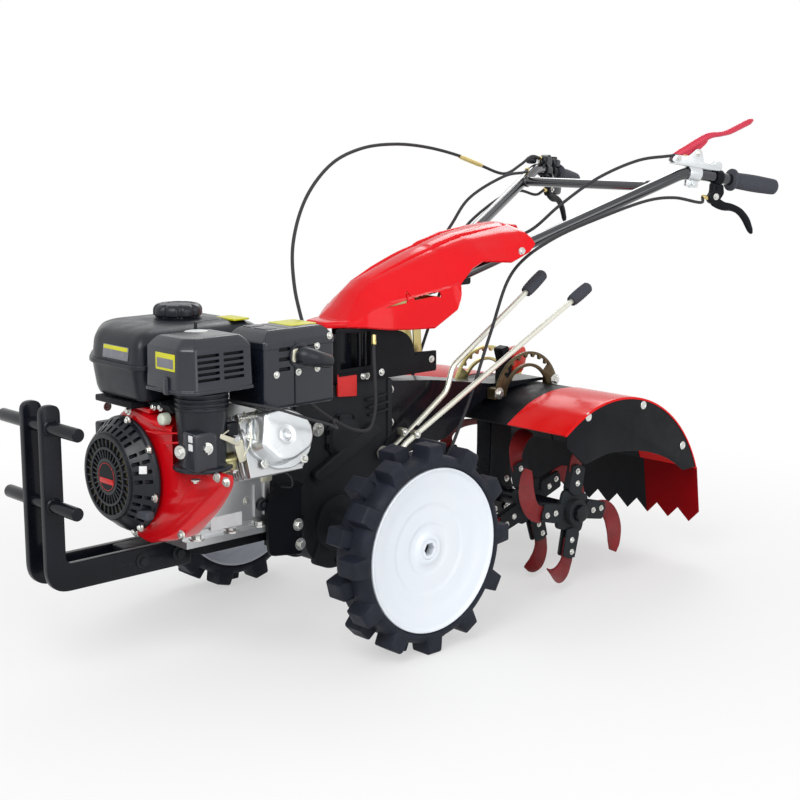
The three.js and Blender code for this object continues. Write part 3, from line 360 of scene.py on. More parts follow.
def rounded(profile: Corners, steps: int = 4) -> np.ndarray:
    """Rounds the inner corners of an open profile.

    A corner of radius r is a parabola from r before the corner to r after it.

    Args:
        profile: (a, b) or (a, b, r) for each corner, in order.
        steps: steps round each rounded corner.

    Returns:
        The profile's points, of shape (n, 2).
    """
    spots = [np.array(p[:2], float) for p in profile]
    out = [spots[0][None]]
    for i in range(1, len(profile) - 1):
        radius = profile[i][2] if len(profile[i]) > 2 else 0.0
        if not radius:
            out.append(spots[i][None])
            continue
        start = spots[i] + unit(spots[i - 1] - spots[i]) * radius
        end = spots[i] + unit(spots[i + 1] - spots[i]) * radius
        t = np.linspace(0, 1, steps + 1)[:, None]
        out.append(parabola(start, spots[i], end, t))
    out.append(spots[-1][None])
    return np.concatenate(out)


def smooth_path(points: Sequence[Point], steps: int = 12) -> np.ndarray:
    """A smooth curve through points: a centripetal Catmull-Rom spline.

    Between two points the curve is the cubic with the knots' spacing equal to the root of their distance.

    Args:
        points: the points, in order.
        steps: steps between two points.

    Returns:
        The curve as an array of shape (n, 3).
    """
    p = np.asarray(points, float)
    p = np.concatenate([[2 * p[0] - p[1]], p, [2 * p[-1] - p[-2]]])
    knots = np.concatenate([[0], np.cumsum(np.linalg.norm(np.diff(p, axis=0), axis=1) ** 0.5)])
    out = []
    for i in range(1, len(p) - 2):
        t0, t1, t2, t3 = knots[i - 1:i + 3]
        t = np.linspace(t1, t2, steps, endpoint=False)[:, None]
        a1 = (t1 - t) / (t1 - t0) * p[i - 1] + (t - t0) / (t1 - t0) * p[i]
        a2 = (t2 - t) / (t2 - t1) * p[i] + (t - t1) / (t2 - t1) * p[i + 1]
        a3 = (t3 - t) / (t3 - t2) * p[i + 1] + (t - t2) / (t3 - t2) * p[i + 2]
        b1 = (t2 - t) / (t2 - t0) * a1 + (t - t0) / (t2 - t0) * a2
        b2 = (t3 - t) / (t3 - t1) * a2 + (t - t1) / (t3 - t1) * a3
        out.append((t2 - t) / (t2 - t1) * b1 + (t - t1) / (t2 - t1) * b2)
    out.append(p[-2][None])
    return np.concatenate(out)


def bent_path(points: Sequence[Point], bend: float, steps: int = 8) -> np.ndarray:
    """Straight runs with parabolic corners that start bend before each point and end bend after it.

    Args:
        points: the points, in order.
        bend: how far from its point a corner starts and ends.
        steps: steps round each corner.

    Returns:
        The path, of shape (n, 3).
    """
    p = np.asarray(points, float)
    t = np.linspace(0, 1, steps + 1)[:, None]
    out = [p[:1]]
    for before, here, after in zip(p[:-2], p[1:-1], p[2:]):
        start = here + unit(before - here) * bend
        end = here + unit(after - here) * bend
        out.append(parabola(start, here, end, t))
    out.append(p[-1:])
    return np.concatenate(out)


def carried(path: np.ndarray, section: Loop | np.ndarray, up: Point | None = None) -> Shape:
    """Carries a flat section along a path, square to it.

    Each point is path + side * a + top * b, where side is the path's direction crossed with up.

    Args:
        path: points of shape (n, 3).
        section: (a, b) pairs, one loop for all or one for each path point.
        up: the direction that b leans to; the path's own flattest direction if left out.

    Returns:
        The swept shape.
    """
    along = unit(np.gradient(path, axis=0))
    if up is None and len(path) > 2:
        up = np.linalg.svd(path - path.mean(0))[2][2]
    elif up is None:
        up = AHEAD if abs(along[0, 2]) > STEEP else UP
    side = unit(np.cross(along, np.asarray(up, float)))
    top = np.cross(side, along)
    loops = np.broadcast_to(section, (len(path),) + np.shape(section)[-2:])
    grid = path[:, None] + side[:, None] * loops[..., :1] + top[:, None] * loops[..., 1:]
    return skin(grid)


def rod(path: Sequence[Point] | np.ndarray, radius: float | np.ndarray, sides: int = 16,
        up: Point | None = None) -> Shape:
    """A round bar: circles that stand square to a path, joined to each other.

    Args:
        path: points of shape (n, 3).
        radius: one number, or one for each path point.
        sides: points round each circle.
        up: the direction that the circles start from, as carried() takes it.

    Returns:
        The closed bar.
    """
    path = np.asarray(path, float)
    radii = np.broadcast_to(radius, len(path))
    return carried(path, ring(1.0, sides)[None] * radii[:, None, None], up)


def disc_on(centre: Point, axis: Axis, profile: Corners, sides: int = 24, sign: float = 1.0,
        steps: int = 4) -> Shape:
    """A turned shape whose profile's second number counts away from centre along sign * axis."""
    return lathe([(r, sign * a, *more) for r, a, *more in profile], axis, centre, sides, steps=steps)


def bolt_head(size: float = 10.0) -> Shape:
    """A washer with a hexagon head, along +X from the origin.

    Args:
        size: the hexagon's distance across its flats.

    Returns:
        The head.
    """
    washer = lathe([(0, -1), (size * 0.95, -1), (size * 0.95, size * 0.16, 0.6), (0, size * 0.16)], X,
        sides=20)
    hexagon = ring(size / math.sqrt(3), 6)
    rows = [upright(hexagon, size * 0.14, X), upright(hexagon, size * 0.56, X),
        upright(hexagon * 0.86, size * 0.64, X)]
    return together(washer, skin(np.stack(rows)))


def bolts(places: Iterable[Point], towards: Point, size: float = 10.0) -> Shape:
    """Bolt heads that point one way, each turned 17 degrees further than the last.

    Args:
        places: where the heads stand.
        towards: the direction that they point to.
        size: the distance across their flats.

    Returns:
        The heads, as one shape.
    """
    out = []
    lean = UP if abs(towards[2]) < STEEP else AHEAD
    for i, place in enumerate(places):
        start = np.asarray(place, float)
        head = bolt_head(size).turned(X, 17.0 * i)
        out.append(head.aimed(start, start + np.asarray(towards, float), lean))
    return together(*out)


def block(low: Point, high: Point, edge: float = 1.5, axis: Axis = Z, corner: float | None = None) -> Shape:
    """A box between two corners with rounded rims.

    Args:
        low: its lowest corner.
        high: its highest corner.
        edge: radius of the rims round the two faces square to axis.
        axis: the direction from one of these faces to the other.
        corner: radius of the four edges along axis, where it is more than 1.45 times edge.

    Returns:
        The closed box.
    """
    (a0, b0), (a1, b1) = [[side[k] for k in axis.across] for side in (low, high)]
    r = max(edge * 1.45, corner or 0.0)
    loop = outline([(a0, b0, r), (a1, b0, r), (a1, b1, r), (a0, b1, r)], 4)
    return slab(loop, low[axis.value], high[axis.value], axis, edge)


# ---------------------------------------------------------------- finishes
class Grain(Enum):
    """What a surface is like close to."""

    GLOSS = "sprayed gloss paint"
    POWDER = "satin powder coat"
    MOULDED = "moulded plastic"
    RUBBER = "moulded rubber"
    CAST = "sand cast metal"
    PLATED = "zinc plate with its yellow tint"
    BRUSHED = "drawn or pressed bright metal"
    LABEL = "printed foil"


EVEN, DRAWN = (1.0, 1.0, 1.0), (1.0, 14.0, 14.0)  # a grain's frequency along X, Y and Z
WHITE = (1.0, 1.0, 1.0, 1.0)


@dataclass
class NodeMaker:
    """The node tree of a material or of the world, and short ways to add to it."""

    tree: bpy.types.NodeTree

    def fill(self, name: str, *values: object, **inputs: object) -> bpy.types.Node:
        """Sets a node's inputs. A value that is another node's output is linked instead.

        Args:
            name: the node's name.
            values: values for its first inputs, in order.
            inputs: values for inputs by name, with _ for each space.

        Returns:
            The node.
        """
        node = self.tree.nodes[name]
        named = [(node.inputs[key.replace("_", " ")], value) for key, value in inputs.items()]
        for socket, value in [*zip(node.inputs, values), *named]:
            if isinstance(value, bpy.types.NodeSocket):
                self.tree.links.new(value, socket)
            else:
                socket.default_value = value
        return node

    def add(self, kind: str, *values: object, take: int | str = 0, options: dict[str, object] | None = None,
            **inputs: object) -> bpy.types.NodeSocket:
        """Adds a node.

        Args:
            kind: the node's kind, without its ShaderNode.
            values: values for its first inputs, as fill() takes them.
            take: the output that is wanted, by number or by name.
            options: the node's other settings.
            inputs: values for inputs by name, as fill() takes them.

        Returns:
            The output.
        """
        node = self.tree.nodes.new(f"ShaderNode{kind}")
        for option, value in (options or {}).items():
            setattr(node, option, value)
        return self.fill(node.name, *values, **inputs).outputs[take]

    def seen_directly(self) -> bpy.types.NodeSocket:
        """Adds up the camera, glossy and transmission rays.

        Returns:
            1 where the background is seen or mirrored, and 0 elsewhere.
        """
        rays = self.tree.nodes.new("ShaderNodeLightPath").outputs
        total = self.add("Math", rays["Is Camera Ray"], rays["Is Glossy Ray"])
        return self.add("Math", total, rays["Is Transmission Ray"], options={"use_clamp": True})


@dataclass(frozen=True)
class Finish:
    """One surface finish.

    Colours are linear red, green and blue. tint is the colour that the finish drifts to over tint_size
    millimetres. grain_size is in millimetres and grain_depth in hundredths of a millimetre.
    """

    name: str
    slot: str
    grain: Grain
    colour: Point
    tint: Point
    roughness: float
    tint_size: float
    grain_size: float
    grain_depth: float
    metallic: float = 0.0
    coat: float = 0.0
    specular: float = 0.5

    def material(self) -> bpy.types.Material:
        """Builds the finish's nodes once.

        Colour is a noise-weighted mix of colour and tint. Roughness is its value times a second noise. The
        bump is fine noise, stretched along one way for drawn metal.

        Returns:
            The material, shared by all pieces that have this finish.
        """
        known = bpy.data.materials.get(self.name)
        if known:
            return known
        material = bpy.data.materials.new(self.name)
        material.use_nodes = True
        make = NodeMaker(material.node_tree)
        where = make.add("TexCoord", take="Object")

        def noise(size: float, detail: float, stretch: Point = (1, 1, 1)) -> bpy.types.NodeSocket:
            """Returns a noise whose waves are so many millimetres long."""
            place = make.add("Mapping", where, Scale=stretch)
            return make.add("TexNoise", place, Scale=1000.0 / size, Detail=detail)

        drift = make.add("MapRange", noise(self.tint_size, 4.0), From_Min=0.35, From_Max=0.7, To_Max=0.5)
        colour = make.add("Mix", take="Result", options={"data_type": "RGBA"}, Factor=drift,
            A=(*self.colour, 1.0), B=(*self.tint, 1.0))
        dull = make.add("MapRange", noise(self.tint_size * 0.4, 6.0), From_Min=0.3, From_Max=0.75,
            To_Min=self.roughness * 0.85, To_Max=min(1.0, self.roughness * 1.3))
        grain = noise(self.grain_size, 3.0, DRAWN if self.grain is Grain.BRUSHED else EVEN)
        bump = make.add("Bump", Height=grain, Distance=self.grain_depth * 1e-5, Strength=1.0)
        make.fill("Principled BSDF", Base_Color=colour, Roughness=dull, Normal=bump, Metallic=self.metallic,
            Specular_IOR_Level=self.specular, Coat_Weight=self.coat, Coat_Roughness=0.06,
            **({"Coat_Normal": bump} if self.coat else {}))
        return material


BONNET_RED = Finish("bonnet_red_gloss", "red_plastic", Grain.GLOSS, (0.8, 0.006, 0.012), (0.7, 0.006, 0.01),
    0.18, 160, 9, 1.2, coat=0.12, specular=0.13)
SHEET_RED = Finish("sheet_red_paint", "red_paint", Grain.GLOSS, (0.78, 0.004, 0.004), (0.66, 0.004, 0.004),
    0.2, 140, 5, 1.6, coat=0.06, specular=0.1)
COWL_RED = Finish("cowl_red_paint", "red_paint", Grain.GLOSS, (0.6, 0.003, 0.008), (0.5, 0.003, 0.006),
    0.22, 120, 4, 1.4, coat=0.3, specular=0.3)
FLAP_RED = Finish("flap_dark_red", "red_paint", Grain.POWDER, (0.24, 0.001, 0.003), (0.17, 0.001, 0.003),
    0.42, 70, 1.6, 2.5, specular=0.06)
LEVER_RED = Finish("lever_red_coating", "red_lever", Grain.MOULDED, (0.66, 0.035, 0.075),
    (0.56, 0.02, 0.05), 0.3, 40, 2, 1.2, coat=0.3, specular=0.3)
BLACK_GLOSS = Finish("black_gloss_paint", "black_paint", Grain.GLOSS, (0.0045, 0.005, 0.008),
    (0.009, 0.011, 0.018), 0.26, 90, 5, 2, coat=0.12, specular=0.15)
BLACK_POWDER = Finish("black_powder_coat", "black_paint", Grain.POWDER, (0.0045, 0.005, 0.007),
    (0.009, 0.01, 0.014), 0.42, 60, 1.4, 3, specular=0.12)
BLACK_CAST = Finish("black_casting", "black_casting", Grain.CAST, (0.0035, 0.0035, 0.005),
    (0.009, 0.009, 0.012), 0.48, 45, 2.6, 14, specular=0.12)
ENGINE_PLASTIC = Finish("engine_black_plastic", "engine_plastic", Grain.MOULDED, (0.007, 0.009, 0.016),
    (0.012, 0.015, 0.026), 0.28, 90, 0.8, 3, coat=0.2, specular=0.5)
GUARD_PLASTIC = Finish("guard_black_plastic", "engine_plastic", Grain.MOULDED, (0.006, 0.008, 0.012),
    (0.012, 0.016, 0.026), 0.34, 70, 0.8, 3, specular=0.35)
GRIP_RUBBER = Finish("grip_rubber", "grip_rubber", Grain.RUBBER, (0.008, 0.01, 0.016), (0.016, 0.02, 0.034),
    0.62, 30, 0.9, 5, specular=0.25)
CABLE_SHEATH = Finish("cable_sheath", "cable_sheath", Grain.RUBBER, (0.008, 0.008, 0.009),
    (0.016, 0.016, 0.018), 0.38, 25, 1, 1.5, specular=0.2)
TYRE_RUBBER = Finish("tyre_rubber", "tyre", Grain.RUBBER, (0.008, 0.01, 0.017), (0.018, 0.022, 0.04), 0.58,
    55, 1.8, 9, specular=0.25)
WHEEL_WHITE = Finish("wheel_white_enamel", "white_paint", Grain.GLOSS, (0.8, 0.84, 0.9), (0.74, 0.8, 0.88),
    0.34, 150, 6, 1.5, coat=0.3)
CAST_ALLOY = Finish("cast_alloy", "cast_alloy", Grain.CAST, (0.46, 0.47, 0.48), (0.33, 0.34, 0.35), 0.46,
    40, 1.8, 12, metallic=0.75)
PRESSED_STEEL = Finish("pressed_cover_steel", "pressed_steel", Grain.BRUSHED, (0.72, 0.75, 0.77),
    (0.62, 0.65, 0.67), 0.3, 50, 3, 1, metallic=0.85)
ZINC = Finish("zinc_plate", "zinc_plate", Grain.PLATED, (0.66, 0.66, 0.6), (0.56, 0.52, 0.36), 0.3, 22, 1.2,
    1.5, metallic=0.9)
YELLOW_ZINC = Finish("yellow_zinc", "zinc_plate", Grain.PLATED, (0.62, 0.52, 0.22), (0.55, 0.6, 0.3), 0.32,
    18, 1.2, 1.5, metallic=0.9)
BOLT_STEEL = Finish("bolt_steel", "zinc_plate", Grain.PLATED, (0.7, 0.71, 0.7), (0.52, 0.5, 0.4), 0.28, 8,
    0.8, 1.5, metallic=0.95)
BRASS_BOWL = Finish("float_bowl_passivate", "zinc_plate", Grain.PLATED, (0.6, 0.56, 0.26),
    (0.66, 0.64, 0.42), 0.34, 16, 1.5, 2, metallic=0.6)
TINE_RED = Finish("tine_primer", "tine_paint", Grain.POWDER, (0.2, 0.014, 0.016), (0.1, 0.014, 0.016), 0.44,
    28, 2.2, 7, specular=0.25)
LABEL_YELLOW = Finish("blank_label_yellow", "engine_plastic", Grain.LABEL, (0.66, 0.64, 0.01),
    (0.58, 0.56, 0.01), 0.35, 60, 2, 0.4)
LABEL_GREY = Finish("blank_label_grey", "engine_plastic", Grain.LABEL, (0.2, 0.2, 0.23), (0.14, 0.14, 0.17),
    0.38, 12, 2, 0.4)
LABEL_WHITE = Finish("blank_label_white", "pressed_steel", Grain.LABEL, (0.78, 0.79, 0.8),
    (0.66, 0.67, 0.69), 0.38, 14, 2, 0.4)
LABEL_RED = Finish("blank_plate_red", "red_paint", Grain.LABEL, (0.72, 0.01, 0.008), (0.62, 0.008, 0.006),
    0.34, 40, 2, 0.4)
PAD_WHITE = Finish("pad_pale_plastic", "pressed_steel", Grain.MOULDED, (0.72, 0.76, 0.74),
    (0.62, 0.68, 0.64), 0.4, 24, 1, 1.5)
SCREEN_BRONZE = Finish("screen_bronze", "engine_plastic", Grain.PLATED, (0.16, 0.13, 0.07),
    (0.08, 0.09, 0.05), 0.45, 9, 1.2, 6, metallic=0.4)
STRAINER = Finish("strainer_clear_cup", "pressed_steel", Grain.MOULDED, (0.62, 0.66, 0.56),
    (0.5, 0.55, 0.44), 0.25, 12, 1, 1, coat=0.4)
LEVER_BRIGHT = Finish("lever_bright_zinc", "zinc_plate", Grain.PLATED, (0.82, 0.83, 0.74),
    (0.76, 0.76, 0.62), 0.26, 120, 1.2, 0.3, metallic=0.55)
QUADRANT_DARK = Finish("quadrant_dark_bronze", "zinc_plate", Grain.PLATED, (0.09, 0.06, 0.03),
    (0.16, 0.14, 0.07), 0.34, 14, 1.2, 2, metallic=0.7, specular=0.3)
LEVER_ORANGE = Finish("latch_orange_red", "red_lever", Grain.MOULDED, (0.76, 0.035, 0.012),
    (0.68, 0.02, 0.01), 0.34, 30, 1.6, 1, coat=0.3)
BRASS = Finish("cable_brass", "zinc_plate", Grain.PLATED, (0.72, 0.56, 0.2), (0.78, 0.66, 0.34), 0.3, 10, 1,
    1, metallic=0.9)
TUBE_BLACK = Finish("tube_black_gloss", "black_paint", Grain.GLOSS, (0.004, 0.005, 0.01),
    (0.008, 0.01, 0.022), 0.16, 80, 6, 1, coat=0.8, specular=0.6)


# ---------------------------------------------------------------- making Blender objects
SOFT_ANGLE = 34.0  # degrees from which an edge of a casting is rounded and shaded sharp


def placed(name: str, data: bpy.types.ID) -> bpy.types.Object:
    """Puts data into the scene.

    Args:
        name: the object's name.
        data: a mesh, a camera or a lamp.

    Returns:
        The new object.
    """
    item = bpy.data.objects.new(name, data)
    bpy.context.scene.collection.objects.link(item)
    return item


def weld(mesh: bpy.types.Mesh, flatten: bool = False, reach: float = 2e-6) -> None:
    """Merges points that lie on each other, so that poles and seams are closed.

    Args:
        mesh: the mesh to work on.
        flatten: whether flat neighbours become one face too.
        reach: how near points merge, in the mesh's own unit.
    """
    work = bmesh.new()
    work.from_mesh(mesh)
    bmesh.ops.remove_doubles(work, verts=work.verts, dist=reach)
    bmesh.ops.dissolve_degenerate(work, edges=work.edges, dist=1e-7)
    if flatten:
        bmesh.ops.dissolve_limit(work, angle_limit=math.radians(1), verts=work.verts, edges=work.edges)
    work.to_mesh(mesh)
    work.free()


@dataclass
class Part:
    """A sub-assembly: it turns its shapes into Blender pieces that ride on the frame's bodies.

    nodes are the CAD's objects. shift is how far the part's origin lies behind the axle, in millimetres.
    """

    nodes: dict[str, bpy.types.Object]
    shift: float

    def piece(self, name: str, shape: Shape | Iterable[Shape], finish: Finish, smooth: float = 32.0,
            *stands_for: str, body: str = "frame") -> bpy.types.Object:
        """Makes one piece.

        Args:
            name: the piece's plain name.
            shape: its shape or shapes, in millimetres.
            finish: its finish.
            smooth: edges flatter than this many degrees are shaded smooth.
            stands_for: the CAD nodes that it replaces.
            body: the CAD body it rides on.

        Returns:
            The Blender object.
        """
        mesh = bpy.data.meshes.new(name)
        shape = shape if isinstance(shape, Shape) else together(*shape)
        place = (shape.points + np.array([self.shift, 0.0, 0.0])) / 1000.0
        mesh.from_pydata(place.tolist(), [], shape.faces)
        weld(mesh)
        return self.finished(name, mesh, finish, body, stands_for, smooth)

    def softened(self, node: str, finish: Finish, bevel: float) -> bpy.types.Object:
        """Stands a copy of a CAD node in for it, with rounded edges.

        Args:
            node: the CAD node, of the frame's body.
            finish: the piece's finish.
            bevel: the width of the rounding, in millimetres.

        Returns:
            The Blender object.
        """
        mesh = self.nodes[node].data.copy()
        mesh.materials.clear()
        weld(mesh, flatten=True)
        item = self.finished(f"{node}_body", mesh, finish, "frame", (node,), SOFT_ANGLE)
        rim = item.modifiers.new("rim", "BEVEL")
        rim.width = bevel / 1000.0
        rim.segments = 2
        rim.limit_method = "ANGLE"
        rim.angle_limit = math.radians(SOFT_ANGLE)
        rim.harden_normals = True
        return item

    def finished(self, name: str, mesh: bpy.types.Mesh, finish: Finish, body: str,
            stands_for: Sequence[str], smooth: float) -> bpy.types.Object:
        """Shades a mesh, gives it its finish and body, and reports it.

        Args:
            name: the piece's plain name.
            mesh: its mesh, in metres.
            finish: its finish.
            body: the CAD body it rides on.
            stands_for: the CAD nodes that it replaces.
            smooth: edges flatter than this many degrees are shaded smooth.

        Returns:
            The Blender object.
        """
        mesh.shade_smooth()
        mesh.set_sharp_from_angle(angle=math.radians(smooth))
        mesh.materials.append(finish.material())
        item = placed(name, mesh)
        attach(item, body)
        if stands_for:
            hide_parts(*stands_for)
        LOG.info("%s: %d faces, %s, on %s", name, len(mesh.polygons), finish.name, body)
        return item


def carve(shape: Shape, *tools: Shape, join: bool = False) -> Shape:
    """Cuts closed tools out of a closed shape, or joins them to it.

    Args:
        shape: the shape to work on.
        tools: the closed cutters, or what is joined on.
        join: whether to join instead of cut.

    Returns:
        The worked shape.
    """
    items = []
    for source in (shape, together(*tools)):
        mesh = bpy.data.meshes.new("work")
        mesh.from_pydata(source.points.tolist(), [], source.faces)
        weld(mesh, reach=2e-3)
        items.append(placed("work", mesh))
    change = items[0].modifiers.new("change", "BOOLEAN")
    change.operation = "UNION" if join else "DIFFERENCE"
    change.solver = "EXACT"
    change.use_self = join
    change.object = items[1]
    bpy.context.view_layer.update()
    done = items[0].evaluated_get(bpy.context.evaluated_depsgraph_get()).to_mesh()
    points = np.zeros(len(done.vertices) * 3)
    done.vertices.foreach_get("co", points)
    faces = [list(face.vertices) for face in done.polygons]
    for item in items:
        bpy.data.objects.remove(item)
    return Shape(points.reshape(-1, 3), faces)


# ---------------------------------------------------------------- wheels
SIDES = (("left", 1.0), ("right", -1.0))  # name and sign of Y


def soft_clamp(value: np.ndarray) -> np.ndarray:
    """Clamps to 0..1 with a parabola round each of the two corners, width to each side of it.

    Args:
        value: the numbers.

    Returns:
        The clamped numbers.
    """
    width = 0.12

    def rise(v: np.ndarray) -> np.ndarray:
        """Returns nought below -width, v above width, and a parabola that joins the two."""
        return np.where(v < -width, 0.0, np.where(v > width, v, (v + width) ** 2 / (4 * width)))

    return 1.0 - rise(1.0 - rise(value))


@dataclass
class Wheel(Part):
    """A cleated tyre on a dished disc, with a hexagon socket for the half axle."""

    outer: float = 205.0
    carcass: float = 182.0
    rim: float = 160.0
    half_width: float = 46.0
    lugs: int = 12
    lug_foot: float = 42.0
    lug_tip: float = 32.0
    track: float = 608.0
    hub: float = 32.0
    across_flats: float = 23.0
    overlap: float = 5.0

    @property
    def axle(self) -> float:
        """Height of the axle: the flat tip of a lug stands on the ground."""
        return math.sqrt(self.outer**2 - (self.lug_tip / 2) ** 2)

    def off_lug(self, turn: np.ndarray, at: float) -> np.ndarray:
        """Returns how far angles are from the middle of the nearest lug, in degrees; one lug is at at."""
        pitch = 360 / self.lugs
        return np.abs((turn - at + pitch / 2) % pitch - pitch / 2)

    def lug_share(self, turn: np.ndarray, at: float) -> np.ndarray:
        """How much of a lug stands at each angle: 1 on its tip, 0 past its foot, sloping between.

        Args:
            turn: angles in degrees.
            at: the angle of the row's first lug.

        Returns:
            The share at each angle, from 0 to 1.
        """
        away = self.off_lug(turn, at)
        foot = math.degrees(self.lug_foot / 2 / self.carcass)
        tip = math.degrees(self.lug_tip / 2 / self.outer)
        return soft_clamp((foot - away) / (foot - tip))

    def tyre(self) -> Shape:
        """The tyre about the Y axis through the origin.

        Two profiles share their rows: the bare carcass and the full lug. A point lies between them by the
        share of its own row of lugs. On a lug's tip the radius is the flat's distance over the cosine of
        the angle. The two sides meet at the middle, or past it by overlap times the share where a lug
        reaches over.

        Returns:
            The closed tyre.
        """
        pitch = 360 / self.lugs
        near = np.array([0, 1.9, 3.4, 4.1, 4.5, 4.9, 5.4, 6.0, 6.4, 6.8, 7.3])
        half = np.concatenate([near, pitch / 2 - near[::-1]])
        columns = np.concatenate([half, pitch - half[-2:0:-1]])
        turn = (columns[None] + pitch * np.arange(self.lugs)[:, None]).ravel()
        w, c, b, tip = self.half_width, self.carcass, self.rim + 0.3, self.outer
        bare = rounded([(b, 0), (b, w - 8), (b + 3, w - 3, 3), (c - 13, w - 1.5, 5), (c - 3, w - 8, 8),
            (c, w - 22, 6), (c, w - 34), (c, 6), (c, 3), (c, 0), (c, -3), (c, -5)], 3)
        lug = rounded([(b, 0), (b, w - 8), (b + 3, w - 3, 3), (c - 13, w - 0.6, 5), (tip - 4, w - 1.2, 2.5),
            (tip, w - 6, 2.5), (tip, w - 30), (tip, 6), (tip, 1), (tip - 1, -2), (c + 8, -4), (c, -5)], 3)
        sides = []
        for shift, sign in ((0.0, 1.0), (pitch / 2, -1.0)):
            m = self.lug_share(turn, shift)[:, None]
            lean = np.radians(self.off_lug(turn, shift))
            flat = np.minimum(self.axle / self.outer / np.cos(lean), 1.0)[:, None]
            radius = (1 - m) * bare[None, :, 0] + m * lug[None, :, 0] * flat
            across = sign * ((1 - m) * bare[None, :, 1] + m * lug[None, :, 1])
            sides.append((radius, across, m))
        (radius, near, lugs), (far_radius, far, far_lugs) = sides
        border = self.overlap * (far_lugs - lugs)
        radius = np.concatenate([radius, far_radius[:, ::-1]], 1)
        across = np.concatenate([np.maximum(near, border), np.minimum(far, border)[:, ::-1]], 1)
        angle = np.radians(turn)[:, None]
        grid = np.stack([radius * np.sin(angle), across, -radius * np.cos(angle)], -1)
        shape = skin(grid.transpose(1, 0, 2), ends=False)
        rows, count = radius.shape[1], len(turn)
        j = np.arange(count)
        shape.faces += np.stack([j, (j + 1) % count, (rows - 1) * count + (j + 1) % count,
            (rows - 1) * count + j], -1).tolist()
        return shape.outward()

    def disc(self) -> Shape:
        """The dished disc and its rim: one profile that comes back to its start, turned about Y.

        Returns:
            The closed disc.
        """
        face = self.half_width - 2
        return lathe([(20, face - 92), (20, face - 18.5), (20, face - 17), (22, face - 16, 1),
            (self.hub - 4, face - 16.5, 3), (self.hub + 3, face - 21.5, 5), (self.hub + 15, face - 22, 4),
            (self.hub + 20, face - 20, 4), (84, face - 19.6, 4), (90, face - 17.2, 4), (97, face - 16.6, 4),
            (118, face - 14.2, 8), (self.rim - 26, face - 9, 8), (self.rim - 8, face - 5, 3),
            (self.rim - 4.5, face - 1, 2), (self.rim - 2, face - 0.2, 1.5), (self.rim, face - 2, 1.5),
            (self.rim, face - 14, 2), (self.rim - 2.5, face - 20, 3), (self.rim - 2.5, -face + 20, 3),
            (self.rim, -face + 14, 2), (self.rim, -face + 2, 1), (self.rim - 2, -face, 1),
            (self.rim - 4, -face + 3, 1), (self.rim - 7, -face + 16, 4), (self.rim - 7, face - 22, 5),
            (self.rim - 30, face - 15, 6), (90, face - 23, 8), (self.hub + 16, face - 27, 5),
            (self.hub, face - 27, 2), (self.hub, face - 92, 1), (20, face - 92)], Y, sides=96, steps=3)

    def socket(self) -> Shape:
        """The bush in the hub: a round collar round a hexagon hole, which the loops pass between.

        Returns:
            The closed bush.
        """
        face = self.half_width - 2
        sides = 48
        turn = np.linspace(0, 2 * np.pi, sides, endpoint=False)
        reach = self.across_flats / 2 / np.cos((turn + np.pi / 6) % (np.pi / 3) - np.pi / 6)
        rows = [(POLE, face - 34), (reach, face - 34), (reach, face - 17.4), (reach + 1.2, face - 16.2),
            (18.6, face - 16.2), (19.7, face - 17.4), (19.7, face - 88), (POLE, face - 88)]
        loops = [np.stack([r * np.sin(turn), np.full(sides, y), r * np.cos(turn)], -1) for r, y in rows]
        return skin(np.stack(loops), ends=False).outward()

    def build(self) -> None:
        """Makes both wheels and their half axles."""
        for name, sign in SIDES:
            body = f"wheel_{name}"
            place = dict(y=self.track / 2 * sign, z=self.axle)
            turn = 0.0 if sign > 0 else 180.0

            def put(shape: Shape) -> Shape:
                """Returns the shape on its own side, its face turned out."""
                return shape.turned(Z, turn).moved(**place)

            self.piece(f"{name}_tyre", put(self.tyre()), TYRE_RUBBER, 30, f"tyre_{name}", body=body)
            self.piece(f"{name}_wheel_disc", put(self.disc()), WHEEL_WHITE, 50, f"wheel_disc_{name}",
                body=body)
            self.piece(f"{name}_hub_socket", put(self.socket()), WHEEL_WHITE, body=body)
            hexagon = ring(self.across_flats / math.sqrt(3), 6, (0, self.axle), 30)
            shaft = slab(hexagon, sign * 110, sign * (self.track / 2 - 46), Y, 0.8 * sign)
            self.piece(f"{name}_axle_bar", shaft.outward(), BLACK_GLOSS, 32, f"half_axle_{name}", body=body)
            # A thin black disc on the floor of the hexagon hole: painted shade, so that the hole reads
            # dark.
            recess = lathe([(0, -34.4), (13.4, -34.4), (13.4, -33.6), (0, -33.6)], Y, (0, 44, 0), 24)
            self.piece(f"{name}_socket_shade_disc", put(recess), BLACK_CAST, body=body)


# ---------------------------------------------------------------- bonnet over the handlebar column
@dataclass(frozen=True)
class BonnetSection:
    """One cross-section of the bonnet: its levels and half widths at a place along the machine."""

    x: float
    half: float
    low: float
    waist: float
    fold: float
    shoulder: float
    crown: float


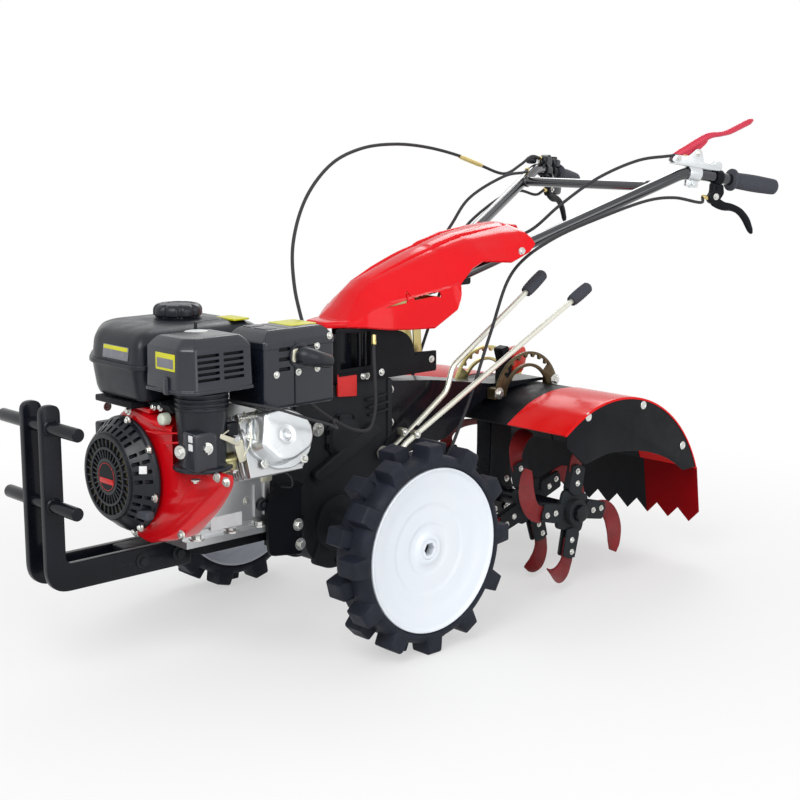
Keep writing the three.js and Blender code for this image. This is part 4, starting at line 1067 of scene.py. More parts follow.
@dataclass
class Bonnet(Part):
    """The moulded red bonnet, a shell open below, between the tank and the handlebar clamp."""

    wall: float = 3.2
    flare: float = 17.0
    round_over: float = 9.0
    bolt: Point = (-478.0, 118.0, 729.0)
    sections: tuple[BonnetSection, ...] = tuple(BonnetSection(*row)
        for row in ((-40, 50, 597, 604, 47, 608, 612), (-68, 58, 596, 622, 30, 638, 644),
        (-90, 66, 593, 634, 29, 662, 667), (-122, 76, 589, 645, 33, 684, 690),
        (-172, 84, 586, 652, 41, 702, 708), (-231, 90, 584, 660, 46, 722, 729),
        (-291, 95, 617, 670, 48, 739, 748), (-310, 97, 668, 676, 50, 744, 752),
        (-343, 100, 699, 705, 52, 753, 762), (-372, 103, 713, 719, 57, 759, 768),
        (-447, 110, 707, 724, 70, 768, 781), (-500, 117, 727, 738, 86, 772, 787),
        (-514, 119, 742, 750, 90, 771, 787)))

    def stations(self, steps: int = 5) -> np.ndarray:
        """Fills in sections between the given ones, straight along the foot and smooth along the top.

        The columns x, low and waist are linear in x. The others (half, fold, shoulder, crown) are averaged
        with their two neighbours six times, which rounds their corners.

        Args:
            steps: stations for each span.

        Returns:
            One row of x, half, low, waist, fold, shoulder, crown for each station.
        """
        rows = np.array([astuple(section) for section in self.sections])
        soft = [1, 4, 5, 6]
        at = np.linspace(0, len(rows) - 1, (len(rows) - 1) * steps + 1)
        out = np.stack([np.interp(at, np.arange(len(rows)), rows[:, k]) for k in range(7)], -1)
        for _ in range(6):
            out[1:-1, soft] = (out[:-2, soft] + 2 * out[1:-1, soft] + out[2:, soft]) / 4
        return out

    def half_section(self, station: np.ndarray, inset_by: float) -> np.ndarray:
        """One side of one section, from the foot to the crown.

        The foot flares out below the waist, the side bulges by a parabola, the shoulder is a quadratic
        curve with its corner as the middle point, and the top rises to the crown by a cosine.

        Args:
            station: x, half, low, waist, fold, shoulder, crown.
            inset_by: how far inside the outer skin.

        Returns:
            The side's points, of shape (n, 3).
        """
        x, half, low, waist, fold, shoulder, crown = station
        flare = self.flare * min(1.0, (waist - low) / 30)
        foot = np.array([[half + flare - 3, low], [half + flare, low + 3],
            [half + flare * 0.72, low * 0.45 + waist * 0.55], [half + flare * 0.42, waist - 3],
            [half, waist]])
        corner = np.array([fold, shoulder])
        start = corner + (np.array([half, waist]) - corner) * min(0.5,
            self.round_over / max(shoulder - waist, 1))
        t = np.linspace(0.2, 1, 6)[:, None]
        side = np.array([half, waist]) * (1 - t) + start * t
        side[:, 0] += 3.0 * np.sin(np.pi * t[:, 0]) * min(1.0, (shoulder - waist) / 40)
        end = np.array([fold * 0.78, shoulder + (crown - shoulder) * 0.22])
        u = np.linspace(0.17, 1, 6)[:, None]
        over = parabola(start, corner, end, u)
        v = np.linspace(1 / 6, 1, 6)[:, None]
        top = np.concatenate([end[0] * (1 - v), end[1] + (crown - end[1]) * np.sin(v * np.pi / 2)], 1)
        loop = np.concatenate([foot, side, over, top])
        middle = np.array([0.0, low])
        loop = loop - unit(loop - middle) * inset_by
        return np.column_stack([np.full(len(loop), x), loop])

    def shell(self) -> Shape:
        """The bonnet's wall: an outer and an inner skin that meet along the foot, the nose and the tail.

        Returns:
            The closed wall.
        """
        stations = self.stations()
        skins = []
        for inset_by in (0.0, self.wall):
            halves = np.stack([self.half_section(s, inset_by) for s in stations])
            far = halves[:, -2::-1] * np.array([1.0, -1.0, 1.0])
            whole = np.concatenate([halves, far], 1)
            nose = whole[:1] * np.array([1.0, 0.86, 1.0]) + np.array([4.0 - inset_by, 0.0, -1.0])
            skins.append(np.concatenate([nose, whole]))
        outer, inner = skins
        around = np.concatenate([outer, inner[:, ::-1]], 1)
        body = skin(around, ends=False)
        count = around.shape[1]
        n = outer.shape[1]
        last = (len(around) - 1) * count
        k = np.arange(n - 1)
        tail = np.stack([last + k, last + k + 1, last + count - 2 - k, last + count - 1 - k], -1)
        front = np.stack([k, k + 1, count - 2 - k, count - 1 - k], -1)[:, ::-1]
        return Shape(body.points, body.faces + tail.tolist() + front.tolist()).outward()

    def slot_cutter(self) -> Shape:
        """The long slot in the near side, with the tooth that stands in it."""
        return cutout([(-112, 634, 2), (-165, 641, 1), (-176, 660, 1), (-186, 645, 1), (-205, 647, 2),
            (-238, 650, 2), (-254, 646, 4), (-252, 658, 3), (-230, 657.5, 2), (-196, 652.5, 1),
            (-184, 650.5, 1), (-176, 664, 1), (-166, 647.5, 1), (-140, 642, 2)], 60, 130, Y, 0.0, turns=2)

    def nose_plate(self) -> Shape:
        """The nose's closed front with the small tab that lies on the tank's flange."""
        return cutout([(-37, -52, 10), (4, -30, 6), (8, 30, 6), (-37, 52, 10), (-60, 50, 8), (-60, -50, 8)],
            598, 611, Z, 5.0, 1.5, turns=5)

    def tail_cap(self) -> Shape:
        """The beak behind the crown, over the clamp.

        Returns:
            The closed cap.
        """
        loop = outline([(-498, -44, 4), (-498, 44, 4), (-553, 40, 14), (-562, 0, 20), (-553, -40, 14)], 6)
        cap = slab(loop, 769, 785, Z, 7.0, 1.0)
        cap.points[:, 2] -= 0.09 * (-498 - cap.points[:, 0])
        return cap

    def ridge(self, sign: float) -> Shape:
        """The raised bead that runs back along the crown, one each side.

        Args:
            sign: 1 on the left, -1 on the right.

        Returns:
            The closed bead.
        """
        rows = self.stations(3)
        rows = rows[rows[:, 0] < -120]
        share = np.linspace(0, 1, len(rows))
        y = rows[:, 4] * (0.62 - 0.12 * share)
        z = rows[:, 5] + (rows[:, 6] - rows[:, 5]) * 0.62 - 1.5
        path = np.stack([rows[:, 0], sign * y, z], -1)
        size = 5.0 * np.sin(np.pi * np.clip(share * 1.08, 0.02, 1.0)) ** 0.5 + 0.6
        return rod(path, size, 12, UP)

    def build(self) -> None:
        """Makes the bonnet."""
        self.piece("bonnet_shell", carve(self.shell(), self.slot_cutter()), BONNET_RED, 26, "hood")
        self.piece("bonnet_nose_plate", self.nose_plate(), BONNET_RED, 40)
        self.piece("bonnet_tail_cap", self.tail_cap(), BONNET_RED, 40)
        for name, sign in SIDES:
            self.piece(f"bonnet_bead_{name}", self.ridge(sign), BONNET_RED, 60)
            x, y, z = self.bolt
            washer = disc_on((x, sign * y, z), Y, [(0, -2), (9.5, -2), (9.5, 1.2), (8.6, 2), (0, 2)], 24,
                sign)
            head = disc_on((x, sign * y, z), Y, [(0, 2), (6, 2), (5.2, 3.6), (0, 4.4)], 20, sign)
            self.piece(f"bonnet_screw_{name}", [washer, head], BOLT_STEEL)


# ---------------------------------------------------------------- fender over the rotor
@dataclass
class Fender(Part):
    """The curved sheet over the rotor, its two end plates and the toothed flap behind."""

    x: float = -597.0
    z: float = 116.0
    radius: float = 303.0
    sheet: float = 3.0
    front: float = 54.0
    rear: float = 160.0
    end: float = 303.0
    seam: float = 136.0
    crease: float = 68.0
    roll: float = 7.0
    roll_depth: float = 1.6
    flap_foot: float = 84.0
    flap_lean: float = 18.0
    teeth: int = 10
    tooth: float = 29.0
    leg: Point = (-520.0, 34.4, 20.4)
    bolts: tuple[Point, ...] = ((-493.0, 391.0), (-678.0, 393.0), (-825.0, 281.0))

    def arc(self, radius: float, start: float, stop: float, steps: int = 40) -> np.ndarray:
        """Points of (x, z) round the fender's centre, from one angle to another, in degrees.

        Args:
            radius: the arc's radius.
            start: its first angle.
            stop: its last angle.
            steps: steps along it.

        Returns:
            The arc's points, of shape (steps + 1, 2).
        """
        turn = np.radians(np.linspace(start, stop, steps + 1))
        return np.stack([self.x + radius * np.cos(turn), self.z + radius * np.sin(turn)], -1)

    def sheet_profile(self, raised: float = 0.0) -> np.ndarray:
        """The sheet's line in (x, z): straight to a crease, then an arc to the flap.

        Args:
            raised: how far outside the sheet's middle.

        Returns:
            The line's points, front to rear.
        """
        r = self.radius - self.sheet / 2 + raised
        front = self.arc(r, self.front, self.crease, 1)
        t = np.linspace(0, 1, 8)[:, None]
        bulge = 0.45 * np.sin(np.pi * t)
        middle = (self.arc(r, self.front, self.crease, 7) - front[:1] * (1 - t) - front[1:] * t) * bulge
        flat = front[:1] * (1 - t) + front[1:] * t + middle
        return np.concatenate([flat, self.arc(r, self.crease, self.rear, 36)[1:]])

    def panel(self, low: float, high: float, raised: float = 0.0) -> Shape:
        """One width of the sheet, with its long edges rolled down.

        The profile is carried across from low to high. Within roll of the fender's end it drops by a
        parabola, by roll_depth at the end itself.

        Args:
            low: the first Y.
            high: the last Y.
            raised: how far outside the sheet's middle.

        Returns:
            The closed panel.
        """
        line = self.sheet_profile(raised)
        across = np.concatenate([[low], np.linspace(low + 1.5, low + 7.5, 4),
            np.linspace(high - 7.5, high - 1.5, 4), [high]])
        outer = max(abs(low), abs(high))
        away = outer - np.abs(across)
        rolled = (away < self.roll) & (outer >= self.end - 1)
        drop = np.where(rolled, (self.roll - away) ** 2 / self.roll**2 * self.roll_depth, 0.0)
        outward = unit(line - np.array([self.x, self.z]))
        skins = []
        for depth in (self.sheet / 2, -self.sheet / 2):
            spots = line[:, None] + outward[:, None] * (depth - drop)[None, :, None]
            skins.append(np.stack([spots[..., 0], np.broadcast_to(across, spots.shape[:2]), spots[..., 1]],
                -1))
        return skin(np.concatenate([skins[0], skins[1][:, ::-1]], 1))

    def flap(self, low: float, high: float) -> Shape:
        """A width of the flap with its row of teeth, hung from the sheet's rear edge.

        Args:
            low: the first Y.
            high: the last Y.

        Returns:
            The closed flap.
        """
        pitch = 2 * self.end / self.teeth
        foot = [low] + [k for k in np.arange(-self.end, self.end + 1, pitch / 2) if low < k < high] + [high]
        toothed = [(y, self.flap_foot + self.tooth * abs(((y + self.end) / pitch + 0.5) % 1 - 0.5) * -2
            + self.tooth) for y in foot]
        rear, top = self.arc(self.radius, self.rear, self.rear, 1)[0].tolist()
        top += 2
        plate = cutout(toothed + [(high, top), (low, top)], -1.4, 1.4, X, 0.5, steps=1)
        lean = (plate.points[:, 2] - self.flap_foot) / (top - self.flap_foot)
        plate.points[:, 0] += rear + 1.6 - self.flap_lean * (1 - lean)
        return plate

    def end_plate(self) -> Shape:
        """One end plate at Y 0 to 5: the sheet's arc above and a curved cut below.

        Returns:
            The closed plate.
        """
        inner = self.radius - self.sheet - 0.4
        top = self.arc(inner, self.front + 1, self.rear - 1, 40)
        cut = smooth_path([(-832, 0, 222), (-789, 0, 250), (-745, 0, 270), (-690, 0, 287), (-631, 0, 297),
            (-560, 0, 301), (-496, 0, 291)], 6)[:, [0, 2]]
        spots = np.concatenate([top, cut, np.array([(-484, 289), (-474, 296), (-432, 330), (-424, 342)])])
        return cutout(spots.tolist(), 0, 5, Y, 1.2)

    def build(self) -> None:
        """Makes the fender."""
        x, half_x, half_y = self.leg
        hole = block((x - half_x, -half_y, 300), (x + half_x, half_y, 460), 0.0, corner=2.0)
        middle = carve(self.panel(-self.seam - 3, self.seam + 3, -1.6), hole)
        self.piece("fender_centre_panel", middle, BLACK_POWDER, 20, "fender_sheet")
        for name, sign in SIDES:
            low, high = sorted((sign * self.seam, sign * self.end))
            self.piece(f"fender_panel_{name}", self.panel(low, high), SHEET_RED, 20)
            rim = self.arc(self.radius - 2.2, self.front, self.rear, 48)
            bead = np.stack([rim[:, 0], np.full(len(rim), sign * (self.end - 2.2)), rim[:, 1]], -1)
            self.piece(f"fender_bead_{name}", rod(bead, 2.2, 10, LEFT), SHEET_RED, 60)
            plate = self.end_plate().moved(y=self.end - 6).on_side(sign)
            self.piece(f"fender_end_plate_{name}", plate, BLACK_POWDER, 30, f"fender_end_{name}")
            cup = [(0, -1), (9.5, -1), (9.5, 0.6), (8.6, 1.4), (6.5, 1.5), (6.0, 1.1), (0, 1.1)]
            washers = [disc_on((bx, sign * (self.end - 1.5), bz), Y, cup, 24, sign)
                for bx, bz in self.bolts]
            self.piece(f"fender_bolts_{name}", washers, BOLT_STEEL)
        split = 150.0
        self.piece("flap_black_part", self.flap(-self.end, split), BLACK_POWDER, 20)
        self.piece("flap_red_end", self.flap(split, self.end), FLAP_RED, 20)
        liner = self.panel(2 - self.end, -self.seam, -self.sheet - 0.2)
        self.piece("fender_right_liner", liner, BLACK_POWDER, 20)


# ---------------------------------------------------------------- engine
CRANK = 369.0  # height of the crankshaft's axis


def shrunk(loop: Loop, by: float) -> Loop:
    """Shrinks an outline: by an inset up to most, and past that by scaling it towards its middle too.

    Args:
        loop: the outline, counter-clockwise.
        by: how far inwards.

    Returns:
        The outline inside, with as many points.
    """
    most = 8.0
    middle = (loop.min(0) + loop.max(0)) / 2
    reach = float((loop.max(0) - loop.min(0)).min()) / 2
    scale = 1 - max(0.0, by - most) / (reach - most)
    return middle + (inset(loop, min(by, most)) - middle) * max(scale, 0.02)


def lofted(loop: Loop, profile: Corners) -> Shape:
    """Carries an outline up a side profile, shrunk at each level by its own inset.

    Args:
        loop: the outline, counter-clockwise, as seen from above.
        profile: (level, inset) or (level, inset, rounding) for each corner, in order.

    Returns:
        The closed body.
    """
    return skin(np.stack([upright(shrunk(loop, by), level, Z) for level, by in rounded(profile, 3)]))


def lean_to(shape: Shape, z: float, slope: float) -> Shape:
    """Shears a shape along X: a point moves by slope for each millimetre that it lies above z.

    Args:
        shape: the shape.
        z: the level that stays where it is.
        slope: the move in X for each millimetre.

    Returns:
        The sheared shape.
    """
    points = shape.points.copy()
    points[:, 0] += (points[:, 2] - z) * slope
    return Shape(points, shape.faces)


@dataclass
class FuelTank(Part):
    """The fuel tank: a lower pan, a seam flange, a domed top and a scalloped cap."""

    low: Point = (190.0, -150.0, 514.0)
    high: Point = (490.0, 100.0, 644.0)
    seam: float = 578.0
    corner: float = 30.0
    cap: Point = (320.0, -20.0, 644.3)
    cap_radius: float = 46.0
    cap_height: float = 27.0
    lobes: int = 9

    def plan(self) -> Loop:
        """The tank from above, with the cut for its front right corner.

        Returns:
            The outline, (x, y) pairs.
        """
        (x0, y0, _), (x1, y1, _) = self.low, self.high
        r = self.corner
        return outline([(x0, y0, r), (428, y0, 24), (x1, -62, 24), (x1, y1, r), (x0, y1, r)], 6)

    def body(self) -> Shape:
        """The tank's skin, lofted through its side profile.

        Returns:
            The closed tank.
        """
        z0, z1, s = self.low[2], self.high[2], self.seam
        return lofted(self.plan(), [(z0, 60), (z0, 22), (z0 + 1, 16, 1), (z0 + 10, 12, 8), (s - 8, 6, 4),
            (s - 5, 5), (s - 5, 1), (s - 4, 0, 0.8), (s + 3, 0, 0.8), (s + 4, 1.5), (s + 4, 6), (s + 4, 6),
            (s + 8, 6.5, 2), (z1 - 26, 10, 8), (z1 - 9, 20, 9), (z1 - 2.5, 38, 6), (z1 - 0.6, 60, 3),
            (z1 - 0.3, 90)])

    def dimple(self) -> Shape:
        """The shallow raised field that the filler neck stands on.

        Returns:
            The closed field.
        """
        x, y, z = self.cap
        corners = [(x - 66, y - 62, 24), (x + 52, y - 62, 24), (x + 78, y + 10, 20), (x + 30, y + 74, 24),
            (x - 66, y + 66, 24)]
        return cutout(corners, z - 8, z - 0.3, Z, 4.0, 0.5, turns=6)

    def cap_shape(self) -> Shape:
        """The cap: a turned profile whose radius dips by a power of a cosine between its lobes.

        Returns:
            The closed cap.
        """
        x, y, z = self.cap
        r, h = self.cap_radius, self.cap_height
        profile = rounded([(TIP, 0), (r - 5, 0, 2), (r - 3, 5, 1), (r, 6, 1), (r, h - 9, 4),
            (r - 5, h - 2, 4), (r - 12, h, 3), (r - 15, h - 2, 1), (r * 0.3, h - 1.4, 4), (TIP, h - 1.2)],
            4)
        turn = np.linspace(0, 2 * np.pi, 180, endpoint=False)
        dip = 4.2 * (0.5 - 0.5 * np.cos(turn * self.lobes)) ** 5
        side = np.clip((profile[:, 0] - r * 0.55) / (r * 0.3), 0, 1) * (profile[:, 1] > 4)
        radius = profile[:, :1] - dip[None] * side[:, None]
        height = np.broadcast_to(profile[:, 1:], radius.shape)
        grid = np.stack([x + radius * np.cos(turn), y + radius * np.sin(turn), z + height], -1)
        return skin(grid)

    def build(self) -> None:
        """Makes the tank, its cap and its blank labels."""
        z = self.cap[2]
        self.piece("tank_shell", self.body(), GUARD_PLASTIC, 38, "fuel_tank")
        self.piece("tank_filler_field", self.dimple(), GUARD_PLASTIC, 40)
        neck = lathe([(TIP, -3), (40, -3), (40, 0.4, 1), (36, 1.2), (TIP, 1.2)], Z, self.cap)
        self.piece("filler_neck", neck, BLACK_GLOSS)
        self.piece("filler_cap", self.cap_shape(), GUARD_PLASTIC, 40, "fuel_cap")
        front, foot, slope = self.high[0] - 5.6, 587, -0.12
        label = block((front - 3, -22, foot), (front + 0.5, 60, 611), 0.3, X, 2.0)
        stripe = block((front - 3, -20, 603), (front + 0.8, 58, 610), 0.3, X, 0.8)
        self.piece("tank_front_label", lean_to(label, foot, slope), LABEL_GREY)
        self.piece("tank_front_stripe", lean_to(stripe, foot, slope), LABEL_YELLOW)
        self.piece("tank_top_label", block((226, 20, z - 3), (262, 78, z), 0.2, Z, 3.0), LABEL_YELLOW)
        spots = [(x, y, self.seam + 4) for x, y in ((206, -60), (206, 40), (300, 92))]
        self.piece("tank_flange_screws", bolts(spots, UP, 7), BOLT_STEEL)


@dataclass
class AirCleaner(Part):
    """The intake box with its slotted side, and the ribbed bowl below it."""

    low: Point = (328.0, 103.0, 543.0)
    high: Point = (480.0, 231.0, 640.0)
    bowl: Point = (405.0, 170.0, 393.0)
    bowl_radius: float = 49.0
    bowl_top: float = 542.7
    slot_rows: int = 5

    def plan(self) -> Loop:
        """The box from above, its front left corner cut."""
        (x0, y0, _), (x1, y1, _) = self.low, self.high
        return outline([(x0, y0, 12), (x1, y0, 10), (x1, y1 - 26, 10), (x1 - 22, y1, 8), (x0, y1, 14)], 5)

    def box(self) -> Shape:
        """The box with the slots cut in its side.

        Returns:
            The closed box.
        """
        z0, z1 = self.low[2], self.high[2]
        levels = [(z0, 50), (z0, 3, 1), (z0 + 1, 0.5, 0.5), (z0 + 6.5, 0.5, 1), (z0 + 8, 3, 1),
            (z1 - 20, 5, 2), (z1 - 18.5, 5.6, 2), (z1 - 4, 16, 4), (z1 - 0.6, 20, 3), (z1, 34)]
        y1 = self.high[1]
        bars = []
        for low, high in ((353.0, 396.0), (405.0, 451.0)):
            for row in range(self.slot_rows):
                z = z0 + 22.5 + row * 10.4
                bars.append(block((low, y1 - 16, z), (high, y1 + 4, z + 5.4), 0.8, Y, 1.2))
        return carve(lofted(self.plan(), levels), *bars)

    def bowl_shape(self) -> Shape:
        """The ribbed neck and the body of the bowl, one turned profile.

        Returns:
            The closed bowl.
        """
        z0 = self.bowl[2]
        h = self.bowl_top - z0
        r = self.bowl_radius
        ribs = []
        for k in range(4):
            a = h - 33 + k * 8.5
            ribs += [(r - 2.5, a - 2, 1), (r - 0.5, a, 1), (r - 0.5, a + 3.5, 1), (r - 2.5, a + 5, 1)]
        return lathe([(TIP, 14), (r - 13, 14), (r - 13, 6, 1), (r + 3, 6, 2), (r + 5, 10, 2),
            (r + 3, 14, 2), (r - 6, 17, 3), (r - 6, 60, 4), (r - 4, 86, 3), *ribs, (r - 2.5, h), (TIP, h)],
            Z, self.bowl, 72, steps=3)

    def fittings(self) -> None:
        """The clip, the pad, the stud, the bowl's flat with its blank squares, and the screws."""
        x1, z0, z1 = self.high[0], self.low[2], self.high[2]
        self.piece("cleaner_clip",
            cutout([(-7, z0 - 2, 4), (7, z0 - 2, 4), (4.5, z0 + 30, 4), (-4.5, z0 + 30, 4)], x1 - 9,
            x1 + 2.4, X, 2.5).moved(y=172), ENGINE_PLASTIC, 50)
        self.piece("cleaner_pad", lathe([(TIP, -4), (23, -4), (23, 0.2, 0.6), (20, 1.4, 1), (TIP, 1.6)], Z,
            (384, 132, z1 - 1.4), 48), PAD_WHITE, 50)
        self.piece("cleaner_stud", rod([(363, 98, z1 + k) for k in (-12, 9, 11)], np.array([3.2, 3.2, 2.0]),
            14), BLACK_GLOSS)
        x, y, z = self.bowl
        r = self.bowl_radius
        self.piece("bowl_flat",
            cutout([(y + 4, z + 12, 4), (y + 48, z + 12, 6), (y + 44, z + 82, 8), (y + 8, z + 82, 8)], x,
            x + r - 1, X, 4.0, turns=5), ENGINE_PLASTIC, 40)
        squares = together(*[block((x + r - 3, y + 27, z + 50 + k * 15),
            (x + r - 0.2, y + 39, z + 62 + k * 15), 0.3, X, 1.0) for k in range(2)])
        self.piece("bowl_blank_squares", squares, LABEL_WHITE)
        screws = together(bolts([(x + 22, y + 44, z + 52)], (0.35, 1, 0), 12),
            bolts([(x + r + 2, y + 6, z + 44)], (1, 0.3, 0), 13),
            bolts([(x - 30, y + 52, z + 8), (x + 44, y + 40, z - 1)], DOWN, 9))
        self.piece("bowl_screws", screws, BOLT_STEEL)
        label = block((x1 - 8, 139, 585), (x1 - 3.1, 193, 611), 0.4, X, 2.0)
        frame = carve(block((x1 - 8, 137, 583), (x1 - 3.5, 195, 613), 0.4, X, 2.0),
            block((x1 - 9, 141, 587), (x1, 191, 604), 0.2, X, 1.0))
        self.piece("cleaner_blank_label", label.moved(x=-0.7), LABEL_GREY)
        self.piece("cleaner_label_frame", frame, LABEL_YELLOW)

    def build(self) -> None:
        """Makes the cleaner and its bowl."""
        self.piece("cleaner_box", self.box(), ENGINE_PLASTIC, 36, "air_cleaner")
        (x0, _, z0), (x1, y1, _) = self.low, self.high
        # A black sheet standing as the floor of the slots: painted shade, so that the slots read dark.
        dark = block((x0 + 18, y1 - 24, z0 + 16), (x1 - 22, y1 - 14, z0 + 80), 1.0, Y)
        self.piece("cleaner_slot_screen", dark, BLACK_CAST)
        self.piece("bowl_body", self.bowl_shape(), GUARD_PLASTIC, 36, "air_cleaner_bowl")
        self.fittings()


@dataclass
class Muffler(Part):
    """The boxed muffler under its guard, with the exhaust elbow on its side."""

    low: Point = (147.0, 116.0, 497.0)
    high: Point = (312.0, 232.0, 640.0)
    elbow: Point = (226.0, 232.0, 588.0)

    def build(self) -> None:
        """Makes the guard, its louvres, the elbow and the screws."""
        (x0, y0, z0), (x1, y1, z1) = self.low, self.high
        plan = outline([(x0, y0, 12), (x1, y0, 12), (x1, y1, 9), (x0, y1, 9)], 5)
        body = lofted(plan, [(z0, 40), (z0, 6, 3), (z0 + 6, 1.5, 3), (z1 - 34, 1.5, 1), (z1 - 32, 0.2, 1),
            (z1 - 21, 0.2, 2), (z1 - 19, 1.0, 2), (z1 - 3, 14, 4), (z1, 18, 3), (z1, 36)])
        louvres = [block((252, y1 - 9, z), (278, y1 + 4, z + 7), 1.5, Y, 2.0) for z in (566, 584, 602)]
        self.piece("muffler_guard", carve(body, *louvres), ENGINE_PLASTIC, 34, "muffler")
        self.piece("muffler_guard_seam",
            [block((241.2, y1 - 3, z0 + 4), (242.8, y1 + 0.3, z1 - 22), 0.2, Y),
            block((241.2, y0 + 20, z1 - 3), (242.8, y1 - 20, z1 + 0.25), 0.2)], BLACK_CAST)
        self.piece("muffler_guard_pads", [block((254, 136, z1 - 2), (288, 160, z1 + 0.9), 0.8, corner=4.0),
            block((260, 168, z1 - 2), (288, 206, z1 + 0.9), 0.8, corner=4.0)], ENGINE_PLASTIC)
        inner = block((x0 + 8, y0 + 8, z0 + 8), (x1 - 8, y1 - 8, z1 - 26), 6.0)
        self.piece("muffler_inner", inner, BLACK_CAST)
        ex, ey, ez = self.elbow
        path = smooth_path([(ex + 4, ey - 6, ez + 4), (ex + 2, ey + 10, ez + 3), (ex - 12, ey + 19, ez - 1),
            (ex - 32, ey + 19, ez - 7), (ex - 50, ey + 17, ez - 12)], 6)
        size = np.interp(np.linspace(0, 1, len(path)), [0, 0.3, 0.55, 1], [16, 17, 15.5, 12])
        self.piece("exhaust_pipe", rod(path, size, 28, UP), GUARD_PLASTIC, 50, "exhaust_elbow")
        mouth = rod([path[-1] + (0.5, 0, 0), path[-1] - (1.0, 0, 0.3)], 8.5, 20)
        self.piece("exhaust_mouth", mouth, BLACK_CAST)
        self.piece("elbow_flange",
            disc_on((ex + 5, ey, ez + 3), Y, [(0, -2), (23, -2), (23, 1.6), (21.5, 2.8), (0, 2.8)], 40),
            ENGINE_PLASTIC)
        strap = cutout([(ex - 6, ez + 17, 3), (ex + 24, ez + 17, 6), (ex + 27, ez - 6, 5),
            (ex + 18, ez - 8, 3), (ex + 16, ez + 10, 5), (ex - 6, ez + 12, 2)], ey + 1, ey + 6, Y, 1.2)
        self.piece("elbow_strap", strap, ZINC)
        self.piece("muffler_screws",
            bolts([(190, y1 - 1, 604), (190, y1 - 1, 563), (234, y1 - 1, 561), (284, y1 - 1, 561),
            (160, y1 - 1, 620)], LEFT, 7), BOLT_STEEL)
        label = block((160, 126, z1 - 3), (222, 196, z1 + 0.7), 0.4, Z, 6.0)
        self.piece("muffler_blank_label", label, LABEL_YELLOW)
        shelf = block((97, 99, 583), (150, 127, 586), 0.8, corner=4.0)
        self.piece("cable_stay", [shelf, block((144.6, 117, 552), (147.6, 130, 586), 0.8, X, 3.0)], ZINC)
        self.piece("cable_stay_nut", rod([(107.2, 105.4, 591.2), (108.4, 115.2, 574.6)], 6.0, 6), BRASS)
        inner = rod(smooth_path([(108, 112, 580), (112, 121, 556), (122, 133, 522), (138, 143, 496),
            (157, 149, 492)], 8), 1.5, 8)
        self.piece("throttle_inner_wire", inner, BOLT_STEEL, 60)


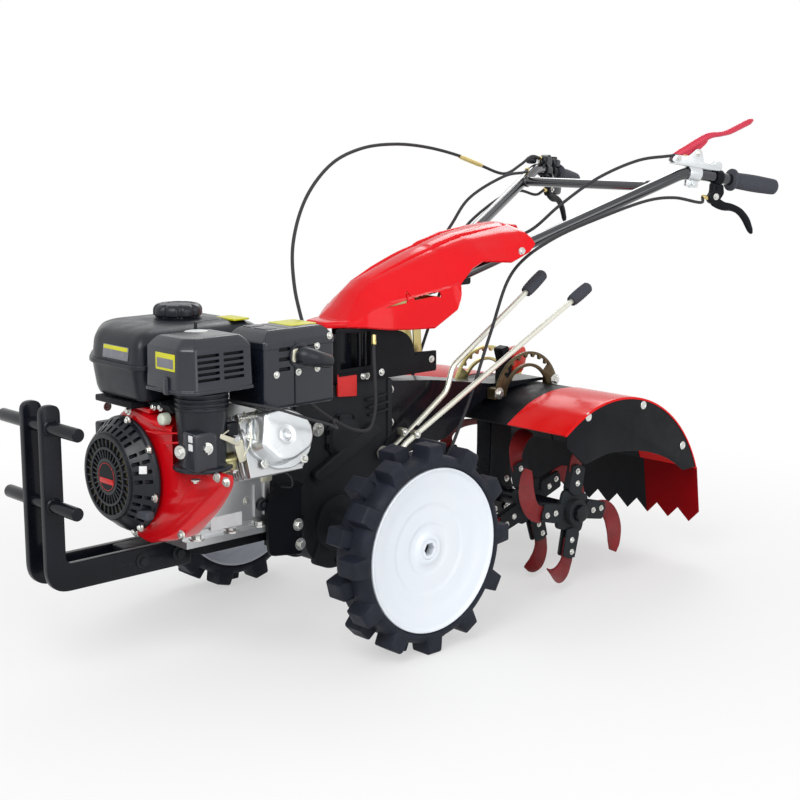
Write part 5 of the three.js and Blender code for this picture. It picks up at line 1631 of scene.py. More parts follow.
@dataclass
class Cowl(Part):
    """The red fan cowl and the black recoil starter on its front."""

    rear: float = 400.3
    front: float = 455.0
    scroll: float = 104.0
    sweep: float = 44.0
    slots: int = 30
    outline_corners: tuple[Point, ...] = ((20, 252, 6), (58, 246, 10), (140, 268, 16), (226, 342, 30),
        (254, 382, 8), (254, 400, 6), (212, 400, 6), (206, 452, 10), (80, 486, 10), (40, 494, 8),
        (4, 497, 6))
    bolts_at: tuple[Point, ...] = ((167, 479), (248, 389), (226, 394), (152, 280), (20, 262), (12, 488))

    def swept(self, points: np.ndarray) -> np.ndarray:
        """Leans the front face back towards the cylinder.

        X falls by sweep * s^2 (3 - 2 s) of its share of the depth. Here s runs from 0 at y 95 to 1 at
        y 256.

        Args:
            points: points about the machine's frame.

        Returns:
            The moved points.
        """
        out = np.array(points, float)
        s = np.clip((out[:, 1] - 95) / 161, 0, 1)
        depth = np.clip((out[:, 0] - self.rear) / (self.front - self.rear), 0, None)
        out[:, 0] -= self.sweep * s**2 * (3 - 2 * s) * depth
        return out

    def shell(self) -> Shape:
        """The cowl: a scroll round the crank and flat sides, cut back round the bowl.

        Returns:
            The closed cowl.
        """
        turn = np.radians(np.linspace(122, 246, 28))
        arc = np.stack([self.scroll * np.cos(turn), CRANK + self.scroll * np.sin(turn)], -1)
        loop = outline([tuple(p) for p in arc.tolist()] + list(self.outline_corners), 5)
        body = slab(loop, self.rear, self.front, X, 11.0, 1.0, steps=6)
        room = lathe([(TIP, 0), (54.5, 0), (54.5, 200), (TIP, 200)], Z, (405, 170, 399), 48)
        return carve(Shape(self.swept(body.points), body.faces), room)

    def guard(self) -> Shape:
        """The recoil starter's cover: a turned profile with a cone, a step and a recessed face.

        Returns:
            The closed cover, with slots cut in its cone.
        """
        f = self.front
        profile = rounded([(TIP, f - 1), (108, f - 1), (108, f + 3, 1), (105, f + 5, 2), (103, f + 12, 3),
            (96, f + 20, 6), (83, f + 38, 5), (80, f + 41, 2), (78, f + 43, 2), (73, f + 43, 1),
            (73, f + 36, 1), (TIP, f + 36)], 3)
        body = lathe(profile, X, (0, 0, CRANK), 120)
        tools = []
        for start, stop, count in ((88, 130, 5), (40, 76, 5), (-6, 26, 4), (146, 178, 4), (196, 228, 4)):
            for angle in np.linspace(start, stop, count):
                for reach in (87, 98.5):
                    bar = block((f + 8, -3.6, reach - 4.6), (f + 70, 3.6, reach + 4.6), 0.6, X, 1.6)
                    tools.append(bar.turned(X, 90 - angle).moved(z=CRANK))
        return carve(body, *tools)

    def face(self) -> Shape:
        """The starter's face: two rings of radial ribs round a plain boss.

        Returns:
            The ribs and the boss.
        """
        f = self.front + 36
        parts = []
        for k in range(self.slots):
            for low, high, shift in ((33, 51, 0.0), (55, 74, 0.5)):
                rib = block((f - 2, low, -1.5), (f + 6.5, high, 1.5), 1.0, X, 0.8)
                parts.append(rib.turned(X, 360 / self.slots * (k + shift)).moved(z=CRANK))
        for r, w in ((31, 3.4), (52.5, 2.6), (73, 2.4)):
            loop = [(r - w, f - 2), (r - w, f + 7.5, 1.5), (r + w, f + 7.5, 1.5), (r + w, f - 2)]
            parts.append(lathe(loop, X, (0, 0, CRANK), 72, closed=True, steps=3))
        return together(*parts)

    def build(self) -> None:
        """Makes the cowl and the starter."""
        f = self.front
        self.piece("fan_cowl", self.shell(), COWL_RED, 30, "fan_housing")
        bead = rod(self.swept(bent_path([(f + 0.5, 70, 459), (f + 0.5, 100, 459), (f + 0.5, 178, 468)], 8)),
            1.8, 10)
        rib = rod(self.swept(np.array([(f + 0.2, 119, 443), (f + 0.2, 137, 446), (f + 0.2, 156, 449)])),
            2.0, 10)
        self.piece("cowl_step_lines", [bead, rib], COWL_RED, 60)
        spots = self.swept(np.array([(f - 0.2, y, z) for y, z in self.bolts_at], float))
        self.piece("cowl_bolts", bolts(spots, AHEAD, 9.5), BOLT_STEEL)
        top = block((self.rear + 6, 8, 494), (f - 4, 74, 503), 2.0, X, 3.0).turned(X, -4, (430, 8, 494))
        self.piece("cowl_top_lip", top, COWL_RED)
        self.piece("starter_guard", self.guard(), GUARD_PLASTIC, 34, "recoil_starter")
        self.piece("starter_face_ribs", self.face(), GUARD_PLASTIC, 40)
        screen = lathe([(TIP, f + 36), (73, f + 36), (73, f + 37), (TIP, f + 37)], X, (0, 0, CRANK), 72)
        self.piece("starter_screen", screen, SCREEN_BRONZE)
        self.piece("starter_boss",
            lathe([(TIP, f + 36), (30, f + 36), (30, f + 43, 2), (26, f + 44, 1), (TIP, f + 44)], X,
            (0, 0, CRANK), 64), BLACK_CAST, 40)
        line = lathe([(25, f + 43.4), (25, f + 44.3, 0.3), (26, f + 44.3, 0.3), (26, f + 43.4)], X,
            (0, 0, CRANK), 64, closed=True)
        bar = block((f + 43, -22, CRANK - 13), (f + 44.7, 22, CRANK - 3), 0.4, X, 1.0)
        self.piece("starter_boss_ring", [line, bar], LABEL_RED)
        spots = [(f + 8, 105 * math.cos(a), CRANK + 105 * math.sin(a))
            for a in np.radians([34, 78, 150, 222, 300, 345])]
        self.piece("starter_bolts", bolts(spots, AHEAD, 9), BOLT_STEEL)
        self.piece("starter_blank_square",
            block((-3, -7, -7), (3, 7, 7), 0.4, X, 1.0).aimed((f + 24, 91, CRANK + 25),
            (f + 40, 110, CRANK + 30)), LABEL_WHITE)
        handle = block((f + 8, 62, CRANK - 68), (f + 26, 100, CRANK - 52), 4.0, X, 5.0)
        self.piece("starter_pull_grip", handle, GRIP_RUBBER, 50)


@dataclass
class EngineBlock(Part):
    """The crankcase, the inclined cylinder, its cover, the carburettor and the foot."""

    tilt: float = 18.0
    cover_x: float = 274.0

    def on_cylinder(self, shape: Shape) -> Shape:
        """Tilts a shape built along +Y from the crank up by the cylinder's angle."""
        return shape.turned(X, self.tilt).moved(z=CRANK)

    def dome(self, loop: Loop) -> Shape:
        """The pressed cover: steep sides, then a face that closes on a swirl.

        On the face each loop is mixed with the swirl's centre by a share t. The level rises by
        1.5 sin(t pi / 2), dips by 5 exp(-(r / 15)^4) round the centre and rises again in a ring by
        4 exp(-((r - 9) / 2.6)^2).

        Args:
            loop: the cover's outline, (x, z) pairs.

        Returns:
            The closed cover.
        """
        sides = rounded([(216, -2), (218, -1, 1), (244, 2, 3), (249, 6.5, 2)], 3)
        rows = [upright(inset(loop, by), level, Y) for level, by in sides]
        edge, middle = inset(loop, 7.0), np.array([self.cover_x - 6, 5.0])
        for t in np.concatenate([np.linspace(0.03, 0.5, 5), np.linspace(0.56, 0.995, 18)]):
            spots = edge * (1 - t) + middle * t
            away = np.linalg.norm(spots - middle, axis=1)
            level = 249.4 + 1.5 * np.sin(t * np.pi / 2) - 5 * np.exp(-((away / 15) ** 4))
            rows.append(upright(spots, level + 4 * np.exp(-(((away - 9) / 2.6) ** 2)), Y))
        return skin(np.stack(rows))

    def cover(self) -> None:
        """The bright valve cover on its thick flange."""
        x = self.cover_x
        wide = outline([(318, 42, 14), (329, 2, 20), (322, -18, 12), (280, -52, 16), (236, -55, 16),
            (196, -33, 14), (184, -6, 14), (195, 40, 18), (236, 60, 16), (288, 59, 14)], 5)
        self.piece("valve_cover_flange", self.on_cylinder(slab(wide, 208, 216, Y, 1.6)), PRESSED_STEEL, 36,
            "valve_cover")
        raised = outline([(305, 54, 10), (314, 20, 14), (325, -8, 9), (293, -43, 12), (258, -44, 12),
            (212, -26, 12), (200, -2, 10), (205, 28, 12), (224, 44, 10), (256, 59, 12)], 4)
        self.piece("valve_cover_dome", self.on_cylinder(self.dome(raised)), PRESSED_STEEL, 50)
        rim = cutout([(x - 66, -56, 8), (x + 50, -56, 8), (x + 54, 50, 8), (x - 66, 50, 8)], 198, 207.5, Y,
            1.4, turns=4)
        self.piece("head_gasket_face", self.on_cylinder(rim), CAST_ALLOY)
        screws = bolts([(190, 215, 14), (323, 215, 14), (302, 215, -38), (212, 215, -42)], LEFT, 9)
        self.piece("valve_cover_screws", self.on_cylinder(screws), BOLT_STEEL)

    def head_fins(self) -> None:
        """Extra thin fins round the cylinder and the head, between those of the casting."""
        low, high = self.cover_x - 63, self.cover_x + 63
        loop = outline([(low, -56, 8), (high, -56, 8), (high, 56, 8), (low, 56, 8)], 3)
        fins = [slab(loop, reach, reach + 2.2, Y, 0.8, steps=2) for reach in range(104, 200, 8)]
        self.piece("cylinder_fins", self.on_cylinder(together(*fins)), CAST_ALLOY)

    def carburettor(self) -> None:
        """The carburettor with its float bowl, choke lever, linkage and the governor's rods."""
        body = together(block((346, 156, 424), (403, 194, 462), 4.0, X, 8.0),
            lathe([(TIP, 330), (24, 330), (24, 336, 2), (17, 338, 2), (17, 404, 1), (TIP, 404)], X,
            (0, 176, 442), 32), lathe([(TIP, 0), (7, 0), (7, 6, 1), (5, 8), (5, 24), (TIP, 24)], Y,
            (362, 190, 452), 20), lathe([(TIP, 0), (5, 0), (5, 16, 1), (TIP, 16)], Y, (386, 190, 436), 16))
        self.piece("carburettor_casting", body, CAST_ALLOY, 40, "carburettor")
        bowl = lathe([(TIP, 388), (9, 388, 1), (9, 391, 1), (23, 392, 5), (27, 398, 4), (27, 412, 2),
            (29, 413, 1), (29, 417, 1), (TIP, 417)], Z, (370, 178, 0), 48, steps=3)
        nut = skin(np.stack([upright(ring(s, 6, (370, 178)), z, Z)
            for z, s in ((379, 5.5), (381, 6.5), (389, 6.5))]))
        self.piece("float_bowl", [bowl, nut], BRASS_BOWL, 40)
        lever = cutout([(350, 448, 4), (396, 468, 5), (400, 460, 4), (356, 438, 4)], 210, 213, Y, 1.0)
        plate = cutout([(336, 410, 5), (352, 406, 5), (364, 440, 6), (346, 452, 6)], 206, 209, Y, 1.0)
        self.piece("choke_levers", [lever, plate], ZINC)
        self.piece("choke_knob", block((352, 196, 458), (380, 212, 484), 5.0, Y, 9.0), BLACK_GLOSS, 50)
        rods = together(rod(smooth_path([(392, 212, 464), (350, 206, 480), (300, 190, 492),
            (250, 160, 496)], 8), 1.6, 8),
            rod(smooth_path([(344, 208, 416), (330, 210, 440), (322, 200, 470), (320, 180, 492)], 8), 1.4,
            8))
        self.piece("governor_rods", rods, ZINC)
        spring_turn = np.linspace(0, 2 * np.pi * 12, 160)
        coil = np.stack([348 - 40 * spring_turn / spring_turn[-1], 203 + 3.2 * np.cos(spring_turn),
            486 + 3.2 * np.sin(spring_turn)], -1)
        self.piece("governor_spring", rod(coil, 0.7, 6, AHEAD), BOLT_STEEL, 60)

    def crankcase(self) -> None:
        """The crankcase's ribs, blank plate, filler plug and bolts, over its softened casting."""
        self.softened("crankcase", CAST_ALLOY, 3.0)
        self.softened("cylinder_head", CAST_ALLOY, 1.0)
        half = [(96, 250, 14), (97, 300, 6), (97, 430, 12), (60, 474, 12)]
        edge = cutout(half + [(-y, z, r) for y, z, r in half[::-1]], 299, 309, X, 2.0)
        self.piece("crankcase_joint", edge, CAST_ALLOY)
        self.piece("crankcase_side_panel",
            cutout([(200, 262, 10), (392, 262, 10), (392, 330, 16), (330, 400, 14), (200, 400, 10)], 88,
            97.5, Y, 3.0), CAST_ALLOY)
        ribs = [block((x, 90, 266), (x + 6, 101, 330), 1.6, Y, 2.0) for x in (212, 236, 376)]
        self.piece("crankcase_ribs", ribs, CAST_ALLOY)
        plate = block((268, 96.5, 256), (340, 98.4, 282), 0.4, Y, 2.0)
        self.piece("crankcase_blank_plate", plate, LABEL_WHITE)
        spots = [(x, 97, z)
            for x, z in ((384, 270), (384, 322), (342, 392), (262, 392), (206, 392), (206, 270),
            (256, 300))]
        self.piece("crankcase_bolts", bolts(spots, LEFT, 9), BOLT_STEEL)
        self.piece("oil_plug",
            disc_on((222, 97, 288), Y, [(TIP, -2), (13, -2), (13, 6, 2), (10, 8, 1), (6, 8), (6, 14, 2),
            (TIP, 14)], 28), GUARD_PLASTIC)
        feet = [(x, y, 247.3) for x in (228, 292, 372) for y in (99, -99)]
        self.piece("foot_bolts", bolts(feet, UP, 14), BOLT_STEEL)
        bracket = cutout([(232, 344, 4), (256, 344, 4), (262, 372, 6), (250, 392, 6), (228, 388, 6)], 140,
            146, Y, 1.5)
        self.piece("switch_bracket", [bracket, block((236, 98, 352), (246, 142, 360), 1.5)], ZINC)
        self.piece("oil_switch", block((222, 146, 362), (250, 162, 380), 2.0, Y, 3.0), ZINC)
        cap = disc_on((214, 158, 372), Y, [(TIP, 0), (5, 0), (5, 8, 2), (TIP, 9)], 20)
        self.piece("oil_switch_cap", cap, LABEL_RED)
        wire = rod(smooth_path([(236, 162, 372), (214, 176, 356), (196, 160, 330), (190, 120, 320)], 8),
            1.6, 8)
        self.piece("oil_switch_wire", wire, CABLE_SHEATH, 60)

    def far_side(self) -> None:
        """The right side: a ribbed cover, the filler and drain plugs, and the switch box with its lead."""
        cover = cutout([(204, 262, 10), (294, 262, 10), (294, 396, 16), (262, 422, 14), (204, 422, 12)],
            -98.5, -86, Y, 3.0)
        window = cutout([(222, 312, 8), (278, 312, 8), (278, 388, 10), (258, 402, 8), (222, 402, 8)],
            -100.5, -90, Y, 2.0)
        ribs = [block((314, -99, z), (394, -86, z + 5), 1.6, Y, 2.0) for z in range(276, 420, 24)]
        posts = [block((x, -100, 262), (x + 7, -86, 424), 1.6, Y, 2.0) for x in (312, 386)]
        self.piece("far_cover", [cover, window], CAST_ALLOY)
        self.piece("far_cover_ribs", [*ribs, *posts], CAST_ALLOY)
        spots = [(x, -98, z)
            for x, z in ((212, 270), (286, 270), (212, 346), (288, 346), (212, 414), (256, 414),
            (286, 392))]
        self.piece("far_cover_bolts", bolts(spots, RIGHT, 9), BOLT_STEEL)
        neck = [(TIP, -4), (15, -4), (15, 2, 1), (13, 3), (13, 10, 2), (10, 12, 1), (6, 12), (6, 18, 2),
            (TIP, 18)]
        self.piece("far_oil_filler", disc_on((242, -97, 288), Y, neck, 28, -1.0), GUARD_PLASTIC)
        drain = together(disc_on((350, -97, 262), Y, [(0, -3), (11, -3), (11, 3), (10, 4), (0, 4)], 24,
            -1.0), bolts([(350, -100, 262)], RIGHT, 12))
        self.piece("far_drain_plug", drain, BOLT_STEEL)
        self.piece("stop_box", block((408, -121, 402), (446, -100, 448), 2.5, Y, 5.0), GUARD_PLASTIC)
        self.piece("stop_box_rocker", block((418, -125, 412), (436, -119, 438), 1.2, Y, 2.5), LABEL_RED)
        lead = rod(smooth_path([(412, -112, 406), (402, -108, 384), (398, -104, 340), (396, -103, 290),
            (380, -104, 256), (330, -106, 252), (262, -106, 252)], 10), 2.2, 10)
        self.piece("stop_box_lead", lead, CABLE_SHEATH, 60)
        side = [(428, -103.5, z) for z in (318, 376, 476)]
        self.piece("cowl_side_bolts", bolts(side, RIGHT, 9), BOLT_STEEL)

    def build(self) -> None:
        """Makes the engine's metal parts."""
        self.cover()
        self.head_fins()
        self.carburettor()
        self.crankcase()
        self.far_side()
        plate = cutout([(300, 500, 4), (480, 500, 4), (480, 512, 3), (300, 512, 3)], -60, 60, Y, 1.0)
        self.piece("tank_bracket", plate, BLACK_POWDER)
        control = cutout([(440, 496, 6), (340, 496, 6), (330, 512, 4), (450, 512, 4)], 64, 132, Y, 1.0)
        self.piece("control_plate", control, BLACK_CAST)
        self.piece("control_screws", bolts([(444, 78, 503), (444, 100, 505)], AHEAD, 8), BOLT_STEEL)
        bulb = disc_on((452, 118, 487), X, [(TIP, -10), (11, -10), (11, 6, 5), (TIP, 9)], 28)
        self.piece("fuel_strainer", bulb, STRAINER)


# ---------------------------------------------------------------- frame, gear case and console
@dataclass
class WeightHanger(Part):
    """The two bent front bars, their pegs and the engine bed."""

    y: float = 31.3
    thickness: float = 14.0
    front: float = 648.0
    width: float = 38.0
    low: float = 184.0
    bar: float = 50.0
    top: float = 523.0
    rear: float = 345.0
    bend: float = 46.0
    pegs: tuple[tuple[str, float, float], ...] = (("upper", 484.0, 130.0), ("lower", 344.0, 118.0))

    def build(self) -> None:
        """Makes the hanger."""
        inner, cap = self.front - self.width, self.width / 2 - 0.8
        loop = outline([(self.rear, self.low, 2), (self.front, self.low, self.bend),
            (self.front, self.top, cap), (inner, self.top, cap), (inner, self.low + self.bar, 16),
            (self.rear, self.low + self.bar, 2)], 10)
        for name, sign in SIDES:
            bar = slab(loop, sign * self.y - self.thickness / 2, sign * self.y + self.thickness / 2, Y, 1.6)
            self.piece(f"front_bar_{name}", bar, BLACK_GLOSS, 30, f"front_rail_{name}")
        for name, z, reach in self.pegs:
            peg = lathe([(TIP, -reach), (12, -reach, 1.6), (12, reach, 1.6), (TIP, reach)], Y, (630, 0, z),
                32, steps=3)
            collars = []
            for _, sign in SIDES:
                y = sign * (self.y + self.thickness / 2)
                weld = [(11, -2 * sign), (16, -sign, 2), (13.5, 3 * sign, 2), (11, 4 * sign)]
                collars.append(lathe(weld, Y, (630, y, z), 32, closed=True, steps=3))
            self.piece(f"peg_{name}", [peg, *collars], BLACK_GLOSS, 32, f"weight_peg_{name}")
        bed = outline([(130, -74, 6), (345, -74, 20), (365, -24, 8), (480, -24, 8), (480, 24, 8),
            (365, 24, 8), (345, 74, 20), (130, 74, 6)], 4)
        self.piece("engine_bed_plate", slab(bed, 206, 233.8, Z, 2.0), BLACK_POWDER, 32, "engine_bed")
        y = self.y + self.thickness / 2 - 0.2
        heads = [bolts([(x, s * y, 209) for x in (372, 452)], (0, s, 0), 15) for s in (1, -1)]
        self.piece("front_bar_bolts", heads, BLACK_CAST)


@dataclass
class GearCase(Part):
    """The cast gear case with the clutch housing, its covers, ribs and bolts."""

    half: float = 55.0

    def build(self) -> None:
        """Makes the castings and what is bolted to them."""
        self.softened("gearbox", BLACK_CAST, 4.0)
        self.softened("clutch_housing", BLACK_CAST, 3.0)
        self.softened("side_bracket", BLACK_POWDER, 1.2)
        h = self.half
        for name, sign in SIDES:
            cover = disc_on((-19, sign * h, 380), Y,
                [(TIP, -2), (46, -2), (46, 5, 2), (40, 8, 3), (36, 14, 3), (20, 17, 4), (TIP, 18)], 56,
                sign)
            bar = cutout([(56, 296, 10), (70, 316, 10), (-96, 402, 12), (-116, 378, 12)], h - 2, h + 17, Y,
                4.0, turns=5)
            joint = cutout([(84, 180, 3), (104, 262, 10), (104, 461, 14), (40, 490, 5), (30, 478, 4),
                (90, 452, 5), (92, 262, 8), (74, 186, 3)], h - 6, h + 4, Y, 1.5, turns=5)
            ribs = [cutout([(x, z, 2), (x - 54, z + 6, 2), (x - 54, z + 11, 2), (x, z + 5, 2)], h - 3,
                h + 9, Y, 1.5) for x, z in ((-86, 412), (-84, 428), (-80, 444))]
            foot = cutout([(-64, 128, 10), (-22, 110, 12), (22, 110, 12), (64, 128, 10), (40, 190, 8),
                (-40, 190, 8)], h - 8, h + 6, Y, 3.0)
            turn = np.radians(np.linspace(20, 340, 7))
            ring_spots = [(-19 + 41 * math.cos(a), sign * (h + 5), 380 + 41 * math.sin(a)) for a in turn]
            edge_spots = [(97, sign * (h + 4), z)
                for z in (230, 300, 370, 440)] + [(0, sign * (h + 6), 124)]
            details = together(bar, joint, *ribs, foot).on_side(sign)
            self.piece(f"case_cover_{name}", cover, BLACK_CAST, 40)
            self.piece(f"case_ribs_{name}", details, BLACK_CAST, 40)
            self.piece(f"case_bolts_{name}", bolts(ring_spots + edge_spots, (0, sign, 0), 9), BLACK_GLOSS)
            lip = [(15, -2 * sign), (30, -2 * sign), (30, 2 * sign, 1), (24, 3 * sign, 1), (15, 3 * sign)]
            seal = lathe(lip, Y, (0, sign * 150, 204.4), 40, closed=True)
            self.piece(f"axle_seal_{name}", seal, BLACK_GLOSS)
        big = together(bolts([(69, 84, 410)], LEFT, 15),
            bolts([(146, 114, 237), (141, 114, 197)], (0, 1, 0), 13))
        rest = disc_on((69, 55, 410), Y, [(TIP, 0), (12, 0), (12, 29, 2), (TIP, 29)], 28)
        self.piece("bracket_bolts", big, BOLT_STEEL)
        self.piece("stay_boss", rest, BLACK_CAST)
        rim = np.radians(np.linspace(0, 315, 8))
        spots = [(194.5, 86 * math.cos(a), CRANK + 86 * math.sin(a)) for a in rim]
        self.piece("housing_bolts", bolts(spots, AHEAD, 9), BOLT_STEEL)
        fins = [block((x, -40, 470), (x + 5, 40, 489), 1.5, Z) for x in range(-140, 30, 22)]
        self.piece("case_top_fins", fins, BLACK_CAST)


@dataclass
class Console(Part):
    """The sheet bracket between the gear case and the bonnet, and what stands in it."""

    front: float = 0.0
    rear: float = -277.0
    half: float = 62.0
    floor: float = 486.3
    sheet: float = 3.0

    def side(self) -> Shape:
        """One side sheet: a window ahead, a tall panel and a curved cut behind.

        Returns:
            The closed sheet at Y 0.
        """
        x0, x1, z0 = self.rear, self.front, self.floor
        turn = np.linspace(0, 1, 9)[1:-1]
        curve = [(-150 - 60 * math.sin(t * np.pi / 2), 540 + 44 * math.cos(t * np.pi / 2)) for t in turn]
        loop = outline([(x0, z0, 5), (x1, z0, 3), (x1, 598, 2), (-149, 592, 2), *curve, (-214, 532, 4),
            (x0, 529, 6)], 4)
        window = cutout([(-92, 517, 3), (-10, 517, 3), (-10, 590, 4), (-92, 588, 3)], -10, 10, Y, 0.0)
        return carve(slab(loop, 0, self.sheet, Y, 0.8), window)

    def build(self) -> None:
        """Makes the console."""
        x0, x1, z0, h = self.rear, self.front, self.floor, self.half
        left = self.side().moved(y=h - self.sheet)
        floor = block((x0 + 1, -h + 1, z0), (x1 - 1, h - 1, z0 + self.sheet), 0.8)
        front = block((x1 - 4, -h + 1, z0), (x1 - 1, h - 1, 580), 0.8, X, 3.0)
        wall = block((-102, -h + 1, z0), (-99, h - 1, 588), 0.8, X, 3.0)
        lips = [block((x0 + 2, s * (h - 2) - 4, 526), (-216, s * (h - 2) + 4, 529.4), 0.8) for s in (1, -1)]
        self.piece("console_sheet", [left, left.mirrored(), floor, front, wall, *lips], BLACK_POWDER, 30,
            "console_bracket")
        bars = [block((x - 3, h - 14, 489), (x + 3, h - 4, 588), 1.4) for x in (-82, -66)]
        inner = block((-62, h - 30, 500), (-8, h - 26, 586), 1.0, Y)
        self.piece("console_bars", [*bars, inner], BLACK_GLOSS)
        self.piece("console_bead", block((-96, h - 1, 503), (-3, h + 3, 508), 1.4, Y), BLACK_POWDER)
        plate = cutout([(-52, 459, 2), (-2, 463, 2), (-1, 508, 2), (-52, 503, 2)], h - 3, h + 1.4, Y, 0.6)
        self.piece("console_red_plate", plate, LABEL_RED)
        self.piece("console_screws", bolts([(-70, h, 498), (-80, h, 497), (-262, h, 512), (-120, h, 500)],
            LEFT, 8), BOLT_STEEL)
        post = cutout([(-170, 530, 4), (-262, 530, 4), (-246, 606, 8), (-340, 658, 6), (-340, 688, 6),
            (-170, 640, 10)], -8, 8, Y, 1.5, turns=5)
        foot = block((-272, -30, 489.7), (-180, 30, 494), 1.2)
        stay = [(-190, 494, 3), (-212, 494, 3), (-222, 600, 6), (-186, 600, 6)]
        rear_stay = [(-246, 494, 3), (-268, 494, 3), (-262, 606, 6), (-240, 606, 6)]
        stays = [cutout(loop, s - 2, s + 2, Y, 0.8) for loop in (stay, rear_stay) for s in (-26, 26)]
        strap = block((-256, -92, 632), (-240, 92, 648), 1.2, Y, 3.0)
        self.piece("column_plates", [post, foot, *stays, strap], YELLOW_ZINC, 36, "handlebar_column")
        vee = together(cutout([(-110, 550, 4), (-124, 550, 4), (-146, 600, 5), (-132, 604, 5)], 16, 19, Y,
            0.8), cutout([(-110, 550, 4), (-124, 550, 4), (-98, 604, 5), (-84, 600, 5)], 21, 24, Y, 0.8),
            block((-132, 8, 488), (-104, 34, 552), 2.0))
        self.piece("shift_gate", vee, YELLOW_ZINC, 36)
        self.piece("shift_gate_bolts", bolts([(-117, 24, 556), (-204, 28, 590), (-252, 28, 596)], LEFT, 11),
            BOLT_STEEL)
        gate_rod = rod([(-104, 40, 488), (-112, 36, 560), (-118, 30, 606)], 4.0, 12, LEFT)
        self.piece("gate_rod", gate_rod, BLACK_GLOSS)


@dataclass
class ShiftLevers(Part):
    """The two bright shift rods with ribbed knobs, on one cross shaft."""

    shaft: tuple[float, float] = (-122.0, 330.0)
    reach: float = 124.0
    radius: float = 6.0
    rods: tuple[tuple, ...] = (("travel", 70.0, ((-158, 345), (-300, 440), (-318, 492), (-545, 633)),
        (-603, 672)), ("rotary", 108.0, ((-140, 352), (-655, 607)), (-715, 637)))

    def knob(self, start: Point, end: Point) -> Shape:
        """A ribbed knob: a turned profile that dips between its ribs, with a round end.

        Args:
            start: where the rod goes in.
            end: the knob's tip.

        Returns:
            The closed knob.
        """
        length = float(np.linalg.norm(np.asarray(end, float) - np.asarray(start, float)))
        at = np.linspace(0, 1, 90)
        body = 13.2 - 1.4 * np.abs(2 * at - 0.9) ** 2
        ribs = 0.9 * (0.5 + 0.5 * np.cos(at * 2 * np.pi * 11)) ** 0.7 * (at > 0.08) * (at < 0.9)
        close = np.sqrt(np.clip(1 - np.clip((at - 0.9) / 0.1, 0, 1) ** 2, 0, 1))
        radius = np.clip((body + ribs) * close, TIP, 14.2)
        profile = [(TIP, 0), *zip(radius.tolist(), (at * length).tolist())]
        return lathe(profile, X, sides=36).aimed(start, end)

    def build(self) -> None:
        """Makes the shaft, the rods and the knobs."""
        x, z = self.shaft
        self.piece("lever_shaft", lathe([(TIP, 55.4), (10, 55.4), (10, self.reach, 1.5), (TIP, self.reach)],
            Y, (x, 0, z), 28), ZINC, 32, "shift_shaft")
        for name, y, bends, tip in self.rods:
            eye = lathe([(10.3, y - 7), (16, y - 7, 1.5), (16, y + 7, 1.5), (10.3, y + 7)], Y, (x, 0, z),
                32, closed=True)
            first = np.array([x, z]) + unit(np.array(bends[0], float) - (x, z)) * 13
            points = [(a, y, b) for a, b in [tuple(first), *bends, tip]]
            bar = rod(bent_path(points, 14), self.radius, 18, LEFT)
            self.piece(f"{name}_rod_cheek",
                cutout([(-134, 336, 6), (-128, 350, 6), (-186, 388, 6), (-194, 376, 6)], y - 9.5, y - 7, Y,
                0.8), BLACK_POWDER)
            self.piece(f"{name}_rod", [eye, bar], LEVER_BRIGHT, 40, f"{name}_shift_lever")
            start = (bends[-1][0], y, bends[-1][1])
            self.piece(f"{name}_knob", self.knob(start, (tip[0], y, tip[1])), GRIP_RUBBER, 60)
            clamp = block((-178, y - 10, 362), (-164, y + 9, 378), 3.0, Y, 4.0)
            self.piece(f"{name}_rod_clamp", clamp, ZINC)
            self.piece(f"{name}_rod_bolt", bolts([(-171, y + 8.8, 370)], LEFT, 8), BOLT_STEEL)


# ---------------------------------------------------------------- handlebar
def blade(spots: Sequence[Point], wide: Corners, tall: Corners, sides: int) -> Shape:
    """Sweeps an ellipse along a smooth path, as a cast lever has it.

    Args:
        spots: the points the path passes.
        wide: (share of the length, half width) pairs.
        tall: (share of the length, half height) pairs.
        sides: points round the ellipse.

    Returns:
        The closed lever.
    """
    path = smooth_path(spots, 7)
    share = np.linspace(0, 1, len(path))
    halves = np.stack([np.interp(share, *np.transpose(pairs)) for pairs in (wide, tall)], -1)
    return carried(path, ring(1.0, sides)[None] * halves[:, None], UP)


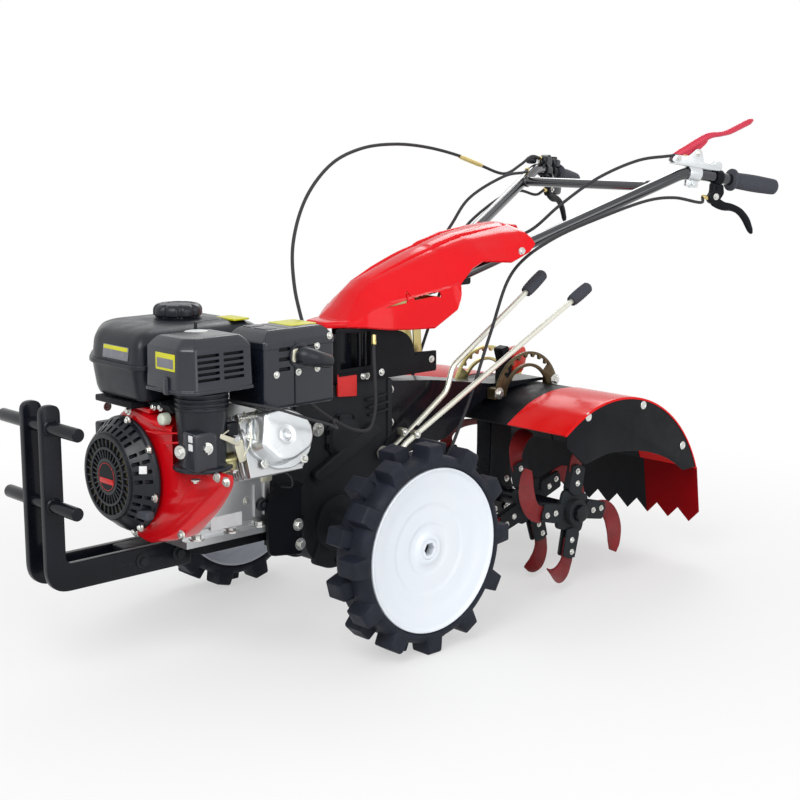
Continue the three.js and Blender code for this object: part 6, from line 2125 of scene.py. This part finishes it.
@dataclass
class Handlebar(Part):
    """The two handle tubes, their crossbar, grips, levers and throttle."""

    radius: float = 13.0
    root: Point = (-300.0, 24.0, 656.0)
    bend: Point = (-901.0, 227.0, 892.0)
    end: Point = (-1136.0, 306.0, 854.0)
    cross: float = -822.0
    grip_radius: float = 19.5
    grip_length: float = 132.0
    cap: float = 6.0
    clutch_at: float = -946.0
    brake_at: float = -984.0
    throttle_at: float = -948.0

    def on_grip(self, shape: Shape, sign: float, x: float) -> Shape:
        """Places a shape made along +X (towards the tube's end) with +Z up on the slanted end of a handle.

        Args:
            shape: the shape, about the tube's axis.
            sign: 1 for the left handle, -1 for the right.
            x: where along the machine.

        Returns:
            The placed shape.
        """
        bend, end = np.array(self.bend), np.array(self.end)
        here = bend + (end - bend) * (x - bend[0]) / (end[0] - bend[0])
        side = np.array([1.0, sign, 1.0])
        return shape.aimed(here * side, end * side)

    def tubes(self) -> None:
        """The bent tubes, the crossbar and its weld beads."""
        root, bend = np.array(self.root), np.array(self.bend)
        at = root + (bend - root) * (self.cross - root[0]) / (bend[0] - root[0])
        for name, sign in SIDES:
            side = np.array([1.0, sign, 1.0])
            path = bent_path([root * side, bend * side, np.array(self.end) * side], 26, 10)
            self.piece(f"handle_tube_{name}", rod(path, self.radius, 32), TUBE_BLACK, 50, f"handle_{name}")
            plug = rod([root * side + (1, 0, 0), root * side + (9, -3 * sign, -3)], 11.5, 24)
            self.piece(f"handle_plug_{name}", plug, BLACK_CAST)
        reach = float(at[1]) - 6
        bar = rod([(at[0], -reach, at[2]), (at[0], reach, at[2])], 11, 28, UP)
        beads = [lathe([(10, -5), (14.5, -2, 2), (13, 3, 2), (10, 4)], Y, (at[0], s * (reach - 10), at[2]),
            32, closed=True, steps=3) for s in (1, -1)]
        self.piece("handle_cross_tube", [bar, *beads], TUBE_BLACK, 50, "handle_crossbar")
        saddle = carve(block((-392, -52, 660), (-330, 52, 704), 5.0, Z, 8.0),
            *[rod([root * (1, s, 1) + (60, -20.2 * s, -23.6), bend * (1, s, 1)], 13.4, 24)
            for s in (1, -1)])
        self.piece("handle_saddle", saddle, BLACK_CAST, 34)
        self.piece("handle_saddle_bolts", bolts([(-346, 0, 704), (-376, 0, 704)], UP, 13), BOLT_STEEL)

    def grip(self) -> Shape:
        """The grip along +X from its collar: a flange, a waisted body with fine ribs and a round end.

        The radius swells by a sine along the body and ripples with the angle.

        Returns:
            The closed grip.
        """
        length, r = self.grip_length, self.grip_radius
        at = np.linspace(0, 1, 60)
        body = r - 1.6 + 1.4 * np.sin(np.pi * (at * 0.9 + 0.1)) ** 2
        close = np.sqrt(np.clip(1 - np.clip((at - 0.93) / 0.07, 0, 1) ** 2.2, 0, 1))
        body = np.maximum(body * close, TIP)
        place = 13 + at * (length - 13)
        radius = np.concatenate([[TIP, r + 5, r + 6, r + 6, r + 4.6, r - 0.5], body])
        place = np.concatenate([[0, 0, 1.5, 6, 8, 9.5], place])
        turn = np.linspace(0, 2 * np.pi, 96, endpoint=False)
        ripple = 0.35 * np.cos(24 * turn)[None] * ((place > 20) * (place < length - 14))[:, None]
        reach = radius[:, None] + ripple
        rows = np.stack([np.broadcast_to(place[:, None], reach.shape), reach * np.cos(turn),
            reach * np.sin(turn)], -1)
        return skin(rows)

    def clamp(self, width: float = 20.0) -> Shape:
        """A pinch clamp about the tube: a ring with two ears and a bolt below.

        Args:
            width: the ring's width.

        Returns:
            The clamp.
        """
        r = self.radius
        band = lathe([(r + 0.2, -width / 2), (r + 4.6, -width / 2, 1), (r + 4.6, width / 2, 1),
            (r + 0.2, width / 2)], X, sides=40, closed=True)
        ears = [block((-width / 2, s, -r - 18), (width / 2, s + 3, -r - 1), 1.0, Y, 3.0) for s in (-5, 2)]
        bolt = together(bolts([(0, 5, -r - 11)], LEFT, 9), bolts([(0, -5, -r - 11)], RIGHT, 9))
        return together(band, *ears, bolt)

    def clutch(self) -> None:
        """The red clutch lever on its bright clamp and bracket, on the left handle."""
        put = partial(self.on_grip, sign=1.0, x=self.clutch_at)
        self.piece("clutch_clamp", put(self.clamp(32).moved(x=-28)), PRESSED_STEEL, 40)
        cheek = outline([(-94, 20, 4), (-80, 14, 4), (38, 14, 3), (44, 20, 4), (42, 33, 5), (30, 36, 4),
            (14, 26, 5), (-8, 27, 5), (-18, 54, 6), (-32, 56, 6), (-52, 36, 6), (-90, 34, 5)], 4)
        plates = together(*[slab(cheek, s, s + 2.4, Y, 0.8) for s in (-9.2, 6.8)])
        base = block((-90, -9, 13.4), (40, 9, 16.2), 1.0)
        self.piece("clutch_bracket", put(together(plates, base)), PRESSED_STEEL, 36)
        self.piece("clutch_pins",
            put(together(bolts([(-78, 9, 27), (-26, 9, 46), (34, 9, 25)], LEFT, 8),
            bolts([(-78, -9, 27), (-26, -9, 46)], RIGHT, 8))), BOLT_STEEL)
        spots = [(-86, 0, 31), (-66, 0, 43), (-26, 0, 72), (2, 0, 90), (28, 0, 97), (52, 0, 106),
            (81, 0, 123), (112, 0, 142)]
        wide = [(0, 5.5), (0.12, 7), (0.34, 8), (0.5, 9), (0.62, 9), (0.72, 8), (0.96, 8), (1, 4)]
        tall = [(0, 6), (0.12, 9), (0.34, 9), (0.5, 6.5), (0.62, 6), (0.72, 7), (0.96, 7.4), (1, 3.4)]
        lever = blade(spots, wide, tall, 28)
        web = cutout([(-82, 26, 4), (-66, 22, 5), (-30, 44, 8), (-4, 72, 8), (0, 86, 4), (-74, 36, 4)], -4,
            4, Y, 1.6, turns=4)
        self.piece("clutch_lever_blade", put(together(lever, web)), LEVER_RED, 50, "clutch_lever")

    def brake(self, name: str, sign: float) -> None:
        """One black steering lever that hangs from its clamp.

        Args:
            name: left or right.
            sign: 1 on the left, -1 on the right.
        """
        put = partial(self.on_grip, sign=sign, x=self.brake_at)
        holder = cutout([(-14, -14, 5), (16, -14, 5), (22, -34, 5), (8, -60, 8), (-10, -62, 8),
            (-20, -48, 5), (-12, -36, 4)], -8, 8, Y, 2.4, turns=5)
        self.piece(f"steering_clamp_{name}", put(together(self.clamp(18), holder)), BLACK_POWDER, 40)
        spots = [(-8, 0, -46), (8, 0, -56), (30, 0, -62), (52, 0, -62), (76, 0, -68), (98, 0, -84),
            (112, 0, -102), (121, 0, -114)]
        wide = [(0, 5), (0.1, 6), (0.5, 7), (0.9, 6), (1, 3.6)]
        tall = [(0, 8), (0.1, 13), (0.3, 10), (0.5, 8), (0.75, 9.5), (0.93, 7), (1, 3.4)]
        lever = blade(spots, wide, tall, 24)
        self.piece(f"steering_blade_{name}", put(lever), BLACK_POWDER, 50, f"steering_lever_{name}")
        self.piece(f"steering_pins_{name}",
            put(together(bolts([(0, 8, -44), (2, 8, -26)], LEFT, 8), bolts([(0, -8, -44)], RIGHT, 8))),
            BOLT_STEEL)

    def throttle(self) -> None:
        """The throttle's drum, lever and knobs, and the stop switch, on the right handle."""
        put = partial(self.on_grip, sign=-1.0, x=self.throttle_at)
        drum = disc_on((4, 9, 22), Y, [(TIP, -20), (17, -20, 2), (17, 0, 2), (14, 3, 2), (TIP, 3)], 40,
            steps=3)
        lever = carried(smooth_path([(4, 4, 24), (-12, 5, 28), (-34, 8, 25), (-56, 12, 18)], 7),
            ring(1.0, 20) * (5.5, 3.4), UP)
        knob = lathe([(TIP, -12), (8, -12, 3), (9.5, 0, 3), (8, 12, 3), (TIP, 12)], Y, (-58, 12, 17), 28)
        self.piece("throttle_drum", put(together(self.clamp(28), drum)), GUARD_PLASTIC, 40,
            "throttle_control")
        self.piece("throttle_thumb_lever", put(together(lever, knob)), GUARD_PLASTIC, 50)
        self.piece("throttle_screw", put(bolts([(4, 12, 22)], LEFT, 10)), BOLT_STEEL)
        box = block((40, -14, 14), (72, 14, 34), 4.0, Z, 8.0)
        button = lathe([(TIP, 33), (8, 33), (8, 40, 2), (TIP, 41)], Z, (56, 0, 0), 28)
        under = block((46, -11, -52), (96, 11, -22), 6.0, X, 9.0)
        self.piece("stop_switch", put(together(box, under)), GUARD_PLASTIC, 50)
        self.piece("stop_switch_button", put(button), BLACK_GLOSS, 50)
        knobs = [lathe([(TIP, -9), (6, -9, 2), (9, -2, 2), (9, 6, 2), (5, 11, 3), (TIP, 11)], Z, (x, y, z),
            20, steps=3) for x, y, z in ((-34, -14, 20), (20, 20, 26), (84, 16, 18))]
        arm = carried(smooth_path([(18, -12, -8), (4, -22, -20), (-22, -28, -34), (-50, -28, -42)], 6),
            ring(1.0, 16) * (5.0, 3.6), UP)
        post = together(*[rod([(x, y, 0), (x, y, z)], 3.5, 12, AHEAD)
            for x, y, z in ((-34, -12, 16), (84, 12, 14))])
        self.piece("throttle_knobs", put(together(*knobs, arm, post)), GUARD_PLASTIC, 46)

    def build(self) -> None:
        """Makes the handlebar and all that it carries."""
        self.tubes()
        bend, end = np.array(self.bend), np.array(self.end)
        back = unit(bend - end)
        for name, sign in SIDES:
            side = np.array([1.0, sign, 1.0])
            start = (end + back * (self.grip_length - self.cap)) * side
            self.piece(f"grip_sleeve_{name}", self.grip().aimed(start, end * side), GRIP_RUBBER, 60,
                f"grip_{name}")
            self.brake(name, sign)
        self.clutch()
        self.throttle()


# ---------------------------------------------------------------- rotary drive and rotor
@dataclass
class RotaryDrive(Part):
    """The beam behind the gear case, its leg, and the two toothed depth quadrants."""

    centre: tuple[float, float] = (-557.0, 394.0)
    outer: float = 104.0
    window_outer: float = 91.0
    window_inner: float = 77.0
    inner: float = 70.0
    start: float = 8.0
    stop: float = 162.0
    y: float = 65.0
    thickness: float = 6.0
    teeth: int = 7

    def polar(self, radius: float | np.ndarray, turn: np.ndarray) -> np.ndarray:
        """Places points about the quadrants' centre by radius and angle.

        Args:
            radius: their radii.
            turn: their angles, in degrees.

        Returns:
            (x, z) pairs.
        """
        turn = np.radians(turn)
        return np.stack([self.centre[0] + radius * np.cos(turn), self.centre[1] + radius * np.sin(turn)],
            -1)

    def quadrant(self) -> Shape:
        """One quadrant at Y 0: two arcs joined at their ends, the outer one with teeth that point in.

        Between the arcs lies a window whose outer radius steps by a square wave.

        Returns:
            The closed plate.
        """
        outside = self.polar(self.outer, np.linspace(self.start, self.stop, 40))
        inside = self.polar(self.inner, np.linspace(self.stop, self.start, 40))
        plate = slab(np.concatenate([outside, inside]), 0, self.thickness, Y, 0.8, steps=2)
        turn = np.linspace(38, 136, self.teeth * 12 + 1)
        wave = ((turn - 38) / 98 * self.teeth) % 1
        tooth = np.clip((np.abs(wave - 0.5) - 0.12) / 0.1, 0, 1)
        top = self.polar(self.window_outer + 7.0 * tooth, turn)
        bottom = self.polar(self.window_inner, np.linspace(136, 38, 30))
        window = slab(np.concatenate([top, bottom]), -4, self.thickness + 4, Y, 0.0)
        return carve(plate, window)

    def build(self) -> None:
        """Makes the beam, the quadrants and the latch between them."""
        self.softened("rotary_gearcase", BLACK_GLOSS, 5.0)
        for name, sign in SIDES:
            plate = self.quadrant().moved(y=self.y - self.thickness / 2)
            near, far = 42.3, self.y + self.thickness / 2
            lugs = [block((x - 12, near, low), (x + 12, far, high), 2.0, Y, 4.0)
                for x, low, high in ((-464, 400, 426), (-646, 410, 432))]
            whole = together(plate, *lugs).on_side(sign)
            finish = QUADRANT_DARK if sign > 0 else YELLOW_ZINC
            self.piece(f"depth_arc_{name}", whole, finish, 30, f"depth_quadrant_{name}")
            spots = [(-464, sign * (self.y + 3), 414), (-648, sign * (self.y + 3), 424)]
            self.piece(f"depth_arc_bolts_{name}", bolts(spots, (0, sign, 0), 14), BOLT_STEEL)
        self.piece("latch_post",
            cutout([(-566, 424, 3), (-534, 424, 3), (-538, 470, 4), (-528, 500, 5), (-552, 506, 5),
            (-562, 470, 4)], -14, 14, Y, 3.0), BLACK_POWDER, 36)
        latch = together(cutout([(-570, 436, 6), (-600, 442, 8), (-612, 474, 6), (-606, 500, 8),
            (-574, 496, 8), (-566, 470, 6)], -16, 16, Y, 4.0, turns=5),
            block((-586, -22, 470), (-566, 22, 484), 3.0, Y, 5.0))
        self.piece("latch_handle", latch, LEVER_ORANGE, 40)
        self.piece("leg_covers",
            [cutout([(-556, 170, 8), (-486, 170, 8), (-492, 392, 6), (-552, 400, 6)], s, s + 4, Y, 1.5)
            for s in (-24, 20)], BLACK_CAST)
        turn = np.radians(np.arange(0, 360, 60))
        for name, sign in SIDES:
            spots = [(-520 + 38 * math.cos(a), sign * 24, 169 + 38 * math.sin(a)) for a in turn]
            self.piece(f"leg_bolts_{name}", bolts(spots, (0, sign, 0), 8), BOLT_STEEL)
        joint = cutout([(-140, 300, 10), (-152, 300, 4), (-152, 484, 8), (-140, 484, 8)], -60, 60, Y, 3.0)
        self.piece("beam_flange", joint, BLACK_CAST)
        spots = [(-152, y, z) for y in (-52, 52) for z in (320, 390, 460)]
        self.piece("beam_flange_bolts", bolts(spots, BACK, 11), BOLT_STEEL)


@dataclass
class Rotor(Part):
    """The tined rotor: a shaft, four flanges with black sockets, and sixteen curved blades."""

    x: float = -520.0
    z: float = 169.04
    tip: float = 175.0
    shaft: float = 18.0
    half: float = 270.0
    flange: float = 60.76
    stars: tuple[tuple[str, float, float, float], ...] = (("left_outer", 236.0, 15.0, 1.0),
        ("left_inner", 110.0, -15.0, 1.0), ("right_inner", -110.0, -15.0, -1.0),
        ("right_outer", -236.0, 15.0, -1.0))

    def blade(self, reach: float) -> Shape:
        """A blade that points down: a bar that hooks forwards and bends sideways towards its tip.

        The middle line's radius and angle are smooth in the share s along it. Its sideways offset is
        reach * 30 * bend^1.6, where bend runs from 0 at s 0.45 to 1 at the tip. The bar's width lies in
        the plane of the wheel, square to the line, and turns sideways by up to 62 degrees with bend.

        Args:
            reach: 1 or -1, the side that the tip bends to.

        Returns:
            The closed blade.
        """
        s = np.linspace(0, 1, 44)
        stops = [0, 0.25, 0.45, 0.62, 0.8, 1]
        knots = np.stack([np.interp(s, stops, [58, 92, 118, 137, 147, 150]),
            np.interp(s, stops, [-9, -10, -8, -1, 12, 29])])
        kernel = np.ones(9) / 9
        radius, turn = (np.convolve(np.pad(row, 4, mode="reflect", reflect_type="odd"), kernel, "valid")
            for row in knots)
        turn = np.radians(turn)
        bend = np.clip((s - 0.45) / 0.55, 0, 1)
        line = np.stack([radius * np.sin(turn), reach * 30 * bend**1.6, -radius * np.cos(turn)], -1)
        along = unit(np.gradient(line, axis=0))
        flat = unit(np.cross(np.array([0.0, 1.0, 0.0]), along))
        lean = np.radians(62 * bend)[:, None]
        wide = unit(flat * np.cos(lean) + reach * np.array([0.0, 1.0, 0.0]) * np.sin(lean))
        thick = np.cross(along, wide)
        corner = outline([(-1, -1, 0.35), (1, -1, 0.35), (1, 1, 0.35), (-1, 1, 0.35)], 3)
        half = np.interp(s, [0, 0.15, 0.45, 0.75, 0.92, 1], [14, 16, 19, 18, 14, 9])[:, None, None]
        depth = np.interp(s, [0, 0.7, 1], [3.6, 3.2, 2.0])[:, None, None]
        worn = 1 - 0.6 * np.clip(corner[None, :, :1], 0, 1)
        grid = line[:, None] + wide[:, None] * corner[None, :, :1] * half + thick[:, None] * corner[None, :,
            1:] * depth * worn
        away = np.hypot(grid[..., 0], grid[..., 2])[..., None]
        grid[..., ::2] *= np.minimum(1, (self.z - 0.8) / away)
        return skin(grid)

    def socket(self) -> Shape:
        """The pocket that holds a blade on the flange: two cheeks with a closed back.

        Returns:
            The pocket, pointing down.
        """
        cheeks = [cutout([(-30, -42, 4), (-10, -34, 4), (12, -40, 5), (8, -100, 6), (-24, -104, 6)], s,
            s + 5, Y, 1.4, turns=4) for s in (-10, 5)]
        back = block((-31, -10, -100), (-25, 10, -46), 1.4)
        return together(*cheeks, back)

    def build(self) -> None:
        """Makes the rotor; every piece rides on the rotor's body."""
        body = "rotor"
        bar = lathe([(TIP, -self.half), (self.shaft, -self.half, 2), (self.shaft, self.half, 2),
            (TIP, self.half)], Y, (self.x, 0, self.z), 36)
        self.piece("rotor_axle", bar, BLACK_GLOSS, 32, "rotor_shaft", body=body)
        for name, y, phase, reach in self.stars:
            blades, sockets, heads = [], [], []
            for k in range(4):
                turn = 90.0 * k - phase
                blades.append(self.blade(reach if k in (0, 1) else -reach).turned(Y, turn))
                sockets.append(self.socket().turned(Y, turn))
                for sign in (1, -1):
                    pair = bolts([(-16, sign * 10, -88), (-9, sign * 10, -62)], (0, sign, 0), 7)
                    heads.append(pair.turned(Y, turn))
            place = dict(x=self.x, y=y, z=self.z)
            self.piece(f"tines_{name}", together(*blades).moved(**place), TINE_RED, 40, f"tine_star_{name}",
                body=body)
            corners = [(self.flange * math.cos(a), self.flange * math.sin(a), 14)
                for a in np.radians(np.arange(45, 405, 90) + phase)]
            square = cutout(corners, -4.5, 4.5, Y, 1.5, turns=5)
            hub = lathe([(18.2, -22), (29, -22, 2), (29, 22, 2), (18.2, 22)], Y, sides=36, closed=True)
            self.piece(f"flange_{name}", together(square, hub, *sockets).moved(**place), BLACK_CAST, 36,
                body=body)
            self.piece(f"tine_bolts_{name}", together(*heads).moved(**place), BOLT_STEEL, body=body)


# ---------------------------------------------------------------- control cables
@dataclass
class Cables(Part):
    """The sheathed control cables that the machine holds, each with bright ends."""

    radius: float = 3.5

    def routes(self) -> list[tuple[str, np.ndarray]]:
        """Where each cable runs, from its lever to what it works.

        Returns:
            A name and its points for each cable.
        """
        bar = Handlebar(self.nodes, self.shift)

        def off(sign: float, x: float, z0: float, z1: float, back: float) -> list[Point]:
            """Returns two points beside a handle's lever: at its mount and a little further on."""
            pair = Shape(np.array([(back, 0.0, z0), (back - 17.7, 0.0, z1)]), [])
            return bar.on_grip(pair, sign, x).points.tolist()

        steering = ((-934, 252, 824), (-855, 235, 836), (-791, 217, 833), (-661, 180, 797),
            (-559, 142, 757), (-500, 108, 714), (-462, 96, 672), (-405, 95, 553), (-326, 96, 388),
            (-250, 92, 270), (-150, 72, 222))
        out = [(f"steering_cable_{name}", off(sign, bar.brake_at, -49, -49, -12.3) + [(x, sign * y, z)
            for x, y, z in steering]) for name, sign in SIDES]
        out.append(("throttle_cable", off(-1.0, bar.throttle_at, 25, 25, -16.3) + [(-860, -208, 920),
            (-815, -200, 902), (-742, -184, 882), (-647, -168, 902), (-582, -156, 921), (-441, -130, 947),
            (-307, -100, 957), (-181, -70, 949), (-73, -40, 918), (18, -10, 852), (74, 20, 768),
            (96, 50, 694), (104, 80, 634), (108, 112, 580)]))
        out.append(("clutch_cable",
            off(1.0, bar.clutch_at, 36, 36, -46.3) + [(-838, 218, 928), (-770, 196, 920), (-687, 150, 882),
            (-619, 100, 823), (-565, 62, 768), (-500, 34, 745), (-420, 14, 722), (-322, 0, 690)]))
        rise = 236 / 634.4
        share = (-850.4 - bar.root[0]) / (bar.bend[0] - bar.root[0])
        y = bar.root[1] + (bar.bend[1] - bar.root[1]) * share
        z = bar.root[2] + (bar.bend[2] - bar.root[2]) * share + (bar.radius + 3.8) * math.sqrt(1 + rise**2)
        out.append(("stop_cable", [(-850.4, -y, z), (-801, -176, 884), (-700, -146, 878), (-565, -134, 828),
            (-510, -130, 775), (-465, -128, 728), (-400, -108, 670), (-350, -86, 618), (-300, -70, 560),
            (-255, -66, 515)]))
        out.append(("engine_cable", [(160, 150, 494), (84, 140, 443), (3, 120, 405), (-54, 100, 398),
            (-77, 90, 431), (-86, 80, 490), (-90, 72, 540), (-96, 66, 580)]))
        return [(name, np.asarray(points, float)) for name, points in out]

    def build(self) -> None:
        """Makes each cable and its ferrules."""
        ferrules = []
        for name, points in self.routes():
            path = smooth_path(points, 10)
            self.piece(f"{name}_sheath", rod(path, self.radius, 14, (0, 0.3, 1)), CABLE_SHEATH, 60, name)
            for start, on in ((path[0], path[1]), (path[-1], path[-2])):
                profile = [(TIP, 0), (4.6, 0, 0.6), (4.6, 12, 1), (5.2, 13, 0.6), (5.2, 20, 0.8), (TIP, 20)]
                ferrules.append(lathe(profile, X, sides=18).aimed(start, on))
        self.piece("cable_ferrules", ferrules, BRASS, 40)
        wire = smooth_path([(345, 160, 514), (330, 215, 512), (300, 255, 504), (238, 264, 480),
            (190, 262, 463), (150, 236, 447), (110, 190, 436), (84, 150, 438), (66, 140, 434)], 8)
        self.piece("governor_wire", rod(wire, 2.4, 12, UP), CABLE_SHEATH, 60)
        sleeve = [(TIP, -48), (4.4, -48, 1), (5.4, -30, 3), (5.4, 30, 3), (4.4, 48, 1), (TIP, 48)]
        brass = lathe(sleeve, X, sides=18)
        self.piece("throttle_cable_sleeve", brass.aimed((-600, -160, 914.6), (-555, -151.5, 926)), BRASS,
            40)


# ---------------------------------------------------------------- stage
def aimed_item(name: str, data: bpy.types.ID, place: Point, look: Vector) -> bpy.types.Object:
    """Stands a camera or a lamp in the scene.

    Args:
        name: the object's name.
        data: the camera or lamp.
        place: where it stands, in metres.
        look: the direction that it looks along.

    Returns:
        The new object.
    """
    item = placed(name, data)
    item.location = place
    item.rotation_mode = "QUATERNION"
    item.rotation_quaternion = look.to_track_quat("-Z", "Y")
    return item


@dataclass
class Stage(Part):
    """The pale floor, the soft light and the camera."""

    camera_place: Point = (1922.4, 2328.0, 1007.9)
    heading: float = 227.257
    dip: float = 10.512
    lens: float = 67.88
    floor_size: float = 9.0
    floor_shade: float = 0.86
    world_strength: float = 0.48

    def camera(self) -> None:
        """Sets the camera, looking along its heading and dip."""
        data = bpy.data.cameras.new("camera")
        data.lens = self.lens
        data.sensor_width = 36.0
        data.clip_end = 60.0
        turn, tilt = math.radians(self.heading), math.radians(self.dip)
        look = Vector((math.cos(turn) * math.cos(tilt), math.sin(turn) * math.cos(tilt), -math.sin(tilt)))
        x, y, z = self.camera_place
        item = aimed_item("camera", data, ((x + self.shift) / 1000, y / 1000, z / 1000), look)
        bpy.context.scene.camera = item

    def world(self) -> None:
        """A plain white world, at full strength only where it is seen or mirrored."""
        world = bpy.data.worlds.new("studio")
        bpy.context.scene.world = world
        world.use_nodes = True
        make = NodeMaker(world.node_tree)
        strength = make.add("MapRange", make.seen_directly(), To_Min=self.world_strength, To_Max=1.0)
        make.fill("Background", Color=WHITE, Strength=strength)

    def floor(self) -> None:
        """A large pale floor that fades to the world's white away from the machine."""
        mesh = bpy.data.meshes.new("floor")
        size = self.floor_size
        mesh.from_pydata([(-size, -size, 0), (size, -size, 0), (size, size, 0), (-size, size, 0)], [],
            [(0, 1, 2, 3)])
        material = bpy.data.materials.new("studio_floor")
        material.use_nodes = True
        make = NodeMaker(material.node_tree)
        away = make.add("VectorMath", make.add("TexCoord", take="Object"), take="Value",
            options={"operation": "LENGTH"})
        fade = make.add("MapRange", away, From_Min=0.4, From_Max=1.9, To_Min=0.52,
            options={"interpolation_type": "SMOOTHSTEP"})
        share = make.add("Math", fade, make.seen_directly(), options={"operation": "MULTIPLY"})
        paint = make.fill("Principled BSDF", Roughness=0.9, Base_Color=(self.floor_shade,) * 3 + (1.0,))
        glow = make.add("Emission", Color=WHITE)
        make.fill("Material Output", make.add("MixShader", share, paint.outputs["BSDF"], glow))
        mesh.materials.append(material)
        placed("floor", mesh)

    def lamps(self) -> None:
        """Three large soft lamps: a key from the camera's left, a fill and a rim light from behind."""
        for name, place, size, power in (("key", (2.6, 1.4, 2.6), 2.2, 62.0),
                ("fill", (0.2, 3.4, 1.5), 2.6, 34.0), ("rim", (-2.4, -1.6, 2.8), 2.0, 40.0)):
            data = bpy.data.lights.new(name, "AREA")
            data.shape = "DISK"
            data.size = size
            data.energy = power
            aimed_item(name, data, place, Vector((0, 0, 0.45)) - Vector(place))

    def build(self) -> None:
        """Makes the floor, the light and the camera."""
        self.camera()
        self.world()
        self.floor()
        self.lamps()
        bpy.context.scene.view_settings.view_transform = "Standard"


# ---------------------------------------------------------------- the machine
FRONT_OF_RAIL = 648.0  # how far the front of the rails lies ahead of the axle
PARTS = (Stage, Wheel, Bonnet, Fender, FuelTank, AirCleaner, Muffler, Cowl, EngineBlock, WeightHanger,
    GearCase, Console, ShiftLevers, Handlebar, RotaryDrive, Rotor, Cables)


def main() -> None:
    """Loads the frame and builds the sub-assemblies in order."""
    logging.basicConfig(level=logging.INFO, format="%(message)s")
    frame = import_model()
    rail_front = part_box("front_rail_left")[1].x * 1000
    for kind in PARTS:
        LOG.info("-- %s", kind.__name__)
        kind(frame["nodes"], rail_front - FRONT_OF_RAIL).build()


if __name__ == "__main__":
    main()
